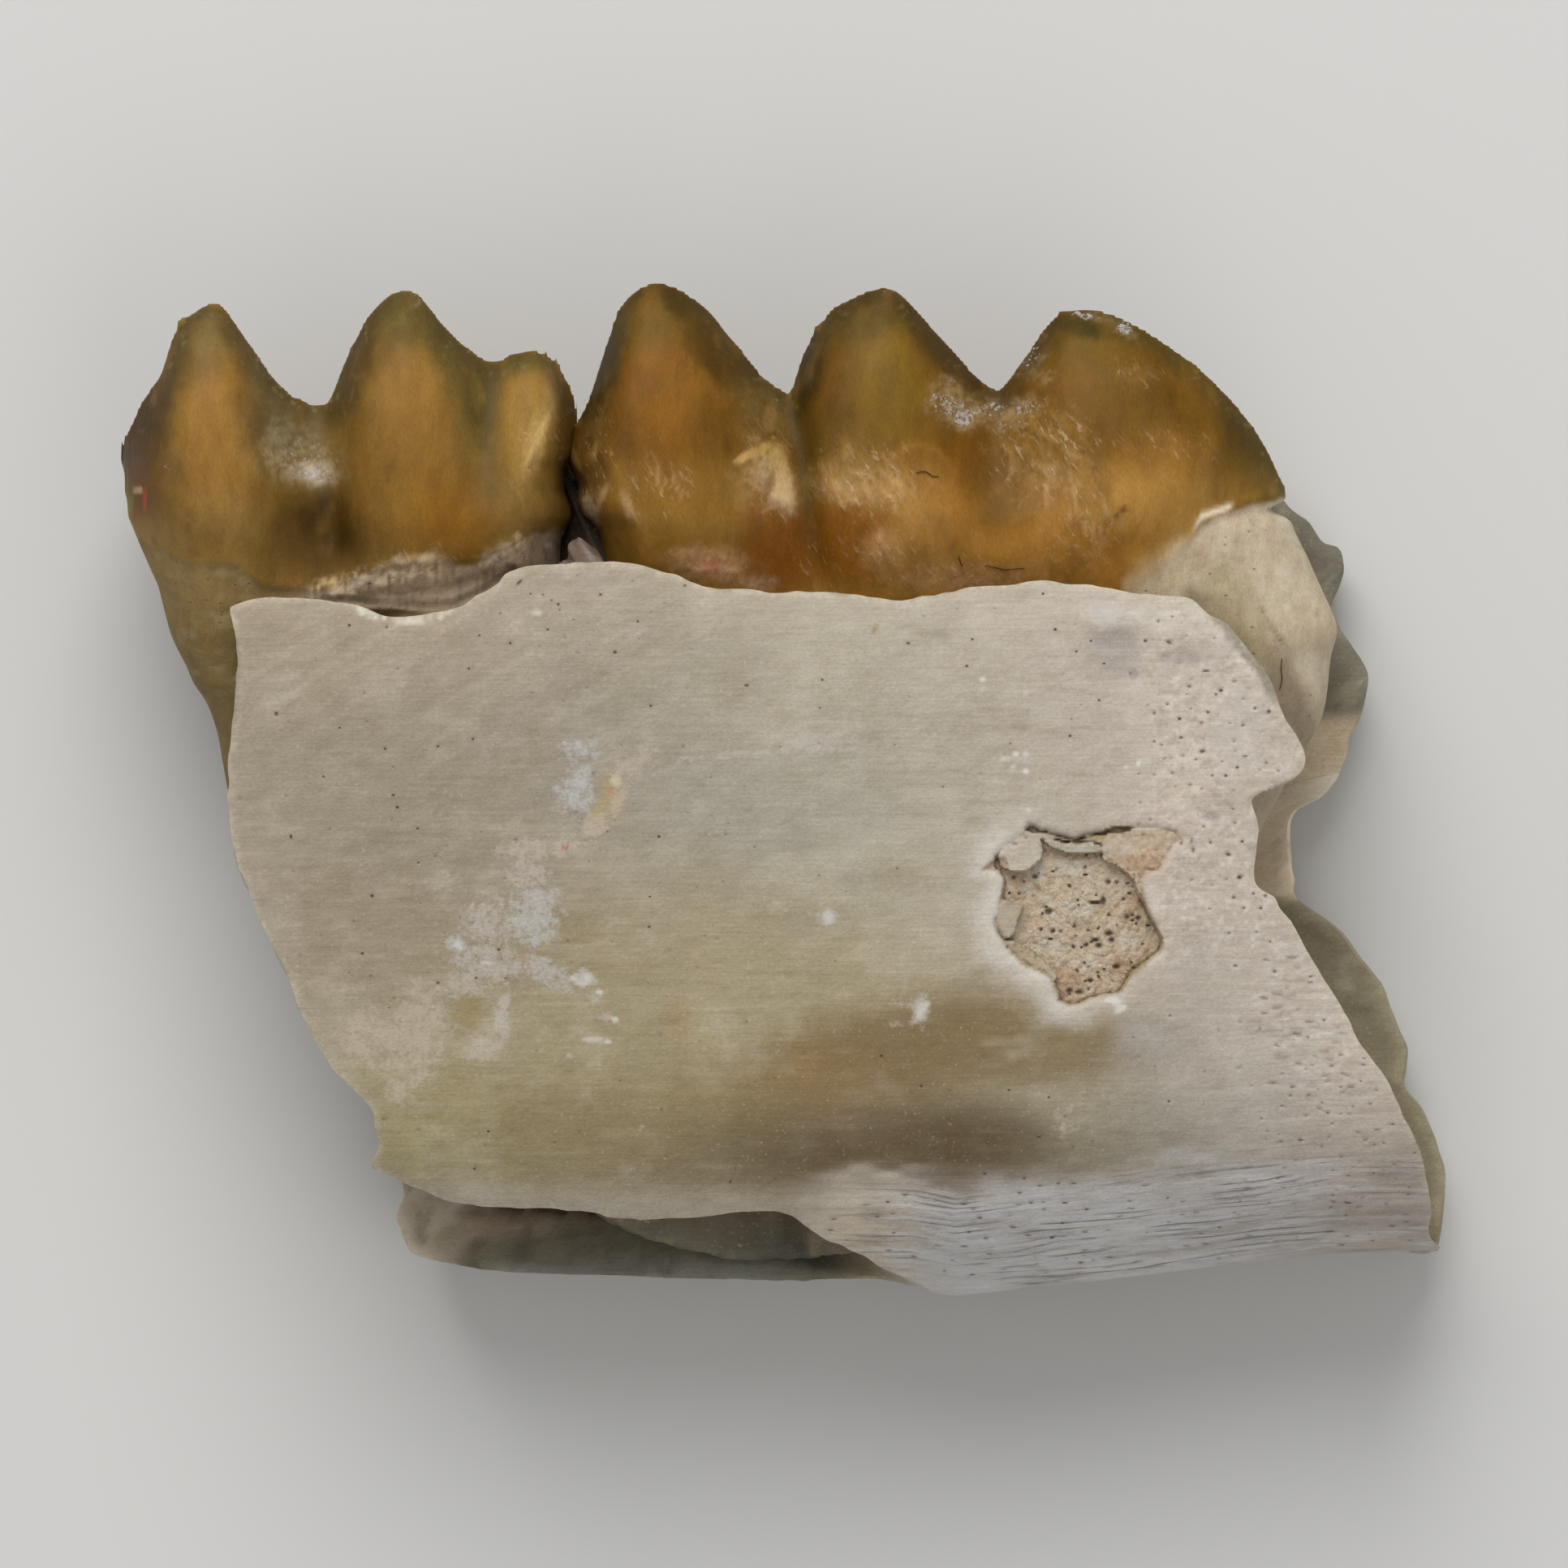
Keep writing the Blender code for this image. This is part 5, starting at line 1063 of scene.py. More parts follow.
def tooth_field(top, base, roots, grooves, half, ends, sides, step, detail):
    """Signed field of a tooth: crown between a near and a far flank, cut by the chewing surface, with tapering roots."""
    tops, bases = swell(curve(top, 3.0, False), 4.5), np.array(base, float)
    u0, u1 = top[0][0], top[-1][0]
    lo_u = min([u0] + [q[1] for q in sides[0]] + [r[1] for lv in roots for r in lv]) - 17
    hi_u = max([u1] + [q[1] for q in sides[1]] + [r[2] for lv in roots for r in lv]) + 17
    lo_v, hi_v = min(t[1] for t in top) - 13, max(r[0] for lv in roots for r in lv) + 8
    x = np.arange(mm_x(lo_u), mm_x(hi_u), step)
    y = np.arange(mm_y(hi_v), mm_y(lo_v), step)
    z = np.arange(TOOTH_Z - half - 0.25, TOOTH_Z + half + 0.25, step)
    u, _ = survey(x, 0 * x)
    _, v = survey(0 * y, y)
    a, b = tops[:-1], tops[1:]
    t = (u[:, None] - a[None, :, 0]) / np.where(a[:, 0] == b[:, 0], 1e-6, b[:, 0] - a[:, 0])[None]
    height = np.where((t >= 0) & (t <= 1), a[None, :, 1] + t * (b - a)[None, :, 1], 1e6).min(1)
    found = height < 1e5
    height = np.interp(u, u[found], height[found])
    near = np.arange(-3, 4) * (step * GRID)
    weight = np.exp(-((near / 3.2) ** 2) / 2)
    height = np.convolve(np.pad(height, 3, mode="edge"), weight / weight.sum(), "valid")
    T = mm_y(height)[:, None]
    B = mm_y(np.interp(u, bases[:, 0], bases[:, 1]))[:, None]
    U, V = np.meshgrid(u, v, indexing="ij")
    X, Y = np.meshgrid(x, y, indexing="ij")
    front, rear = ends
    left, right = (np.interp(V, [q[0] for q in side], [q[1] for q in side]) for side in sides)
    left, right = left - 4, right + 4
    end = np.sqrt(np.clip(1 - (1 - np.clip((U - left) / front, 0, 1)) ** 2, 0, 1)) * np.sqrt(np.clip(1 - (1 - np.clip((right - U) / rear, 0, 1)) ** 2, 0, 1))
    reach = np.arange(-40, 41) * (step * GRID)
    weight = np.exp(-((reach / 20.0) ** 2) / 2)
    even = np.convolve(np.pad(T[:, 0], 40, mode="edge"), weight / weight.sum(), "valid")[:, None]
    below = np.clip(even - Y, 0, 20)
    flank = 0.50 + 0.50 * (1 - np.exp(-below / 0.95))
    flank = flank * (1 - 0.27 * smooth(1.5, 0.0, Y - B))
    near_plan = np.ones_like(U)
    far_plan = np.ones_like(U)
    for line, depth, before, after, fade in grooves:
        c = np.interp(V, [q[1] for q in line], [q[0] for q in line])
        d = U - c
        g = np.exp(-((d / np.where(d < 0, before, after)) ** 2)) * smooth(fade, fade - 130, V)
        near_plan = near_plan - depth * g
        far_plan = far_plan - depth * 0.8 * g
    hn = half * end * flank * near_plan
    hf = half * 0.97 * end * flank * far_plan
    zn = TOOTH_Z + hn + detail(U, V)
    zf = TOOTH_Z - hf
    # crests and the valley between them
    tall = np.maximum(T - B, 0.05)
    t_far = T - 0.16 - 0.13 * tall
    valley = B + (t_far - B) * mix(0.90, 0.60, np.clip(tall / 4.2, 0, 1))
    ridge = half * end.max(axis=1, keepdims=True) * 0.50 * near_plan.mean(axis=1, keepdims=True)
    zz = (z - TOOTH_Z)[None, :]
    s = np.clip(np.abs(zz) / np.maximum(ridge, 0.05), 0, 1)
    up = s ** 1.5
    cut = np.where(zz >= 0, valley + (T - valley) * up, valley + (t_far - valley) * up)
    f = np.maximum(z[None, None, :] - zn[:, :, None], zf[:, :, None] - z[None, None, :]) * 0.8
    f = np.maximum(f, (y[None, :, None] - cut[:, None, :]) * 0.75)
    f = np.maximum(f, (B - y[None, :])[:, :, None] * 0.9)
    f = np.maximum(f, (mm_x(left) - X)[:, :, None])
    f = np.maximum(f, (X - mm_x(right))[:, :, None])
    f = f.astype(np.float32)
    for levels in roots:
        lv = levels_between(levels)
        a, b, h = (np.interp(v, lv[:, 0], lv[:, k]) for k in (1, 2, 3))
        h = h * (1 + 0.03 * noise(v / 60.0, levels[0][1], 0, 207))
        mid, wide = mm_x((a + b) / 2)[None, :], ((b - a) / 2 / GRID)[None, :]
        q = np.sqrt(((X - mid) / wide)[:, :, None] ** 2 + ((z - TOOTH_Z)[None, None, :] / h[None, :, None]) ** 2 + 1e-9)
        g = (q - 1) * np.minimum(wide, h[None, :])[:, :, None] * 0.95
        g = np.maximum(g, (np.maximum(mm_y(levels[-1][0]) - Y, Y - mm_y(levels[0][0])))[:, :, None])
        f = blend_min(f, g.astype(np.float32), 0.16)
    return f, np.array([x[0], y[0], z[0]])


def second_detail(U, V):
    x, y = mm_x(U), mm_y(V)
    w = 0.010 * noise(x * 1.6, y * 1.2, 0, 201) + 0.004 * noise(x * 5, y * 3, 0, 202)
    w = w - 0.06 * smooth(18, 0, np.abs(V - np.interp(U, [380, 420, 470, 540, 590, 640], [745, 738, 728, 726, 708, 700]) - 8)) * smooth(370, 400, U) * smooth(690, 660, U)
    margin = np.interp(U, [160, 200, 237, 290, 324, 395, 445, 483, 537, 591, 644, 690], [655, 680, 693, 696, 722, 728, 707, 697, 692, 690, 662, 650])
    w = w - 0.06 * smooth(-3, 7, V - margin)
    w = w + 0.018 * smooth(0, 6, V - margin) * smooth(370, 410, U) * smooth(-0.4, 0.4, noise(U / 3.6, V / 16.0, 0, 206))
    lump = np.exp(-(((U - 508) / 34.0) ** 2) - ((V - 695 + (U - 508) * 0.2) / 13.0) ** 2) + np.exp(-(((U - 450) / 26.0) ** 2) - ((V - 714 + (U - 450) * 0.3) / 10.0) ** 2)
    lump = lump + np.exp(-((((U - 610) * 0.8 - (V - 682) * 0.6) / 22.0) ** 2) - (((U - 610) * 0.6 + (V - 682) * 0.8) / 8.0) ** 2)
    w = w + lump * 0.05 * (0.6 + noise(U / 7.0, V / 6.0, 0, 203))
    streak = np.exp(-(((U - 662 + (V - 540) * 0.18) / 20.0) ** 2)) * smooth(470, 510, V) * smooth(620, 580, V)
    w = w + 0.035 * streak * (0.5 + noise((U + V * 0.2) / 9.0, V / 40.0, 0, 204))
    return w


WRINKLES = [  # folds in the enamel: middle, half length and width, turn in degrees, height in mm
    (812, 590, 30, 6, 76, .05), (834, 596, 30, 6, 72, .05), (780, 634, 24, 6, 66, .045), (796, 560, 22, 5, 80, .03),
    (925, 560, 20, 6, -35, .06), (946, 566, 24, 6, -45, .06), (938, 592, 30, 7, 35, .06), (958, 610, 26, 6, 25, .05), (966, 560, 8, 22, 0, .04),
    (935, 540, 24, 5, 20, .04), (950, 628, 16, 6, -20, .04), (1045, 560, 24, 7, 60, .045), (1060, 590, 22, 6, 45, .06), (1050, 612, 20, 6, 40, .05),
    (1092, 572, 26, 6, 68, .06), (1106, 600, 24, 5, 64, .05), (1098, 618, 20, 5, 60, .045), (1124, 598, 22, 5, 66, .045), (1086, 668, 24, 6, 70, .05),
    (1078, 690, 20, 6, 55, .05), (1100, 690, 26, 5, 62, .04), (1135, 640, 24, 6, 50, .03), (1268, 520, 26, 5, 40, .045), (1290, 540, 30, 5, 36, .05),
    (1305, 520, 26, 5, 42, .045), (1318, 556, 28, 5, 34, .045), (1328, 510, 26, 5, 50, .04), (1336, 540, 24, 5, 48, .04), (1296, 580, 26, 5, 60, .045),
    (1320, 600, 30, 5, 82, .05), (1334, 640, 24, 5, 78, .045), (1350, 660, 28, 5, 76, .05), (1362, 636, 24, 5, 74, .04), (1245, 580, 30, 6, 100, .035),
    (1256, 620, 26, 6, 95, .03), (1340, 690, 20, 5, 80, .035), (730, 560, 6, 34, 15, .04), (742, 610, 6, 30, 20, .04), (1400, 560, 30, 7, 20, .025),
    (1440, 590, 30, 7, 25, .02), (870, 700, 16, 7, 0, .05), (890, 690, 12, 8, 40, .05), (905, 706, 12, 7, -20, .04), (850, 700, 12, 6, 20, .04),
]


def fold_list():
    rng = np.random.default_rng(5)
    folds = []
    for cu, cv, ru, rv, turn, tall in WRINKLES:
        folds.append((cu, cv, ru, rv * 0.62, turn, tall * 0.85))
        for side in (-1, 1):
            t = math.radians(turn)
            across, along = side * rng.uniform(6, 11), rng.uniform(-10, 10)
            folds.append((cu + along * math.cos(t) - across * math.sin(t), cv + along * math.sin(t) + across * math.cos(t),
                          ru * rng.uniform(0.35, 0.75), rv * rng.uniform(0.4, 0.6), turn + rng.uniform(-9, 9), tall * rng.uniform(0.35, 0.7)))
    for box, turn, count in (((1238, 515, 1345, 605), 42, 44), ((1012, 556, 1112, 625), 58, 34), ((925, 540, 978, 625), 30, 22), ((1290, 600, 1370, 690), 78, 22)):
        for _ in range(count):
            folds.append((rng.uniform(box[0], box[2]), rng.uniform(box[1], box[3]), rng.uniform(8, 18), rng.uniform(2.4, 3.4), turn + rng.uniform(-16, 16), rng.uniform(0.014, 0.03)))
    return folds


FOLDS = fold_list()


def wrinkles(U, V):
    total = np.zeros_like(U)
    for cu, cv, ru, rv, turn, tall in FOLDS:
        near = (np.abs(U - cu) < 70) & (np.abs(V - cv) < 70)
        u, v = U[near] - cu, V[near] - cv
        c, s = math.cos(math.radians(turn)), math.sin(math.radians(turn))
        a, b = u * c + v * s, -u * s + v * c
        b = b + 3.0 * noise(a / 16.0, cu, 0, 205)
        total[near] += tall * np.exp(-((a / ru) ** 2) * 1.2 - ((b / rv) ** 2) * 1.6)
    return total


def third_detail(U, V):
    x, y = mm_x(U), mm_y(V)
    w = 0.010 * noise(x * 1.6, y * 1.2, 0, 211) + 0.004 * noise(x * 5, y * 3, 0, 212)
    w = w + wrinkles(U, V)
    margin = np.interp(U, [1380, 1403, 1426, 1445, 1464, 1480, 1506, 1541, 1564, 1583], [740, 718, 703, 687, 672, 645, 636, 622, 615, 613])
    w = w + np.where(U > 1385, -0.08 * smooth(-2, 5, V - margin), 0)
    w = w + np.where(U > 1385, 0.05 * np.exp(-(((V - margin + 6) / 7.0) ** 2)) * smooth(1450, 1480, U), 0)
    return w


def paint_second(u, v, z):
    x, y = mm_x(u), mm_y(v)
    p = Paint(u, v, (128, 104, 56), z, seed=800)
    # Painted shade: the crown darkens to olive towards the cusp tips and along its outline, where the enamel is thin
    # and see-through; the dark olive patches laid along the outline below carry the same painted shade.
    p.lay(smooth(560, 380, v), (112, 96, 56), 0.8)
    # front lobe
    p.lay(p.blob(262, 545, 48, 120, 0, 0.55, 0.2), (160, 122, 66), 0.95)
    p.lay(p.blob(262, 505, 36, 40, 0, 0.7, 0.2), (168, 129, 70), 0.7)
    p.lay(p.blob(252, 408, 30, 40, 10, 0.8, 0.2), (132, 120, 86), 0.6)
    p.lay(p.blob(178, 520, 24, 50, 20, 0.7, 0.4), (84, 67, 36), 0.8)
    p.lay(p.blob(168, 555, 16, 20, 0, 0.7, 0.5), (122, 112, 98), 0.55)
    p.lay(p.blob(215, 576, 14, 22, 10, 0.7, 0.5), (118, 98, 72), 0.5)
    p.lay(p.blob(168, 622, 22, 40, 15, 0.6, 0.3), (118, 82, 36), 0.7)
    # painted highlight: a bright glint with green-yellow and orange fringes at the front lobe's lower corner
    front = smooth(TOOTH_Z - 0.5, TOOTH_Z - 0.1, z)
    p.lay(p.blob(160, 606, 6, 16, 0, 0.5, 0.3) * front, (128, 124, 52), 0.6)
    p.lay(p.blob(158, 622, 6, 14, 0, 0.4, 0.3) * front, (150, 150, 60), 0.6)
    p.lay(p.blob(178, 614, 2.4, 15, 0, 0.3, 0.3) * front, (186, 84, 48), 0.75)
    p.lay(p.blob(169, 603, 6, 5, 0, 0.35, 0.4) * front, (214, 212, 188), 0.8)
    p.lay(p.blob(260, 660, 60, 45, 0, 0.7, 0.3), (148, 122, 76), 0.75)
    p.lay(p.blob(345, 640, 30, 60, 0, 0.7, 0.3), (122, 92, 42), 0.6)
    # saddle between the cusps
    p.lay(p.blob(350, 520, 56, 42, 20, 0.6, 0.4), (106, 90, 64), 0.85)
    p.lay(p.blob(330, 470, 20, 30, -35, 0.6, 0.5), (116, 104, 84), 0.6)
    p.lay(p.blob(372, 568, 42, 30, 10, 0.6, 0.6, 0.8), (172, 162, 150), 0.75)
    p.lay(p.blob(388, 583, 26, 13, 10, 0.5, 0.6, 0.7), (206, 200, 200), 0.85)
    p.lay(p.blob(345, 530, 16, 30, 10, 0.6, 0.6, 0.7), (148, 142, 126), 0.6)
    p.lay(p.blob(410, 645, 56, 42, 0, 0.65, 0.3), (62, 43, 10), 0.92)
    p.lay(p.blob(372, 690, 40, 34, 0, 0.7, 0.4), (92, 70, 34), 0.6)
    # middle cusp
    p.lay(p.blob(506, 560, 58, 130, 0, 0.5, 0.2), (150, 114, 56), 0.9)
    p.lay(p.blob(506, 478, 34, 46, 0, 0.7, 0.2), (162, 124, 66), 0.75)
    p.lay(p.blob(440, 450, 16, 60, 12, 0.6, 0.3), (92, 68, 28), 0.8)
    p.lay(p.blob(498, 388, 30, 34, 0, 0.7, 0.3), (116, 104, 56), 0.7)
    p.lay(p.blob(516, 366, 12, 12, 0, 0.6, 0.5), (136, 122, 92), 0.7)
    p.lay(p.blob(556, 440, 26, 40, -35, 0.6, 0.4), (98, 86, 46), 0.75)
    p.lay(p.blob(592, 492, 24, 56, 0, 0.6, 0.35), (94, 84, 46), 0.85)
    p.lay(p.blob(560, 640, 50, 52, 0, 0.7, 0.3), (144, 100, 28), 0.75)
    p.lay(p.blob(450, 590, 34, 60, 0, 0.7, 0.3), (134, 100, 44), 0.5)
    # rear lobe
    p.lay(p.blob(650, 520, 34, 78, 4, 0.5, 0.2), (166, 134, 74), 0.9)
    p.lay(p.blob(652, 446, 32, 16, 0, 0.6, 0.3), (126, 112, 58), 0.7)
    # painted highlight: slanted pale streaks down the rear lobe
    p.lay(p.blob(660, 545, 11, 46, 14, 0.6, 0.3, 0.4), (204, 176, 130), 0.75)
    p.lay(p.blob(664, 538, 4.5, 42, 24, 0.3, 0.3), (226, 198, 150), 0.6)
    p.lay(p.blob(680, 490, 9, 30, -8, 0.6, 0.3, 0.3), (188, 160, 112), 0.6)
    p.lay(p.blob(694, 560, 10, 60, 0, 0.6, 0.4), (104, 78, 40), 0.7)
    p.lay(p.blob(655, 640, 36, 40, 0, 0.7, 0.4), (132, 106, 62), 0.7)
    off = from_line(np.stack([u, v], 1), curve(SECOND_TOP, 12, False)) + 5 * noise(u / 15.0, v / 15.0, z, 228)
    edge = smooth(34, 2, off)
    # painted shade: a dark olive rim along the crown's top outline, over the thin see-through enamel; pale crumbs are
    # laid over it
    p.lay(smooth(60, 10, off) * smooth(300, 200, u), (92, 78, 50), 0.45)
    p.lay(edge, (80, 68, 36), 0.75)
    sugar = fbm(u / 9.0, v / 9.0, z, 221, 3, 0.7)
    p.lay(edge * smooth(0.2, 0.6, sugar), (170, 156, 130), 0.35)
    # enamel margin, crumbs, root
    margin = np.interp(u, [160, 200, 237, 290, 324, 395, 445, 483, 537, 591, 644, 690], [655, 680, 693, 696, 722, 728, 707, 697, 692, 690, 662, 650])
    ragged = 5 * noise(u / 12.0, v / 12.0, z, 222)
    below = smooth(-4, 6, v - margin + ragged)
    rear = smooth(340, 400, u)
    fade = smooth(-46, 4, v - margin) * (1 - rear)
    p.lay(fade, (172, 140, 86), 0.6)
    p.lay(below * (1 - rear), (140, 118, 76), 0.95)
    p.lay(below * rear, (176, 156, 134), 0.93)
    hatch = smooth(-0.45, 0.35, fbm(u / 3.2, v / 14.0, z, 230, 3, 0.7))
    # pale cement along the enamel margin, laid brighter than its own colour: partly its colour, partly painted light
    lit = smooth(19, 8, from_line(np.stack([u, v], 1), [(394, 728), (424, 722), (450, 713), (483, 706), (512, 700), (536, 698)]))
    p.lay(lit * hatch, (236, 212, 184), 0.9)
    p.lay(lit * (1 - hatch), (120, 92, 56), 0.4)
    p.lay(smooth(7, 3, from_line(np.stack([u, v], 1), [(595, 694), (612, 686), (628, 675), (642, 665)])) * hatch, (232, 212, 190), 0.85)
    p.lay(np.exp(-(((v - margin + 3) / 9.0) ** 2)) * rear * smooth(-0.1, 0.4, fbm(u / 10.0, v / 9.0, z, 223, 3, 0.7)) * smooth(660, 640, u) * (1 - smooth(535, 548, u) * smooth(598, 588, u)), (176, 152, 126), 0.5)
    for cu, cv, ru, rv, turn in ((510, 694, 34, 11, -12), (450, 714, 24, 8, -18), (608, 683, 20, 7, -38)):
        p.lay(p.blob(cu, cv, ru, rv, turn, 0.6, 0.6, 0.5), (200, 182, 160), 0.85)
    for cu, cv, ru, rv, turn in ((524, 688, 11, 6, -20), (492, 690, 8, 6, 0), (611, 686, 9, 4, -38), (638, 661, 5, 5, 0), (676, 672, 6, 4, 0), (440, 720, 9, 4, -15)):
        p.lay(p.blob(cu, cv, ru, rv, turn, 0.5, 0.4), (224, 212, 202), 0.8)
    p.lay(below * rear * smooth(0.1, 0.5, fbm(u / 3.0, v / 18.0, z, 224, 3, 0.7)), (142, 130, 112), 0.4)
    p.lay(below * rear * smooth(-0.1, -0.5, fbm(u / 3.4, v / 18.0, z, 229, 3, 0.7)), (92, 80, 62), 0.4)
    # painted shade: a dark line on the root just above the near wall's edge
    p.lay(rear * smooth(7, 2, from_line(np.stack([u, v], 1), [(395, 737), (430, 737), (470, 742), (520, 744), (556, 742), (600, 722), (634, 700)])), (66, 52, 38), 0.6)
    lower = smooth(690, 900, v)
    p.lay(lower * (1 - rear), (108, 92, 60), 0.58)
    grain = fbm(u / 30.0, v / 12.0, z * 3, 225, 4, 0.6)
    p.lay(below * smooth(0.1, 0.5, grain), (166, 152, 120), 0.3)
    soft = fbm(x * 2.4, y * 1.3, z * 2, 226, 4, 0.55)
    p.lay(smooth(0.1, 0.6, soft) * (1 - below), (172, 134, 74), 0.22)
    p.lay(smooth(-0.1, -0.6, soft) * (1 - below), (84, 64, 26), 0.28)
    sugary = np.maximum.reduce([
        p.blob(372, 572, 40, 26, 10, 0.7, 0.3) * 0.85, p.blob(388, 584, 24, 12, 10, 0.6, 0.3) * 1.2, p.blob(340, 525, 18, 34, 10, 0.7, 0.3) * 0.6,
        p.blob(332, 478, 16, 22, -30, 0.7, 0.3) * 0.55, p.blob(206, 575, 8, 14, 0, 0.6, 0.3) * 0.8, p.blob(166, 552, 12, 10, 0, 0.6, 0.3) * 0.7,
        p.blob(190, 490, 12, 16, 20, 0.6, 0.3) * 0.5, p.blob(512, 364, 12, 8, 0, 0.6, 0.3) * 0.6, p.blob(600, 560, 12, 30, 0, 0.7, 0.3) * 0.4,
        0.45 * edge * smooth(460, 380, u) * smooth(560, 500, v)])
    return p.rgb, below, sugary * (1 - below)


def paint_third(u, v, z):
    x, y = mm_x(u), mm_y(v)
    p = Paint(u, v, (132, 98, 40), z, seed=900)
    # Painted shade: the crown darkens to olive towards the cusp tips and along its outline, where the enamel is thin
    # and see-through; the dark olive patches laid along the outline below carry the same painted shade.
    p.lay(smooth(470, 370, v), (100, 86, 42), 0.75)
    # first cusp
    p.lay(p.blob(822, 480, 48, 110, -4, 0.5, 0.2), (160, 116, 46), 0.95)
    p.lay(p.blob(822, 470, 34, 46, 0, 0.7, 0.2), (172, 126, 54), 0.75)
    p.lay(p.blob(806, 400, 40, 30, 0, 0.7, 0.3), (118, 106, 58), 0.6)
    p.lay(p.blob(832, 374, 12, 22, -40, 0.5, 0.5), (66, 60, 26), 0.7)
    p.lay(p.blob(750, 450, 14, 50, 12, 0.6, 0.4), (78, 68, 42), 0.85)
    p.lay(p.blob(890, 440, 26, 60, -38, 0.55, 0.4), (96, 76, 30), 0.85)
    p.lay(p.blob(944, 500, 34, 46, -20, 0.6, 0.5, 0.5), (136, 122, 92), 0.75)
    p.lay(p.blob(955, 478, 16, 22, -20, 0.5, 0.6, 0.7), (164, 152, 136), 0.6)
    p.lay(p.blob(730, 520, 14, 30, 0, 0.6, 0.6, 0.4), (126, 110, 84), 0.6)
    p.lay(p.blob(722, 610, 20, 70, 12, 0.6, 0.4), (120, 92, 52), 0.7)
    p.lay(p.blob(860, 620, 70, 70, 0, 0.7, 0.3), (138, 104, 42), 0.7)
    p.lay(p.blob(716, 585, 4.5, 40, -22, 0.4, 0.4), (84, 60, 26), 0.65)
    p.lay(p.blob(736, 560, 4, 26, -26, 0.4, 0.5), (90, 66, 30), 0.5)
    p.lay(p.blob(706, 560, 4, 24, -26, 0.4, 0.5), (196, 162, 112), 0.7)
    # painted highlight: a pale glint along the crown's lower left edge
    p.lay(p.blob(728, 628, 8, 18, -24, 0.4, 0.6, 0.4), (200, 180, 156), 0.7)
    p.lay(p.blob(772, 622, 5, 20, -14, 0.4, 0.5, 0.3), (206, 184, 150), 0.5)
    p.lay(p.blob(942, 590, 34, 50, 0, 0.6, 0.5, 0.35), (168, 138, 86), 0.7)
    p.lay(p.blob(880, 694, 50, 20, 8, 0.6, 0.6, 0.5), (192, 152, 120), 0.8)
    p.lay(p.blob(874, 697, 9, 6, 0, 0.5, 0.4), (186, 112, 92), 0.7)
    p.lay(p.blob(940, 718, 18, 8, 0, 0.5, 0.6, 0.6), (196, 176, 156), 0.8)
    p.lay(p.blob(966, 670, 48, 62, 0, 0.65, 0.3), (122, 72, 16), 0.85)
    # crease, laid dark as painted shade
    c = np.interp(v, [480, 560, 600, 690, 720], [976, 990, 994, 1006, 1010])
    p.lay(np.exp(-(((u - c) / 13.0) ** 2)) * smooth(470, 490, v) * smooth(720, 640, v), (66, 56, 22), 0.8)
    # second cusp
    p.lay(p.blob(1092, 480, 52, 78, 0, 0.5, 0.2), (146, 119, 50), 0.95)
    p.lay(p.blob(1085, 440, 34, 36, 0, 0.7, 0.2), (150, 128, 62), 0.6)
    p.lay(p.blob(1072, 392, 52, 22, -12, 0.7, 0.4), (108, 96, 58), 0.7)
    p.lay(p.blob(1094, 362, 20, 14, 0, 0.6, 0.5), (136, 116, 88), 0.75)
    p.lay(p.blob(1000, 446, 16, 50, 10, 0.6, 0.4), (62, 56, 26), 0.85)
    p.lay(p.blob(1180, 444, 24, 50, -40, 0.55, 0.4), (88, 64, 26), 0.85)
    p.lay(p.blob(1020, 540, 36, 40, 10, 0.7, 0.4), (116, 98, 50), 0.6)
    p.lay(p.blob(1132, 636, 56, 92, 0, 0.4, 0.2), (166, 126, 64), 0.85)
    arc = np.abs(np.hypot((u - 1132) / 1.0, (v - 636) / 1.6) - 55)
    p.lay(np.exp(-((arc / 3.0) ** 2)) * smooth(600, 570, v), (190, 150, 88), 0.4)
    p.lay(p.blob(1050, 575, 40, 40, 0, 0.6, 0.4, 0.3), (170, 138, 86), 0.6)
    p.lay(p.blob(1045, 670, 44, 56, 10, 0.6, 0.35), (130, 82, 20), 0.8)
    p.lay(p.blob(1085, 680, 26, 26, 30, 0.5, 0.5, 0.3), (182, 142, 92), 0.6)
    p.lay(p.blob(1200, 600, 46, 60, 0, 0.7, 0.3), (146, 98, 30), 0.7)
    # sugary bands each side of the notch
    for cu, cv, ru, rv, t, s in ((1170, 500, 34, 24, 20, 0.8), (1192, 512, 20, 18, 0, 0.9), (1170, 476, 16, 12, 30, 0.8), (1222, 500, 26, 16, 0, 0.8),
                                 (1258, 500, 30, 14, -10, 0.8), (1272, 440, 14, 26, 25, 0.85), (1286, 466, 18, 10, 0, 0.6), (1240, 520, 30, 12, 0, 0.6)):
        p.lay(p.blob(cu, cv, ru, rv, t, 0.5, 0.8, 0.85), (186, 172, 160), s)
    p.lay(p.blob(1238, 488, 9, 16, 0, 0.6, 0.5), (112, 58, 24), 0.6)
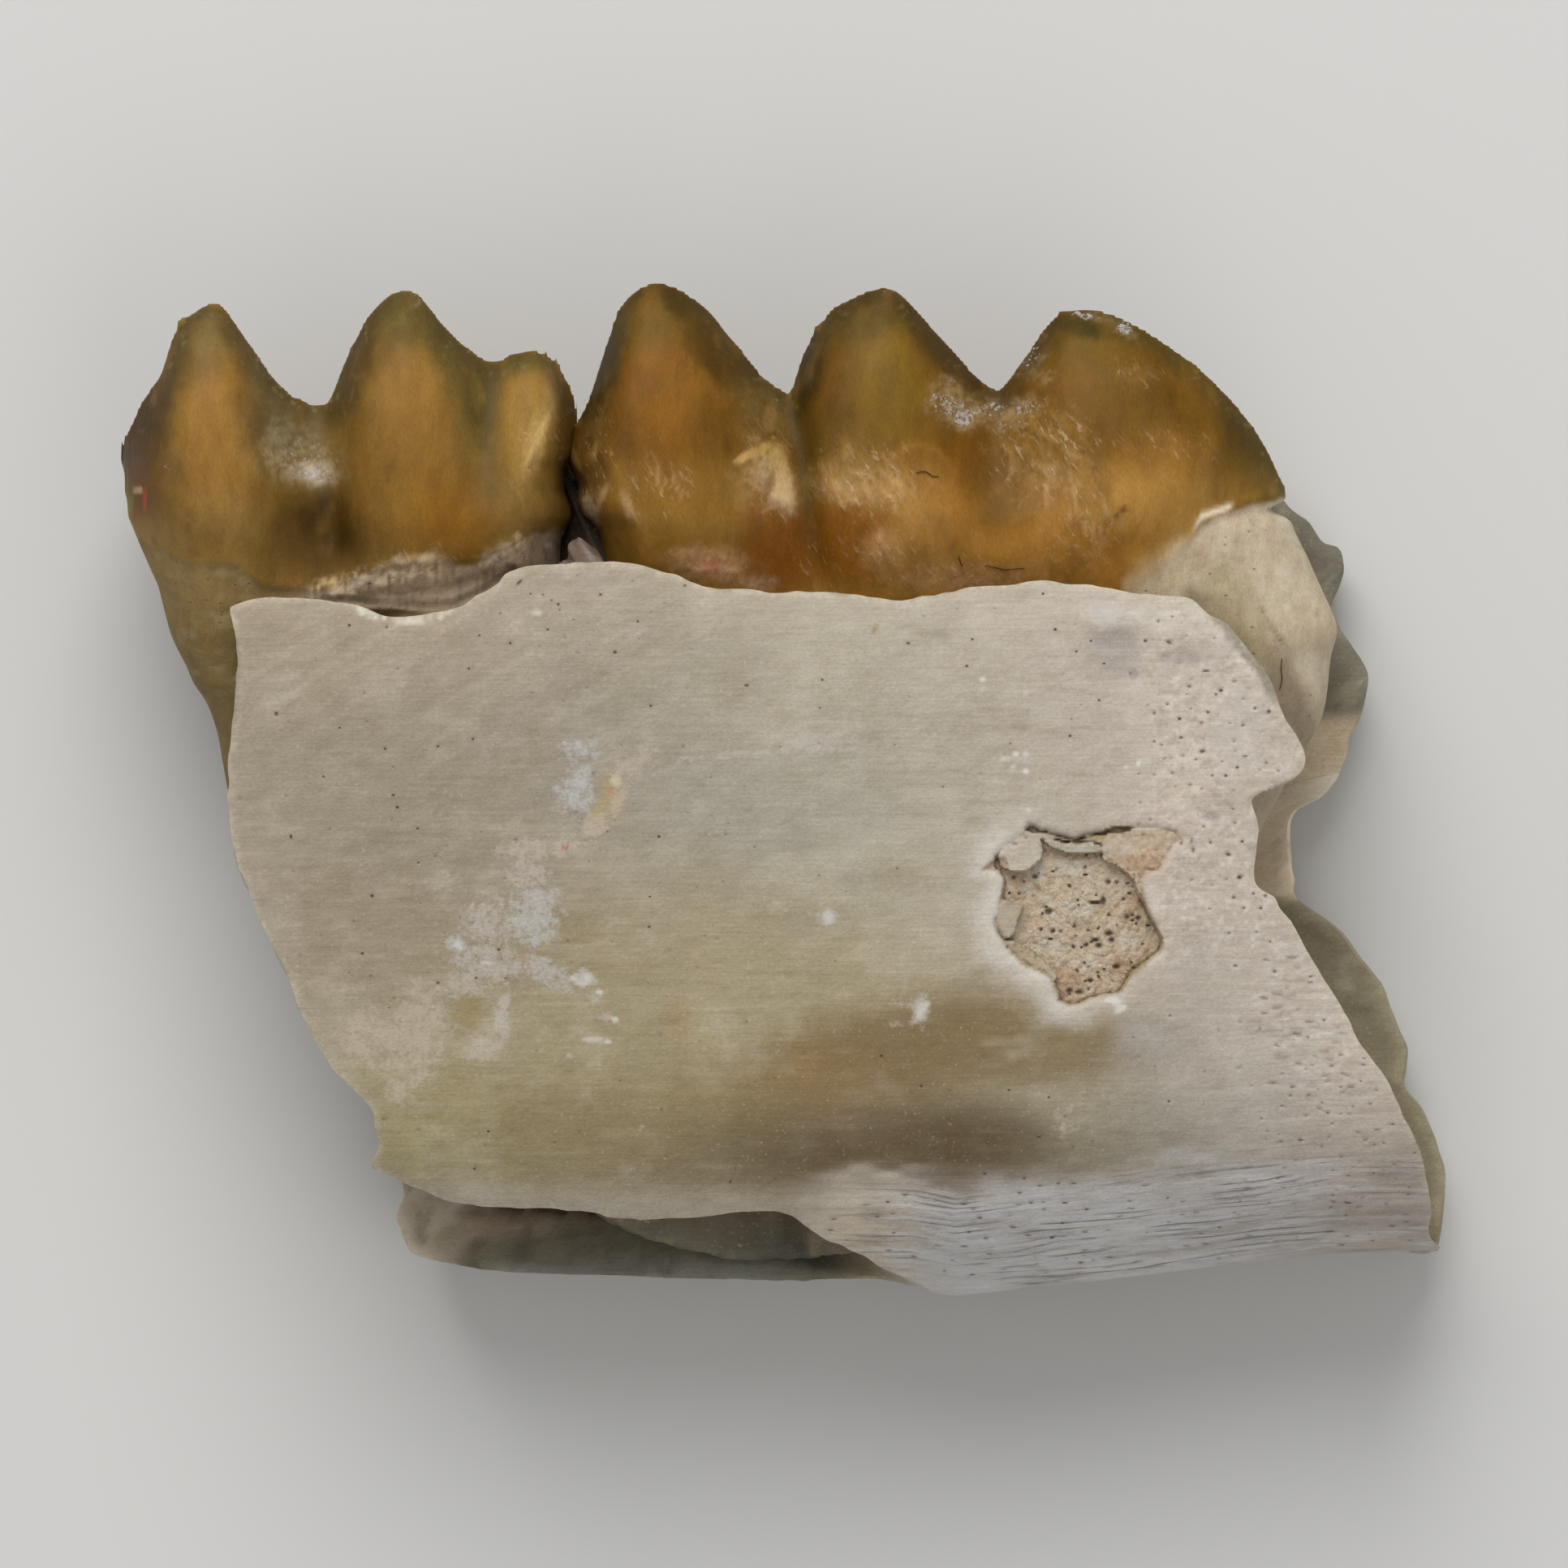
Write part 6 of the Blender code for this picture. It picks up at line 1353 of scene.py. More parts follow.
    # third lobe
    p.lay(p.blob(1400, 470, 110, 62, 30, 0.6, 0.25), (142, 112, 46), 0.85)
    p.lay(p.blob(1340, 430, 40, 34, 0, 0.7, 0.3), (148, 122, 56), 0.6)
    p.lay(p.blob(1330, 402, 44, 10, 12, 0.6, 0.5), (74, 74, 26), 0.85)
    p.lay(p.blob(1450, 500, 70, 40, 40, 0.6, 0.3), (130, 98, 30), 0.7)
    p.lay(p.blob(1540, 560, 34, 60, -30, 0.6, 0.3), (112, 94, 26), 0.75)
    p.lay(p.blob(1422, 612, 84, 66, -10, 0.6, 0.25), (168, 130, 66), 0.9)
    p.lay(p.blob(1452, 552, 34, 14, 10, 0.6, 0.6, 0.5), (186, 148, 100), 0.6)
    p.lay(p.blob(1400, 460, 22, 10, 0, 0.6, 0.6, 0.5), (170, 136, 90), 0.5)
    p.lay(p.blob(1310, 590, 52, 100, 0, 0.6, 0.35), (160, 122, 66), 0.65)
    p.lay(p.blob(1290, 680, 80, 42, 0, 0.6, 0.3), (162, 112, 42), 0.75)
    p.lay(p.blob(1390, 690, 60, 30, 0, 0.6, 0.3), (156, 108, 40), 0.6)
    p.lay(p.blob(1180, 712, 70, 16, 0, 0.6, 0.6, 0.5), (190, 150, 112), 0.6)
    p.lay(p.blob(1272, 700, 26, 16, 0, 0.5, 0.6, 0.5), (190, 148, 100), 0.6)
    for cu, cv, ru, rv in ((1330, 385, 22, 5), (1358, 390, 16, 7), (1384, 402, 12, 9), (1394, 412, 8, 6)):
        p.lay(p.blob(cu, cv, ru, rv, 20, 0.5, 0.6, 0.6), (206, 198, 190), 0.85)
    p.lay(p.blob(1228, 600, 38, 62, 0, 0.7, 0.3), (102, 74, 21), 0.72)
    p.lay(p.blob(1420, 600, 76, 48, -6, 0.8, 0.2), (176, 134, 66), 0.5)
    p.lay(p.blob(1300, 685, 84, 30, 0, 0.7, 0.3), (174, 132, 64), 0.62)
    p.lay(p.blob(1384, 628, 5, 4, 0, 0.5, 0.3), (96, 62, 26), 0.8)
    p.lay(p.blob(1376, 636, 4, 3, 0, 0.5, 0.3), (96, 62, 26), 0.7)
    off = from_line(np.stack([u, v], 1), curve(THIRD_TOP, 12, False)) + 5 * noise(u / 15.0, v / 15.0, z, 248)
    edge = smooth(32, 2, off)
    # painted shade: a dark olive rim along the crown's top outline, darker still on the third lobe, over the thin
    # see-through enamel
    p.lay(edge, (76, 66, 30), 0.75)
    p.lay(smooth(18, 4, off) * smooth(1380, 1420, u), (104, 92, 30), 0.6)
    sugar = fbm(u / 9.0, v / 9.0, z, 241, 3, 0.7)
    p.lay(edge * smooth(0.2, 0.6, sugar), (170, 154, 128), 0.4)
    # pale tan on the enamel folds: partly their colour, partly painted sheen
    fold = smooth(0.008, 0.045, wrinkles(u, v))
    p.lay(fold, (218, 186, 146), 0.34)
    # painted highlights: bright slanted streaks on the whitish folded wedge
    p.lay(p.blob(950, 580, 17, 46, -22, 0.6, 0.5, 0.5), (214, 196, 168), 0.75)
    p.lay(p.blob(968, 612, 9, 20, -30, 0.6, 0.5, 0.4), (206, 186, 150), 0.55)
    p.lay(p.blob(930, 557, 24, 7, -27, 0.22, 0.4), (232, 202, 152), 0.7)
    p.lay(p.blob(963, 588, 12, 34, -12, 0.25, 0.5), (214, 186, 140), 0.6)
    p.lay(p.blob(948, 600, 5, 26, 16, 0.3, 0.5), (128, 96, 48), 0.6)
    p.lay(p.blob(948, 516, 8, 18, 6, 0.35, 0.5), (176, 144, 118), 0.5)
    p.lay(p.blob(944, 540, 26, 4, -30, 0.3, 0.4), (120, 92, 52), 0.55)
    # pale over the two fold fields: partly their colour, partly painted sheen
    p.lay(p.blob(1290, 556, 54, 40, 25, 0.7, 0.4, 0.6), (196, 166, 118), 0.4)
    p.lay(p.blob(1066, 596, 50, 26, 10, 0.7, 0.4, 0.6), (194, 164, 114), 0.4)
    margin = np.interp(u, [1380, 1403, 1426, 1445, 1464, 1480, 1506, 1541, 1564, 1583, 1600], [740, 718, 703, 687, 672, 645, 636, 622, 615, 613, 600])
    off = v - margin + 3 * noise(u / 14.0, v / 14.0, z, 242)
    rear = smooth(1376, 1392, u)
    p.lay(rear * smooth(-60, 0, off) * smooth(1500, 1440, u), (176, 144, 84), 0.7)
    w = smooth(1490, 1440, u)
    below = np.maximum(rear * smooth(-3 - 34 * w, 5 + 18 * w, off), smooth(742, 760, v))
    p.lay(below, (203, 189, 165), 0.97)
    p.lay(below * smooth(0.0, 0.5, fbm(u / 16.0, v / 16.0, z * 2, 252, 4, 0.65)), (216, 204, 186), 0.6)
    p.lay(below * smooth(-0.05, -0.5, fbm(u / 13.0, v / 13.0, z * 2, 253, 4, 0.65)), (176, 158, 130), 0.55)
    p.lay(rear * smooth(0, 24, off) * smooth(60, 20, off) * smooth(1500, 1440, u), (188, 168, 126), 0.45)
    # painted shadow cast by the near wall's edge on the root
    p.lay(below * smooth(30, 3, from_line(np.stack([u, v], 1), [(1470, 738), (1502, 764), (1530, 794), (1571, 853), (1592, 900), (1608, 927)])), (128, 112, 80), 0.6)
    p.lay(below * np.exp(-((from_line(np.stack([u, v], 1), [(1555, 750), (1566, 772), (1590, 800)]) / 2.4) ** 2)), (132, 112, 86), 0.6)
    p.lay(below * smooth(760, 900, v - 0.3 * (u - 1550)), (172, 160, 138), 0.8)
    # painted shade on the root beside the near wall's edge
    p.lay(p.blob(1530, 760, 26, 70, -35, 0.6, 0.4), (166, 150, 118), 0.6)
    p.lay(p.blob(1590, 860, 20, 60, -18, 0.6, 0.4), (142, 128, 108), 0.75)
    p.lay(p.blob(1610, 800, 18, 70, -16, 0.6, 0.4), (203, 190, 168), 0.6)
    # painted highlight: a glossy white glint just above the enamel margin of the third lobe, kept off the root mask
    p.lay(np.exp(-(((v - margin + 8) / 5.0) ** 2)) * rear * smooth(1466, 1482, u) * smooth(1524, 1512, u), (240, 230, 212), 0.95)
    below = below * (1 - np.exp(-(((v - margin + 8) / 5.0) ** 2)) * rear * smooth(1466, 1482, u) * smooth(1524, 1512, u))
    soft = fbm(x * 2.4, y * 1.3, z * 2, 244, 4, 0.55)
    p.lay(smooth(0.1, 0.6, soft) * (1 - below), (180, 138, 72), 0.22)
    p.lay(smooth(-0.1, -0.6, soft) * (1 - below), (88, 62, 20), 0.28)
    sugary = np.maximum.reduce([
        p.blob(1170, 500, 34, 22, 20, 0.7, 0.3), p.blob(1190, 514, 18, 16, 0, 0.6, 0.3) * 1.2, p.blob(1170, 474, 14, 12, 30, 0.6, 0.3) * 0.8,
        p.blob(1222, 505, 26, 14, 0, 0.6, 0.3), p.blob(1262, 500, 30, 13, -10, 0.6, 0.3), p.blob(1272, 440, 13, 26, 25, 0.6, 0.3) * 0.9,
        p.blob(1244, 522, 26, 10, 0, 0.6, 0.3) * 0.8, p.blob(1340, 389, 26, 7, 12, 0.6, 0.3) * 1.1, p.blob(1386, 404, 14, 9, 30, 0.6, 0.3) * 1.2,
        p.blob(955, 480, 18, 26, -25, 0.7, 0.3) * 0.7, p.blob(745, 520, 18, 34, 0, 0.7, 0.3) * 0.55, p.blob(812, 350, 14, 6, 0, 0.6, 0.3) * 0.6,
        p.blob(1092, 356, 16, 8, 0, 0.6, 0.3) * 0.7, p.blob(880, 700, 46, 12, 10, 0.7, 0.3) * 0.6, p.blob(940, 716, 18, 7, 0, 0.6, 0.3) * 0.8,
        p.blob(1180, 716, 60, 10, 0, 0.7, 0.3) * 0.55, 0.35 * edge])
    return p.rgb, below, sugary * (1 - below)


def strand(points, verts, thick=0.7):
    """A thread of dust lying on a surface: a thin closed tube, points in survey units."""
    line = curve(points, 3.0, False)
    u, v = survey(verts[:, 0], verts[:, 1])
    spine = []
    for pu, pv in line:
        near = (np.abs(u - pu) < 6) & (np.abs(v - pv) < 6)
        spine.append((float(mm_x(pu)), float(mm_y(pv)), verts[near, 2].max() + 0.006))
    spine = np.array(spine)
    spine[:, 2] = np.convolve(np.pad(spine[:, 2], 2, mode="edge"), np.ones(5) / 5, "valid")
    run = np.gradient(spine, axis=0)
    across = np.stack([-run[:, 1], run[:, 0], np.zeros(len(run))], 1)
    across /= np.maximum(np.linalg.norm(across, axis=1), 1e-9)[:, None]
    radius = thick / GRID * np.sin(np.linspace(0.35, math.pi - 0.35, len(spine))) ** 0.3
    pts, quads, n = [], [], 6
    for i, (c, side) in enumerate(zip(spine, across)):
        for k in range(n):
            t = 2 * math.pi * k / n
            pts.append(c + radius[i] * (math.cos(t) * side + math.sin(t) * np.array((0, 0, 1.0))))
            if i < len(spine) - 1:
                j, l = i * n + k, i * n + (k + 1) % n
                quads.append((j, j + n, l + n, l))
    last = (len(spine) - 1) * n
    caps = [(0, k, k + 1) for k in range(1, n - 1)] + [(last, last + k + 1, last + k) for k in range(1, n - 1)]
    return np.array(pts), np.array(quads), np.array(caps)


def tooth(name, top, base, roots, grooves, half, ends, sides, detail, paint, fields, shade, dust=(), cell=1.0):
    step = STEP * cell
    f, origin = tooth_field(top, base, roots, grooves, half, ends, sides, step, detail)
    verts, quads = surface_nets(f, origin, step)
    verts = soften(verts, quads, 3)
    u, v = survey(verts[:, 0], verts[:, 1])
    colour, rooty, sugary = paint(u, v, verts[:, 2])
    colour = colour * (1 - (1 - shade(u, v)) * (1 - rooty[:, None]))
    verts[:, 2] += 0.022 * fbm(u / 13.0, v / 13.0, verts[:, 2] * 3, 251, 4, 0.65) * rooty * smooth(TOOTH_Z + 0.1, TOOTH_Z + 0.8, verts[:, 2])
    p = Paint(u, v, (0, 0, 0), verts[:, 2], 990)
    fold = np.zeros(len(u))
    for cu, cv, ru, rv, turn, strength in fields:
        fold = np.maximum(fold, strength * p.blob(cu, cv, ru, rv, turn, 0.7, 0.4))
    fold = fold * smooth(TOOTH_Z, TOOTH_Z + 0.4, verts[:, 2])
    tris = np.zeros((0, 3), int)
    for points in dust:
        pts, sides_of, caps = strand(points, verts)
        quads, tris = np.concatenate([quads, sides_of + len(verts)]), np.concatenate([tris, caps + len(verts)])
        verts = np.concatenate([verts, pts])
        extra = np.zeros(len(pts))
        colour = np.concatenate([colour, np.tile(linear((46, 36, 24)), (len(pts), 1))])
        rooty, fold, sugary = np.concatenate([rooty, extra]), np.concatenate([fold, extra]), np.concatenate([sugary, extra])
    return new_mesh(name, verts, tris, quads, {"paint": colour, "root": rooty, "fold": fold, "sugar": sugary})


STEP = 0.052


# ---------------------------------------------------------------------------------------------------------------------
# Sediment in the window
# ---------------------------------------------------------------------------------------------------------------------
def sediment():
    rng = np.random.default_rng(19)
    loop = curve(WINDOW, 3.6)
    angle, radius = polar(loop, WINDOW_HUB)
    radius = radius + 0.05
    hx, hy = float(mm_x(WINDOW_HUB[0])), float(mm_y(WINDOW_HUB[1]))
    m = len(angle)
    edge = np.stack([hx + radius * np.cos(angle), hy + radius * np.sin(angle)], 1)
    inner = hexes(edge.min(0), edge.max(0), 0.030)
    a = np.arctan2(inner[:, 1] - hy, inner[:, 0] - hx) % (2 * np.pi)
    r = np.hypot(inner[:, 1] - hy, inner[:, 0] - hx)
    inner = inner[r < at_angle(a, angle, radius) - 0.025]
    tris = triangulate(edge, inner)
    flat = np.concatenate([edge, inner])
    x, y = flat.T
    u, v = survey(x, y)
    a = np.arctan2(y - hy, x - hx) % (2 * np.pi)
    inset = at_angle(a, angle, radius) - np.hypot(y - hy, x - hx)
    deep = 0.235 + 0.10 * smooth(1370, 1425, u) * smooth(1090, 1110, v) + 0.05 * smooth(1250, 1270, u) * smooth(1290, 1270, u) * smooth(1070, 1100, v)
    rough = 0.050 * fbm(x * 2.6, y * 2.6, 0, 401, 5, 0.62) + 0.028 * fbm(x * 9.0, y * 9.0, 0, 402, 3, 0.6)
    grains = np.zeros(len(u))
    tone = np.zeros(len(u))
    for _ in range(420):  # sand grains
        gu, gv = rng.uniform(1225, 1450), rng.uniform(1018, 1238)
        gr = rng.uniform(1.8, 5.0)
        t = rng.uniform(-1, 1)
        near = (np.abs(u - gu) < gr) & (np.abs(v - gv) < gr)
        d = np.hypot(u[near] - gu, v[near] - gv) / gr
        lump = np.sqrt(np.clip(1 - d * d, 0, 1))
        grains[near] = np.maximum(grains[near], lump * gr / GRID * 0.55)
        tone[near] = np.where(lump > 0.2, t, tone[near])
    holes = np.zeros(len(u))
    spots = [(1350, 1112, 9, 2.4), (1359, 1110, 3, 6), (1292, 1123, 5, 4), (1366, 1150, 5, 3.4), (1369, 1158, 3.5, 3.2), (1338, 1164, 3, 3),
             (1297, 1147, 3.2, 3), (1365, 1087, 3.2, 3), (1375, 1191, 4.4, 3), (1349, 1158, 5, 2.2), (1354, 1165, 4, 3), (1386, 1058, 3, 3),
             (1275, 1080, 4, 3), (1388, 1130, 3, 3), (1402, 1131, 3, 3), (1343, 1208, 4, 3), (1318, 1220, 4, 3), (1330, 1222, 5, 3)]
    spots += [(rng.uniform(1235, 1430), rng.uniform(1035, 1230), rng.uniform(1.2, 2.4), rng.uniform(1.1, 2.0)) for _ in range(80)]
    for hu, hv, ha, hb in spots:
        near = (np.abs(u - hu) < ha * 2.5) & (np.abs(v - hv) < hb * 2.5)
        d = np.hypot((u[near] - hu) / ha, (v[near] - hv) / hb)
        holes[near] = np.maximum(holes[near], 1 - smooth(0.55, 1.35, d))
    z = face_height(u, v) - deep + rough + grains - 0.07 * holes
    z = z - 0.05 * smooth(0.12, 0.04, inset)
    p = Paint(u, v, (210, 194, 172), seed=430)
    q = fbm(u / 26.0, v / 26.0, 0, 431, 4, 0.6)
    p.lay(smooth(0.0, 0.5, q), (200, 178, 148), 0.6)
    p.lay(smooth(-0.05, -0.5, q), (216, 206, 190), 0.7)
    p.lay(smooth(0.3, 0.9, tone) * (grains > 0), (218, 210, 196), 0.55)
    p.lay(smooth(-0.3, -0.9, tone) * (grains > 0), (172, 142, 104), 0.45)
    for cu, cv, ru, rv in ((1318, 1068, 18, 10), (1276, 1075, 12, 8), (1390, 1160, 16, 12), (1295, 1168, 16, 8), (1335, 1188, 20, 8), (1335, 1122, 12, 8), (1262, 1100, 8, 8)):
        p.lay(p.blob(cu, cv, ru, rv, 0, 0.5, 0.7, 0.5), (226, 218, 206), 0.8)
    for cu, cv, ru, rv in ((1310, 1205, 30, 20), (1390, 1195, 24, 16), (1400, 1120, 14, 26), (1320, 1052, 40, 7), (1256, 1100, 10, 26), (1420, 1052, 26, 12)):
        p.lay(p.blob(cu, cv, ru, rv, 0, 0.6, 0.6, 0.3), (178, 142, 104), 0.5)
    p.lay(smooth(0.10, 0.04, inset), (140, 114, 86), 0.35)
    p.lay(holes, (84, 68, 54), 0.8)
    rows = [(radius - 0.01, z[:m] - 0.25), (radius - 0.05, np.full(m, 5.0)), (radius * 0.96, np.full(m, 4.72))]
    band = [np.stack([hx + r * np.cos(angle), hy + r * np.sin(angle), zz], 1) for r, zz in rows]
    first = len(flat)
    verts = np.concatenate([np.concatenate([flat, z[:, None]], 1), *band, [[hx, hy, 4.70]]])
    rings = [np.arange(m)] + [first + k * m + np.arange(m) for k in range(3)]
    quads = np.concatenate([np.stack([s, t, np.roll(t, -1), np.roll(s, -1)], 1) for s, t in zip(rings, rings[1:])])
    last = rings[-1]
    foot = np.stack([np.roll(last, -1), last, np.full(m, len(verts) - 1)], 1)
    colour = np.concatenate([p.rgb, np.tile(linear((120, 96, 66)), (3 * m + 1, 1))])
    return new_mesh("sediment_detail", verts, np.concatenate([tris, foot]), quads, {"paint": colour}, sharp=60)


# ---------------------------------------------------------------------------------------------------------------------
# Materials
# ---------------------------------------------------------------------------------------------------------------------
class Nodes:
    def __init__(self, name):
        self.mat = bpy.data.materials.new(name)
        self.mat.use_nodes = True
        self.tree = self.mat.node_tree
        self.tree.nodes.clear()
        self.out = self.tree.nodes.new("ShaderNodeOutputMaterial")
        self.shader = self.tree.nodes.new("ShaderNodeBsdfPrincipled")
        self.tree.links.new(self.shader.outputs[0], self.out.inputs[0])
        tex = self.tree.nodes.new("ShaderNodeTexCoord")
        self.place = self.vector("SCALE", tex.outputs["Object"], scale=1000.0)

    def link(self, value, socket):
        if hasattr(value, "is_output"):
            self.tree.links.new(value, socket)
        else:
            socket.default_value = value

    def vector(self, kind, a, b=None, scale=None):
        n = self.tree.nodes.new("ShaderNodeVectorMath")
        n.operation = kind
        self.link(a, n.inputs[0])
        if b is not None:
            self.link(b, n.inputs[1])
        if scale is not None:
            self.link(scale, n.inputs["Scale"])
        return n.outputs[0]

    def math(self, kind, a, b=0.0, clamp=False):
        n = self.tree.nodes.new("ShaderNodeMath")
        n.operation = kind
        n.use_clamp = clamp
        self.link(a, n.inputs[0])
        self.link(b, n.inputs[1])
        return n.outputs[0]

    def texture(self, at, scale, detail=4.0, rough=0.55, distortion=0.0):
        n = self.tree.nodes.new("ShaderNodeTexNoise")
        n.inputs["Scale"].default_value = scale
        n.inputs["Detail"].default_value = detail
        n.inputs["Roughness"].default_value = rough
        n.inputs["Distortion"].default_value = distortion
        self.tree.links.new(at, n.inputs["Vector"])
        return n.outputs["Fac"]

    def noise(self, scale, stretch=(1, 1, 1), detail=4.0, rough=0.55, distortion=0.0, turn=0.0):
        at = self.place
        if turn:
            r = self.tree.nodes.new("ShaderNodeVectorRotate")
            r.rotation_type = "Z_AXIS"
            r.inputs["Angle"].default_value = math.radians(turn)
            self.tree.links.new(at, r.inputs["Vector"])
            at = r.outputs[0]
        return self.texture(self.vector("MULTIPLY", at, stretch), scale, detail, rough, distortion)

    def join(self, x, y, z):
        n = self.tree.nodes.new("ShaderNodeCombineXYZ")
        for value, socket in zip((x, y, z), n.inputs):
            self.link(value, socket)
        return n.outputs[0]

    def split(self, value):
        n = self.tree.nodes.new("ShaderNodeSeparateXYZ")
        self.tree.links.new(value, n.inputs[0])
        return n.outputs

    def parts(self, colour):
        n = self.tree.nodes.new("ShaderNodeSeparateColor")
        self.tree.links.new(colour, n.inputs[0])
        return n.outputs

    def cells(self, scale, stretch=(1, 1, 1), feature="F1"):
        at = self.vector("MULTIPLY", self.place, stretch)
        n = self.tree.nodes.new("ShaderNodeTexVoronoi")
        n.feature = feature
        n.inputs["Scale"].default_value = scale
        self.tree.links.new(at, n.inputs["Vector"])
        return n.outputs["Distance"], n.outputs.get("Color")

    def band(self, value, low, high, to_low=0.0, to_high=1.0):
        n = self.tree.nodes.new("ShaderNodeMapRange")
        n.interpolation_type = "SMOOTHSTEP"
        for socket, x in zip((n.inputs[0], n.inputs[1], n.inputs[2], n.inputs[3], n.inputs[4]), (value, low, high, to_low, to_high)):
            self.link(x, socket)
        return n.outputs[0]

    def attribute(self, name, colour=False):
        n = self.tree.nodes.new("ShaderNodeAttribute")
        n.attribute_name = name
        return n.outputs["Color" if colour else "Fac"]

    def blend(self, kind, factor, a, b):
        n = self.tree.nodes.new("ShaderNodeMix")
        n.data_type = "RGBA"
        n.blend_type = kind
        self.link(factor, n.inputs[0])
        self.link(a, n.inputs[6])
        self.link(b, n.inputs[7])
        return n.outputs[2]

    def bump(self, height, strength, distance, normal=None):
        n = self.tree.nodes.new("ShaderNodeBump")
        n.inputs["Strength"].default_value = strength
        n.inputs["Distance"].default_value = distance
        self.tree.links.new(height, n.inputs["Height"])
        if normal is not None:
            self.tree.links.new(normal, n.inputs["Normal"])
        return n.outputs[0]

    def set(self, **values):
        for key, value in values.items():
            self.link(value, self.shader.inputs[key.replace("_", " ")])


def rgb(r, g, b):
    return (*[float(c) for c in linear((r, g, b))], 1.0)


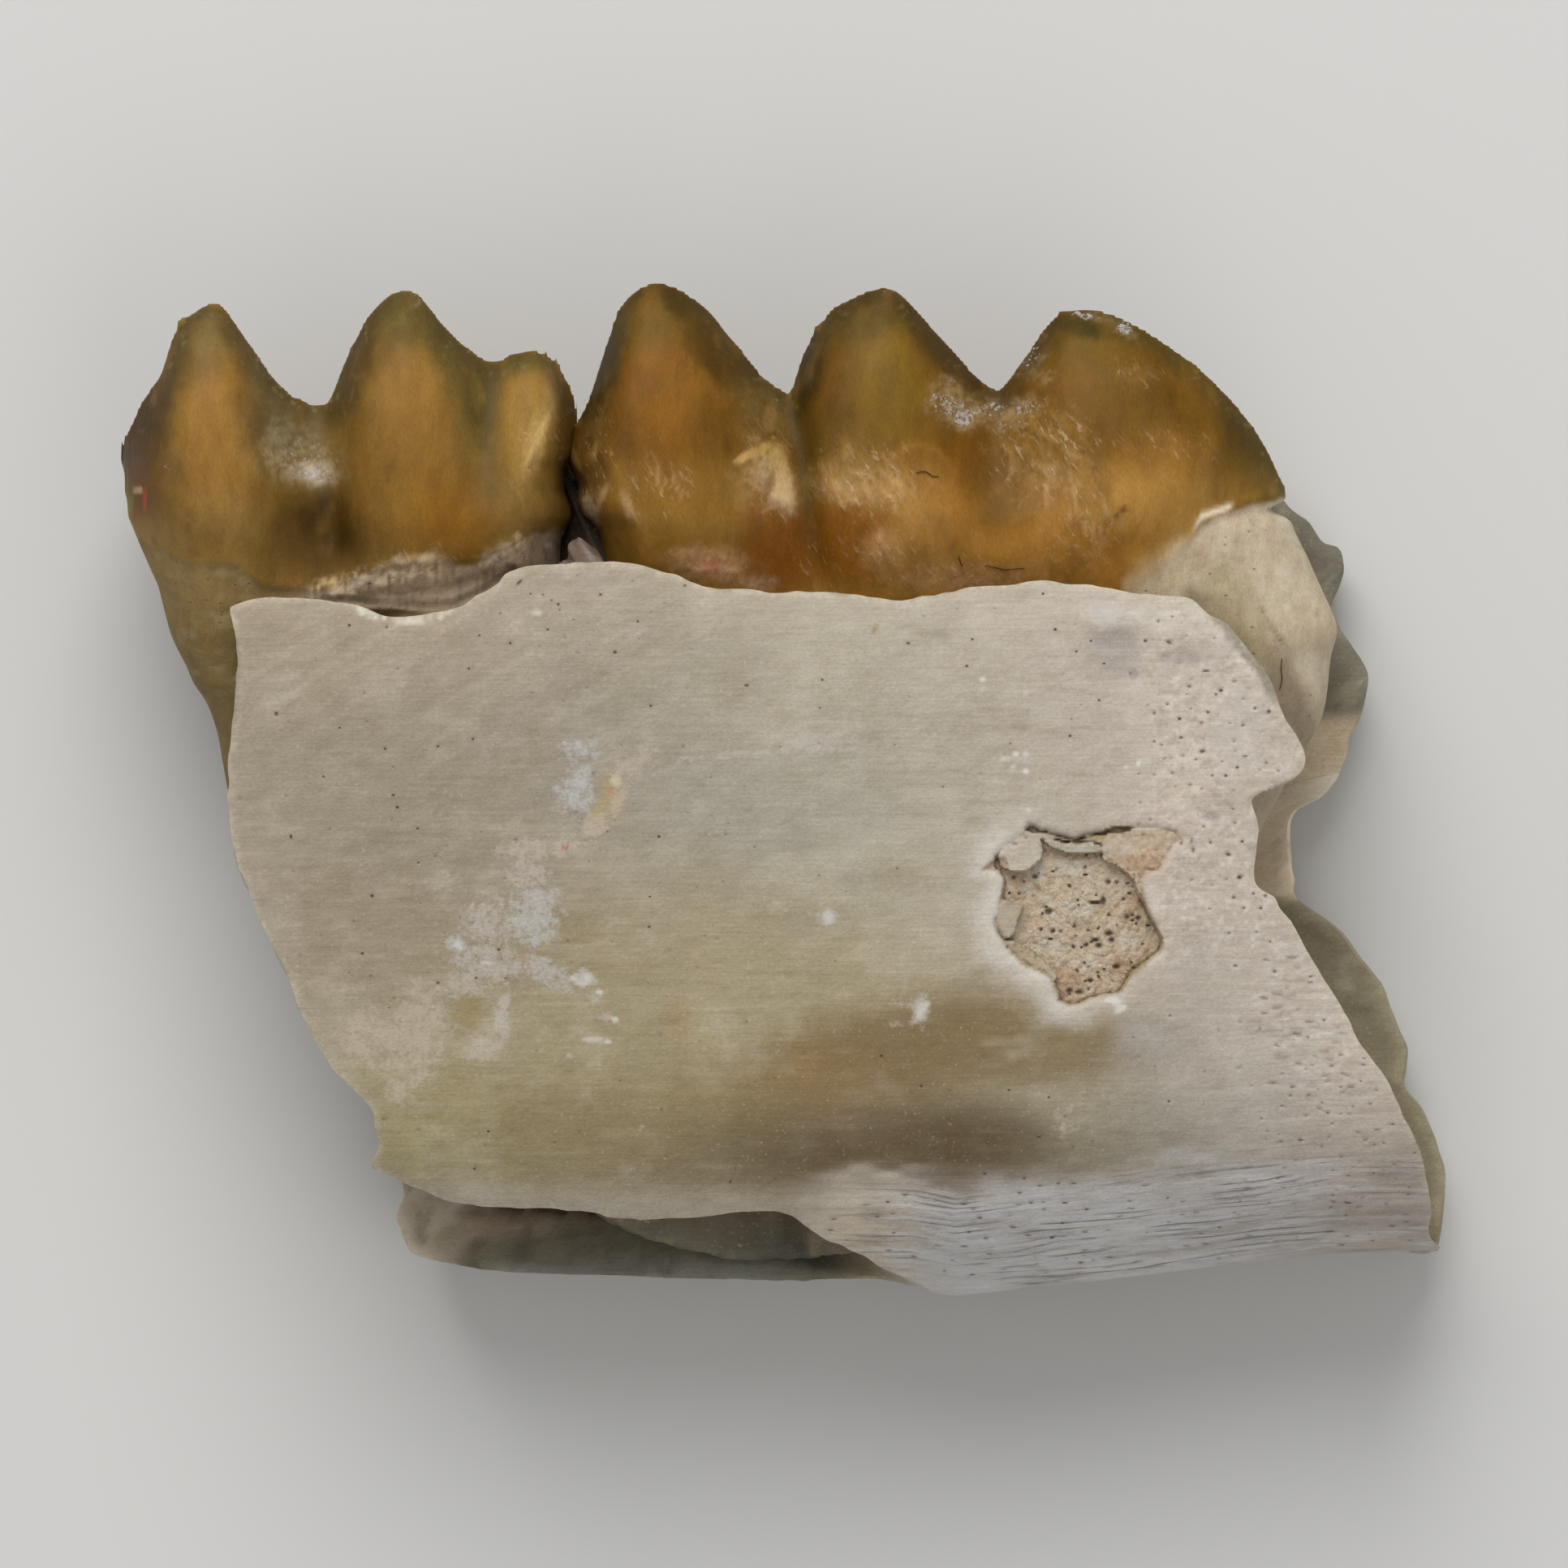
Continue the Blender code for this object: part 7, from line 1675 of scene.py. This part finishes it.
def bone_material():
    n = Nodes("fossil_bone")
    paint = n.attribute("paint", True)
    porous, chalk, warm = n.attribute("porous"), n.attribute("chalk"), n.attribute("warm")
    fibre, border = n.attribute("fibre"), n.attribute("border")
    fine = n.noise(24.0, (0.8, 1.15, 1.0), 4.0, 0.68)
    cloud = n.noise(2.6, (0.8, 1.2, 1.0), 4.0, 0.62)
    slant = n.noise(9.0, (0.35, 1.6, 1.0), 4.0, 0.6, 0.4, turn=-28.0)
    colour = n.blend("OVERLAY", 0.34, paint, n.blend("MIX", n.band(fine, 0.3, 0.7), (0.35, 0.34, 0.32, 1), (0.65, 0.64, 0.63, 1)))
    colour = n.blend("OVERLAY", 0.24, colour, n.blend("MIX", n.band(cloud, 0.32, 0.68), (0.40, 0.37, 0.32, 1), (0.60, 0.60, 0.60, 1)))
    colour = n.blend("OVERLAY", 0.13, colour, n.blend("MIX", n.band(slant, 0.32, 0.68), (0.36, 0.35, 0.32, 1), (0.64, 0.64, 0.64, 1)))
    level = n.noise(11.0, (0.10, 2.4, 1.0), 3.0, 0.6, 0.3)
    colour = n.blend("OVERLAY", 0.20, colour, n.blend("MIX", n.band(level, 0.34, 0.66), (0.38, 0.37, 0.34, 1), (0.64, 0.64, 0.63, 1)))
    # pale specks and small dark points
    speck, tint = n.cells(9.0, (0.8, 1.15, 1.0))
    pick = n.parts(tint)
    hole = n.math("MULTIPLY", n.band(speck, 0.13, 0.05), n.math("MULTIPLY", n.math("GREATER_THAN", pick[0], 0.62), porous))
    colour = n.blend("MIX", n.math("MULTIPLY", hole, 0.5), colour, rgb(104, 88, 74))
    pale = n.math("MULTIPLY", n.band(n.noise(16.0, (1, 1, 1), 3.0, 0.7), 0.60, 0.72), 0.30)
    colour = n.blend("MIX", pale, colour, rgb(214, 208, 197))
    # grooves along the ventral border
    x = n.split(n.place)[0]
    bend = n.texture(n.join(n.math("MULTIPLY", x, 0.32), n.math("MULTIPLY", border, 1.4), 0.0), 1.0, 2.0, 0.5, 0.0)
    phase = n.math("MULTIPLY", n.math("ADD", n.math("MULTIPLY", border, 10.5), n.math("MULTIPLY", bend, 4.0)), 2 * math.pi)
    wave = n.math("SINE", phase)
    second = n.texture(n.join(n.math("MULTIPLY", x, 0.6), n.math("MULTIPLY", border, 11.0), 4.0), 1.0, 3.0, 0.6, 0.3)
    breaks = n.band(n.texture(n.join(n.math("MULTIPLY", x, 0.62), n.math("MULTIPLY", border, 5.0), 9.0), 1.0, 2.0, 0.5, 0.0), 0.47, 0.60)
    line1 = n.math("MULTIPLY", n.band(wave, 0.55, 0.98), 0.9)
    line2 = n.math("MULTIPLY", n.band(n.math("ABSOLUTE", n.math("SUBTRACT", second, 0.5)), 0.020, 0.004), 0.6)
    line = n.math("MULTIPLY", n.math("MULTIPLY", n.math("MAXIMUM", line1, line2), breaks), fibre)
    crest = n.math("MULTIPLY", n.math("MAXIMUM", n.band(second, 0.54, 0.68), n.math("MULTIPLY", n.band(wave, -0.4, -0.95), breaks)), fibre)
    colour = n.blend("MIX", n.math("MULTIPLY", crest, 0.40), colour, rgb(214, 213, 215))
    colour = n.blend("MIX", n.math("MULTIPLY", line, 0.74), colour, rgb(92, 84, 82))
    third = n.texture(n.join(n.math("MULTIPLY", x, 0.4), n.math("MULTIPLY", border, 15.0), 17.0), 1.0, 3.0, 0.6, 0.2)
    hair = n.math("MULTIPLY", n.band(n.math("ABSOLUTE", n.math("SUBTRACT", third, 0.5)), 0.018, 0.004), fibre)
    colour = n.blend("MIX", n.math("MULTIPLY", hair, 0.55), colour, rgb(222, 222, 226))
    # chalk with ragged edges
    ragged = n.noise(6.5, (1, 1, 1), 5.0, 0.76)
    cut = n.band(n.math("ADD", chalk, n.math("MULTIPLY", n.math("SUBTRACT", ragged, 0.5), 2.4)), 0.42, 1.05)
    cut = n.math("MULTIPLY", cut, n.band(fine, 0.25, 0.65, 0.36, 0.72))
    cut = n.math("MULTIPLY", cut, n.band(chalk, 0.08, 0.4))
    tone = n.blend("MIX", warm, rgb(196, 198, 197), rgb(196, 180, 162))
    colour = n.blend("MIX", cut, colour, tone)
    n.set(Base_Color=colour, Roughness=n.band(fine, 0.3, 0.7, 0.60, 0.80))
    n.shader.inputs["Specular IOR Level"].default_value = 0.35
    grain = n.noise(13.0, (0.75, 1.2, 1.0), 5.0, 0.72)
    height = n.math("ADD", n.math("MULTIPLY", fine, 0.45), grain)
    height = n.math("SUBTRACT", height, n.math("MULTIPLY", hole, 0.8))
    height = n.math("SUBTRACT", height, n.math("MULTIPLY", line, 1.1))
    height = n.math("ADD", height, n.math("MULTIPLY", cut, 0.5))
    n.link(n.bump(height, 0.36, 0.00003), n.shader.inputs["Normal"])
    return n.mat


def enamel_material():
    n = Nodes("tooth_enamel")
    paint = n.attribute("paint", True)
    root = n.attribute("root")
    fold = n.attribute("fold")
    sugar = n.attribute("sugar")
    cloud = n.noise(2.6, (1.5, 0.6, 1.0), 5.0, 0.55)
    fine = n.noise(22.0, (1.6, 0.7, 1.0), 5.0, 0.6)
    colour = n.blend("OVERLAY", 0.34, paint, n.blend("MIX", n.band(cloud, 0.32, 0.68), (0.36, 0.32, 0.26, 1), (0.62, 0.62, 0.60, 1)))
    colour = n.blend("OVERLAY", 0.34, colour, n.blend("MIX", n.band(fine, 0.3, 0.7), (0.36, 0.35, 0.33, 1), (0.64, 0.64, 0.64, 1)))
    # pale streaks on the folds: partly their colour, partly painted sheen; the same streaks carry the coat
    streak = n.band(n.noise(9.0, (0.42, 1.7, 1.0), 4.0, 0.62, 0.6, turn=56.0), 0.55, 0.66)
    streak = n.math("MULTIPLY", streak, n.math("MULTIPLY", fold, n.band(root, 0.5, 0.0)))
    colour = n.blend("MIX", n.math("MULTIPLY", streak, 0.55), colour, rgb(206, 174, 134))
    speck, tint = n.cells(5.5, (0.8, 1.1, 1.0))
    dot = n.math("MULTIPLY", n.band(speck, 0.16, 0.07), n.math("MULTIPLY", n.math("GREATER_THAN", n.parts(tint)[0], 0.55), root))
    colour = n.blend("MIX", n.math("MULTIPLY", dot, 0.6), colour, rgb(112, 98, 76))
    crumb = n.noise(14.0, (1, 1, 1), 5.0, 0.74)
    cut = n.band(n.math("ADD", crumb, n.math("MULTIPLY", n.math("SUBTRACT", sugar, 1.0), 0.32)), 0.49, 0.60)
    cut = n.math("MULTIPLY", cut, n.band(sugar, 0.05, 0.5, 0.0, 0.72))
    colour = n.blend("MIX", cut, colour, rgb(198, 192, 192))
    n.set(
        Base_Color=colour,
        Roughness=n.math("ADD", n.band(fine, 0.3, 0.7, 0.40, 0.50), n.math("MULTIPLY", n.math("ADD", root, cut, True), 0.30)),
        Coat_Weight=n.math("MULTIPLY", streak, 0.45),
        Coat_Roughness=0.24,
        Subsurface_Weight=0.22,
        Subsurface_Scale=0.0006,
    )
    n.shader.inputs["Subsurface Radius"].default_value = (1.0, 0.62, 0.30)
    n.shader.inputs["IOR"].default_value = 1.45
    n.shader.inputs["Specular IOR Level"].default_value = 0.14
    lines = n.noise(7.0, (2.4, 0.5, 1.0), 4.0, 0.6, 0.8)
    small = n.noise(30.0, (1.0, 1.0, 1.0), 3.0, 0.6)
    height = n.math("ADD", n.math("MULTIPLY", lines, n.math("ADD", n.math("MULTIPLY", fold, 0.8), 0.35)), n.math("MULTIPLY", small, n.math("ADD", n.math("MULTIPLY", root, 0.4), 0.12)))
    height = n.math("ADD", n.math("ADD", height, n.math("MULTIPLY", cut, 0.5)), n.math("MULTIPLY", streak, 0.6))
    height = n.math("SUBTRACT", height, n.math("MULTIPLY", dot, 0.8))
    n.link(n.bump(height, 0.5, 0.00004), n.shader.inputs["Normal"])
    return n.mat


def sediment_material():
    n = Nodes("sediment")
    paint = n.attribute("paint", True)
    sand, tint = n.cells(17.0)
    fine = n.noise(34.0, (1, 1, 1), 4.0, 0.65)
    lump = n.noise(11.0, (1, 1, 1), 6.0, 0.7)
    colour = n.blend("OVERLAY", 0.40, paint, n.blend("MIX", n.parts(tint)[0], (0.34, 0.31, 0.28, 1), (0.72, 0.71, 0.68, 1)))
    colour = n.blend("OVERLAY", 0.35, colour, n.blend("MIX", n.band(fine, 0.3, 0.7), (0.3, 0.28, 0.26, 1), (0.68, 0.68, 0.68, 1)))
    white = n.band(lump, 0.60, 0.70)
    colour = n.blend("MIX", n.math("MULTIPLY", white, 0.7), colour, rgb(224, 216, 204))
    dark = n.band(n.noise(13.0, (0.9, 1.2, 1.0), 4.0, 0.6, 0.5), 0.35, 0.30)
    colour = n.blend("MIX", n.math("MULTIPLY", dark, 0.62), colour, rgb(98, 80, 64))
    n.set(Base_Color=colour, Roughness=n.band(fine, 0.3, 0.7, 0.86, 0.98))
    n.shader.inputs["Specular IOR Level"].default_value = 0.25
    height = n.math("SUBTRACT", n.math("ADD", fine, n.math("MULTIPLY", lump, 1.5)), n.math("ADD", n.math("MULTIPLY", sand, 0.8), n.math("MULTIPLY", dark, 1.2)))
    n.link(n.bump(height, 0.8, 0.00004), n.shader.inputs["Normal"])
    return n.mat


# ---------------------------------------------------------------------------------------------------------------------
# Build
# ---------------------------------------------------------------------------------------------------------------------
bone = jaw_bone()
second = tooth(
    "second_molar_detail", SECOND_TOP, SECOND_BASE, [SECOND_FRONT_ROOT, SECOND_REAR_ROOT],
    [([(400, 480), (404, 560), (412, 720)], 0.27, 66, 30, 770), ([(606, 440), (600, 520), (594, 640)], 0.12, 30, 26, 660)],
    2.0, (95, 62),
    (
        [(550, 149), (584, 155), (611, 154), (634, 156), (657, 164), (668, 170), (692, 183), (720, 193), (759, 203), (800, 215)],
        [(500, 708), (520, 708), (540, 706), (560, 703), (576, 693), (604, 692), (622, 699), (637, 701), (655, 691), (675, 686), (694, 686), (750, 690)],
    ),
    second_detail, paint_second,
    ((655, 545, 16, 50, 14, 0.8), (690, 540, 14, 40, -8, 0.5), (372, 568, 46, 26, 10, 0.5), (520, 690, 44, 16, -12, 0.8), (610, 684, 24, 9, -38, 0.8)),
    lambda u, v: np.array([[0.90, 0.84, 0.62]]) * (1 - smooth(225, 165, u) * smooth(660, 600, v) * np.array([[0.25], [0.40], [0.50]])).T,
)


def third_shade(u, v):
    low = smooth(545, 615, v)[:, None]
    return mix(np.array([[0.68, 0.585, 0.31]]), np.array([[1.10, 1.06, 1.00]]), low)


third = tooth(
    "third_molar_detail", THIRD_TOP, THIRD_BASE, [THIRD_FRONT_ROOT, THIRD_REAR_ROOT],
    [([(978, 480), (992, 560), (1006, 690), (1010, 740)], 0.17, 30, 17, 800), ([(962, 480), (978, 700)], 0.11, 66, 66, 780),
     ([(1234, 480), (1240, 560), (1240, 700)], 0.17, 66, 56, 700)],
    2.05, (64, 150),
    (
        [(500, 712), (520, 707), (545, 703), (560, 701), (571, 702), (582, 708), (600, 715), (618, 712), (632, 717), (641, 729), (652, 738), (670, 743), (692, 746), (760, 752)],
        [(400, 1583), (800, 1583)],
    ),
    third_detail, paint_third,
    ((1290, 556, 62, 48, 25, 1.0), (1062, 592, 56, 40, 20, 1.0), (1095, 600, 40, 40, 0, 0.9), (950, 580, 28, 56, -20, 0.9), (1330, 645, 44, 54, 0, 0.9), (812, 600, 40, 44, 0, 0.8),
     (1090, 682, 44, 28, 0, 0.9), (728, 585, 24, 60, 12, 0.7), (1440, 552, 54, 24, 10, 0.7), (1400, 462, 30, 16, 0, 0.6), (880, 700, 56, 18, 8, 0.9), (1180, 705, 90, 18, 0, 0.8),
     (1020, 690, 40, 30, 0, 0.4)),
    third_shade,
    ([(1129, 583), (1137, 581), (1144, 583), (1149, 587), (1157, 587)], [(1213, 697), (1225, 699), (1238, 702), (1252, 701), (1262, 700)],
     [(1181, 685), (1183, 692), (1186, 698)], [(1580, 811), (1579, 824), (1580, 838), (1577, 850)]),
    cell=1.15,
)
sand = sediment()

bone_mat, enamel_mat, sediment_mat = bone_material(), enamel_material(), sediment_material()
for piece, mat, node, slot in (
    (bone, bone_mat, "jaw_bone", "fossil_bone"),
    (second, enamel_mat, "second_molar", "tooth_enamel"),
    (third, enamel_mat, "third_molar", "tooth_enamel"),
    (sand, sediment_mat, "sediment_fill", "sediment"),
):
    piece.data.materials.append(mat)
    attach(piece, "root")
    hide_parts(node)

# floor, light and camera
floor_mesh = bpy.data.meshes.new("floor")
floor_mesh.from_pydata([(-0.6, -0.6, -0.00002), (0.6, -0.6, -0.00002), (0.6, 0.6, -0.00002), (-0.6, 0.6, -0.00002)], [], [(0, 1, 2, 3)])
floor = bpy.data.objects.new("floor", floor_mesh)
bpy.context.scene.collection.objects.link(floor)
floor_mat = bpy.data.materials.new("floor")
floor_mat.use_nodes = True
shader = next(n for n in floor_mat.node_tree.nodes if n.type == "BSDF_PRINCIPLED")
shader.inputs["Base Color"].default_value = (0.70, 0.70, 0.69, 1)
shader.inputs["Roughness"].default_value = 0.9
floor.data.materials.append(floor_mat)


def lamp(name, place, size, power, colour=(1, 1, 1)):
    data = bpy.data.lights.new(name, "AREA")
    data.shape = "DISK"
    data.size = size
    data.energy = power
    data.color = colour
    thing = bpy.data.objects.new(name, data)
    thing.location = place
    thing.rotation_euler = (-Vector(place)).to_track_quat("-Z", "Y").to_euler()
    bpy.context.scene.collection.objects.link(thing)


lamp("key", (-0.03, 0.16, 0.17), 0.20, 0.415, (1.0, 0.985, 0.965))
lamp("fill", (0.10, -0.12, 0.20), 0.22, 0.075)
world = bpy.data.worlds.new("studio")
world.use_nodes = True
back = next(n for n in world.node_tree.nodes if n.type == "BACKGROUND")
back.inputs[0].default_value = (1.0, 1.0, 1.0, 1)
back.inputs[1].default_value = 0.375
bpy.context.scene.world = world
bpy.context.scene.view_settings.view_transform = "Standard"

FAR_AWAY, FRAME_MM = 1.000, 1932 / GRID
cam = bpy.data.cameras.new("camera")
cam.sensor_width = 36.0
cam.lens = 36.0 * (FAR_AWAY - 0.0052) / (FRAME_MM * 0.001)
cam.clip_start = 0.01
cam.clip_end = 5.0
camera = bpy.data.objects.new("camera", cam)
camera.location = (0.0, (MID_V - 966.0) / GRID * 0.001, FAR_AWAY)
camera.rotation_euler = (0, 0, 0)
bpy.context.scene.collection.objects.link(camera)
bpy.context.scene.camera = camera
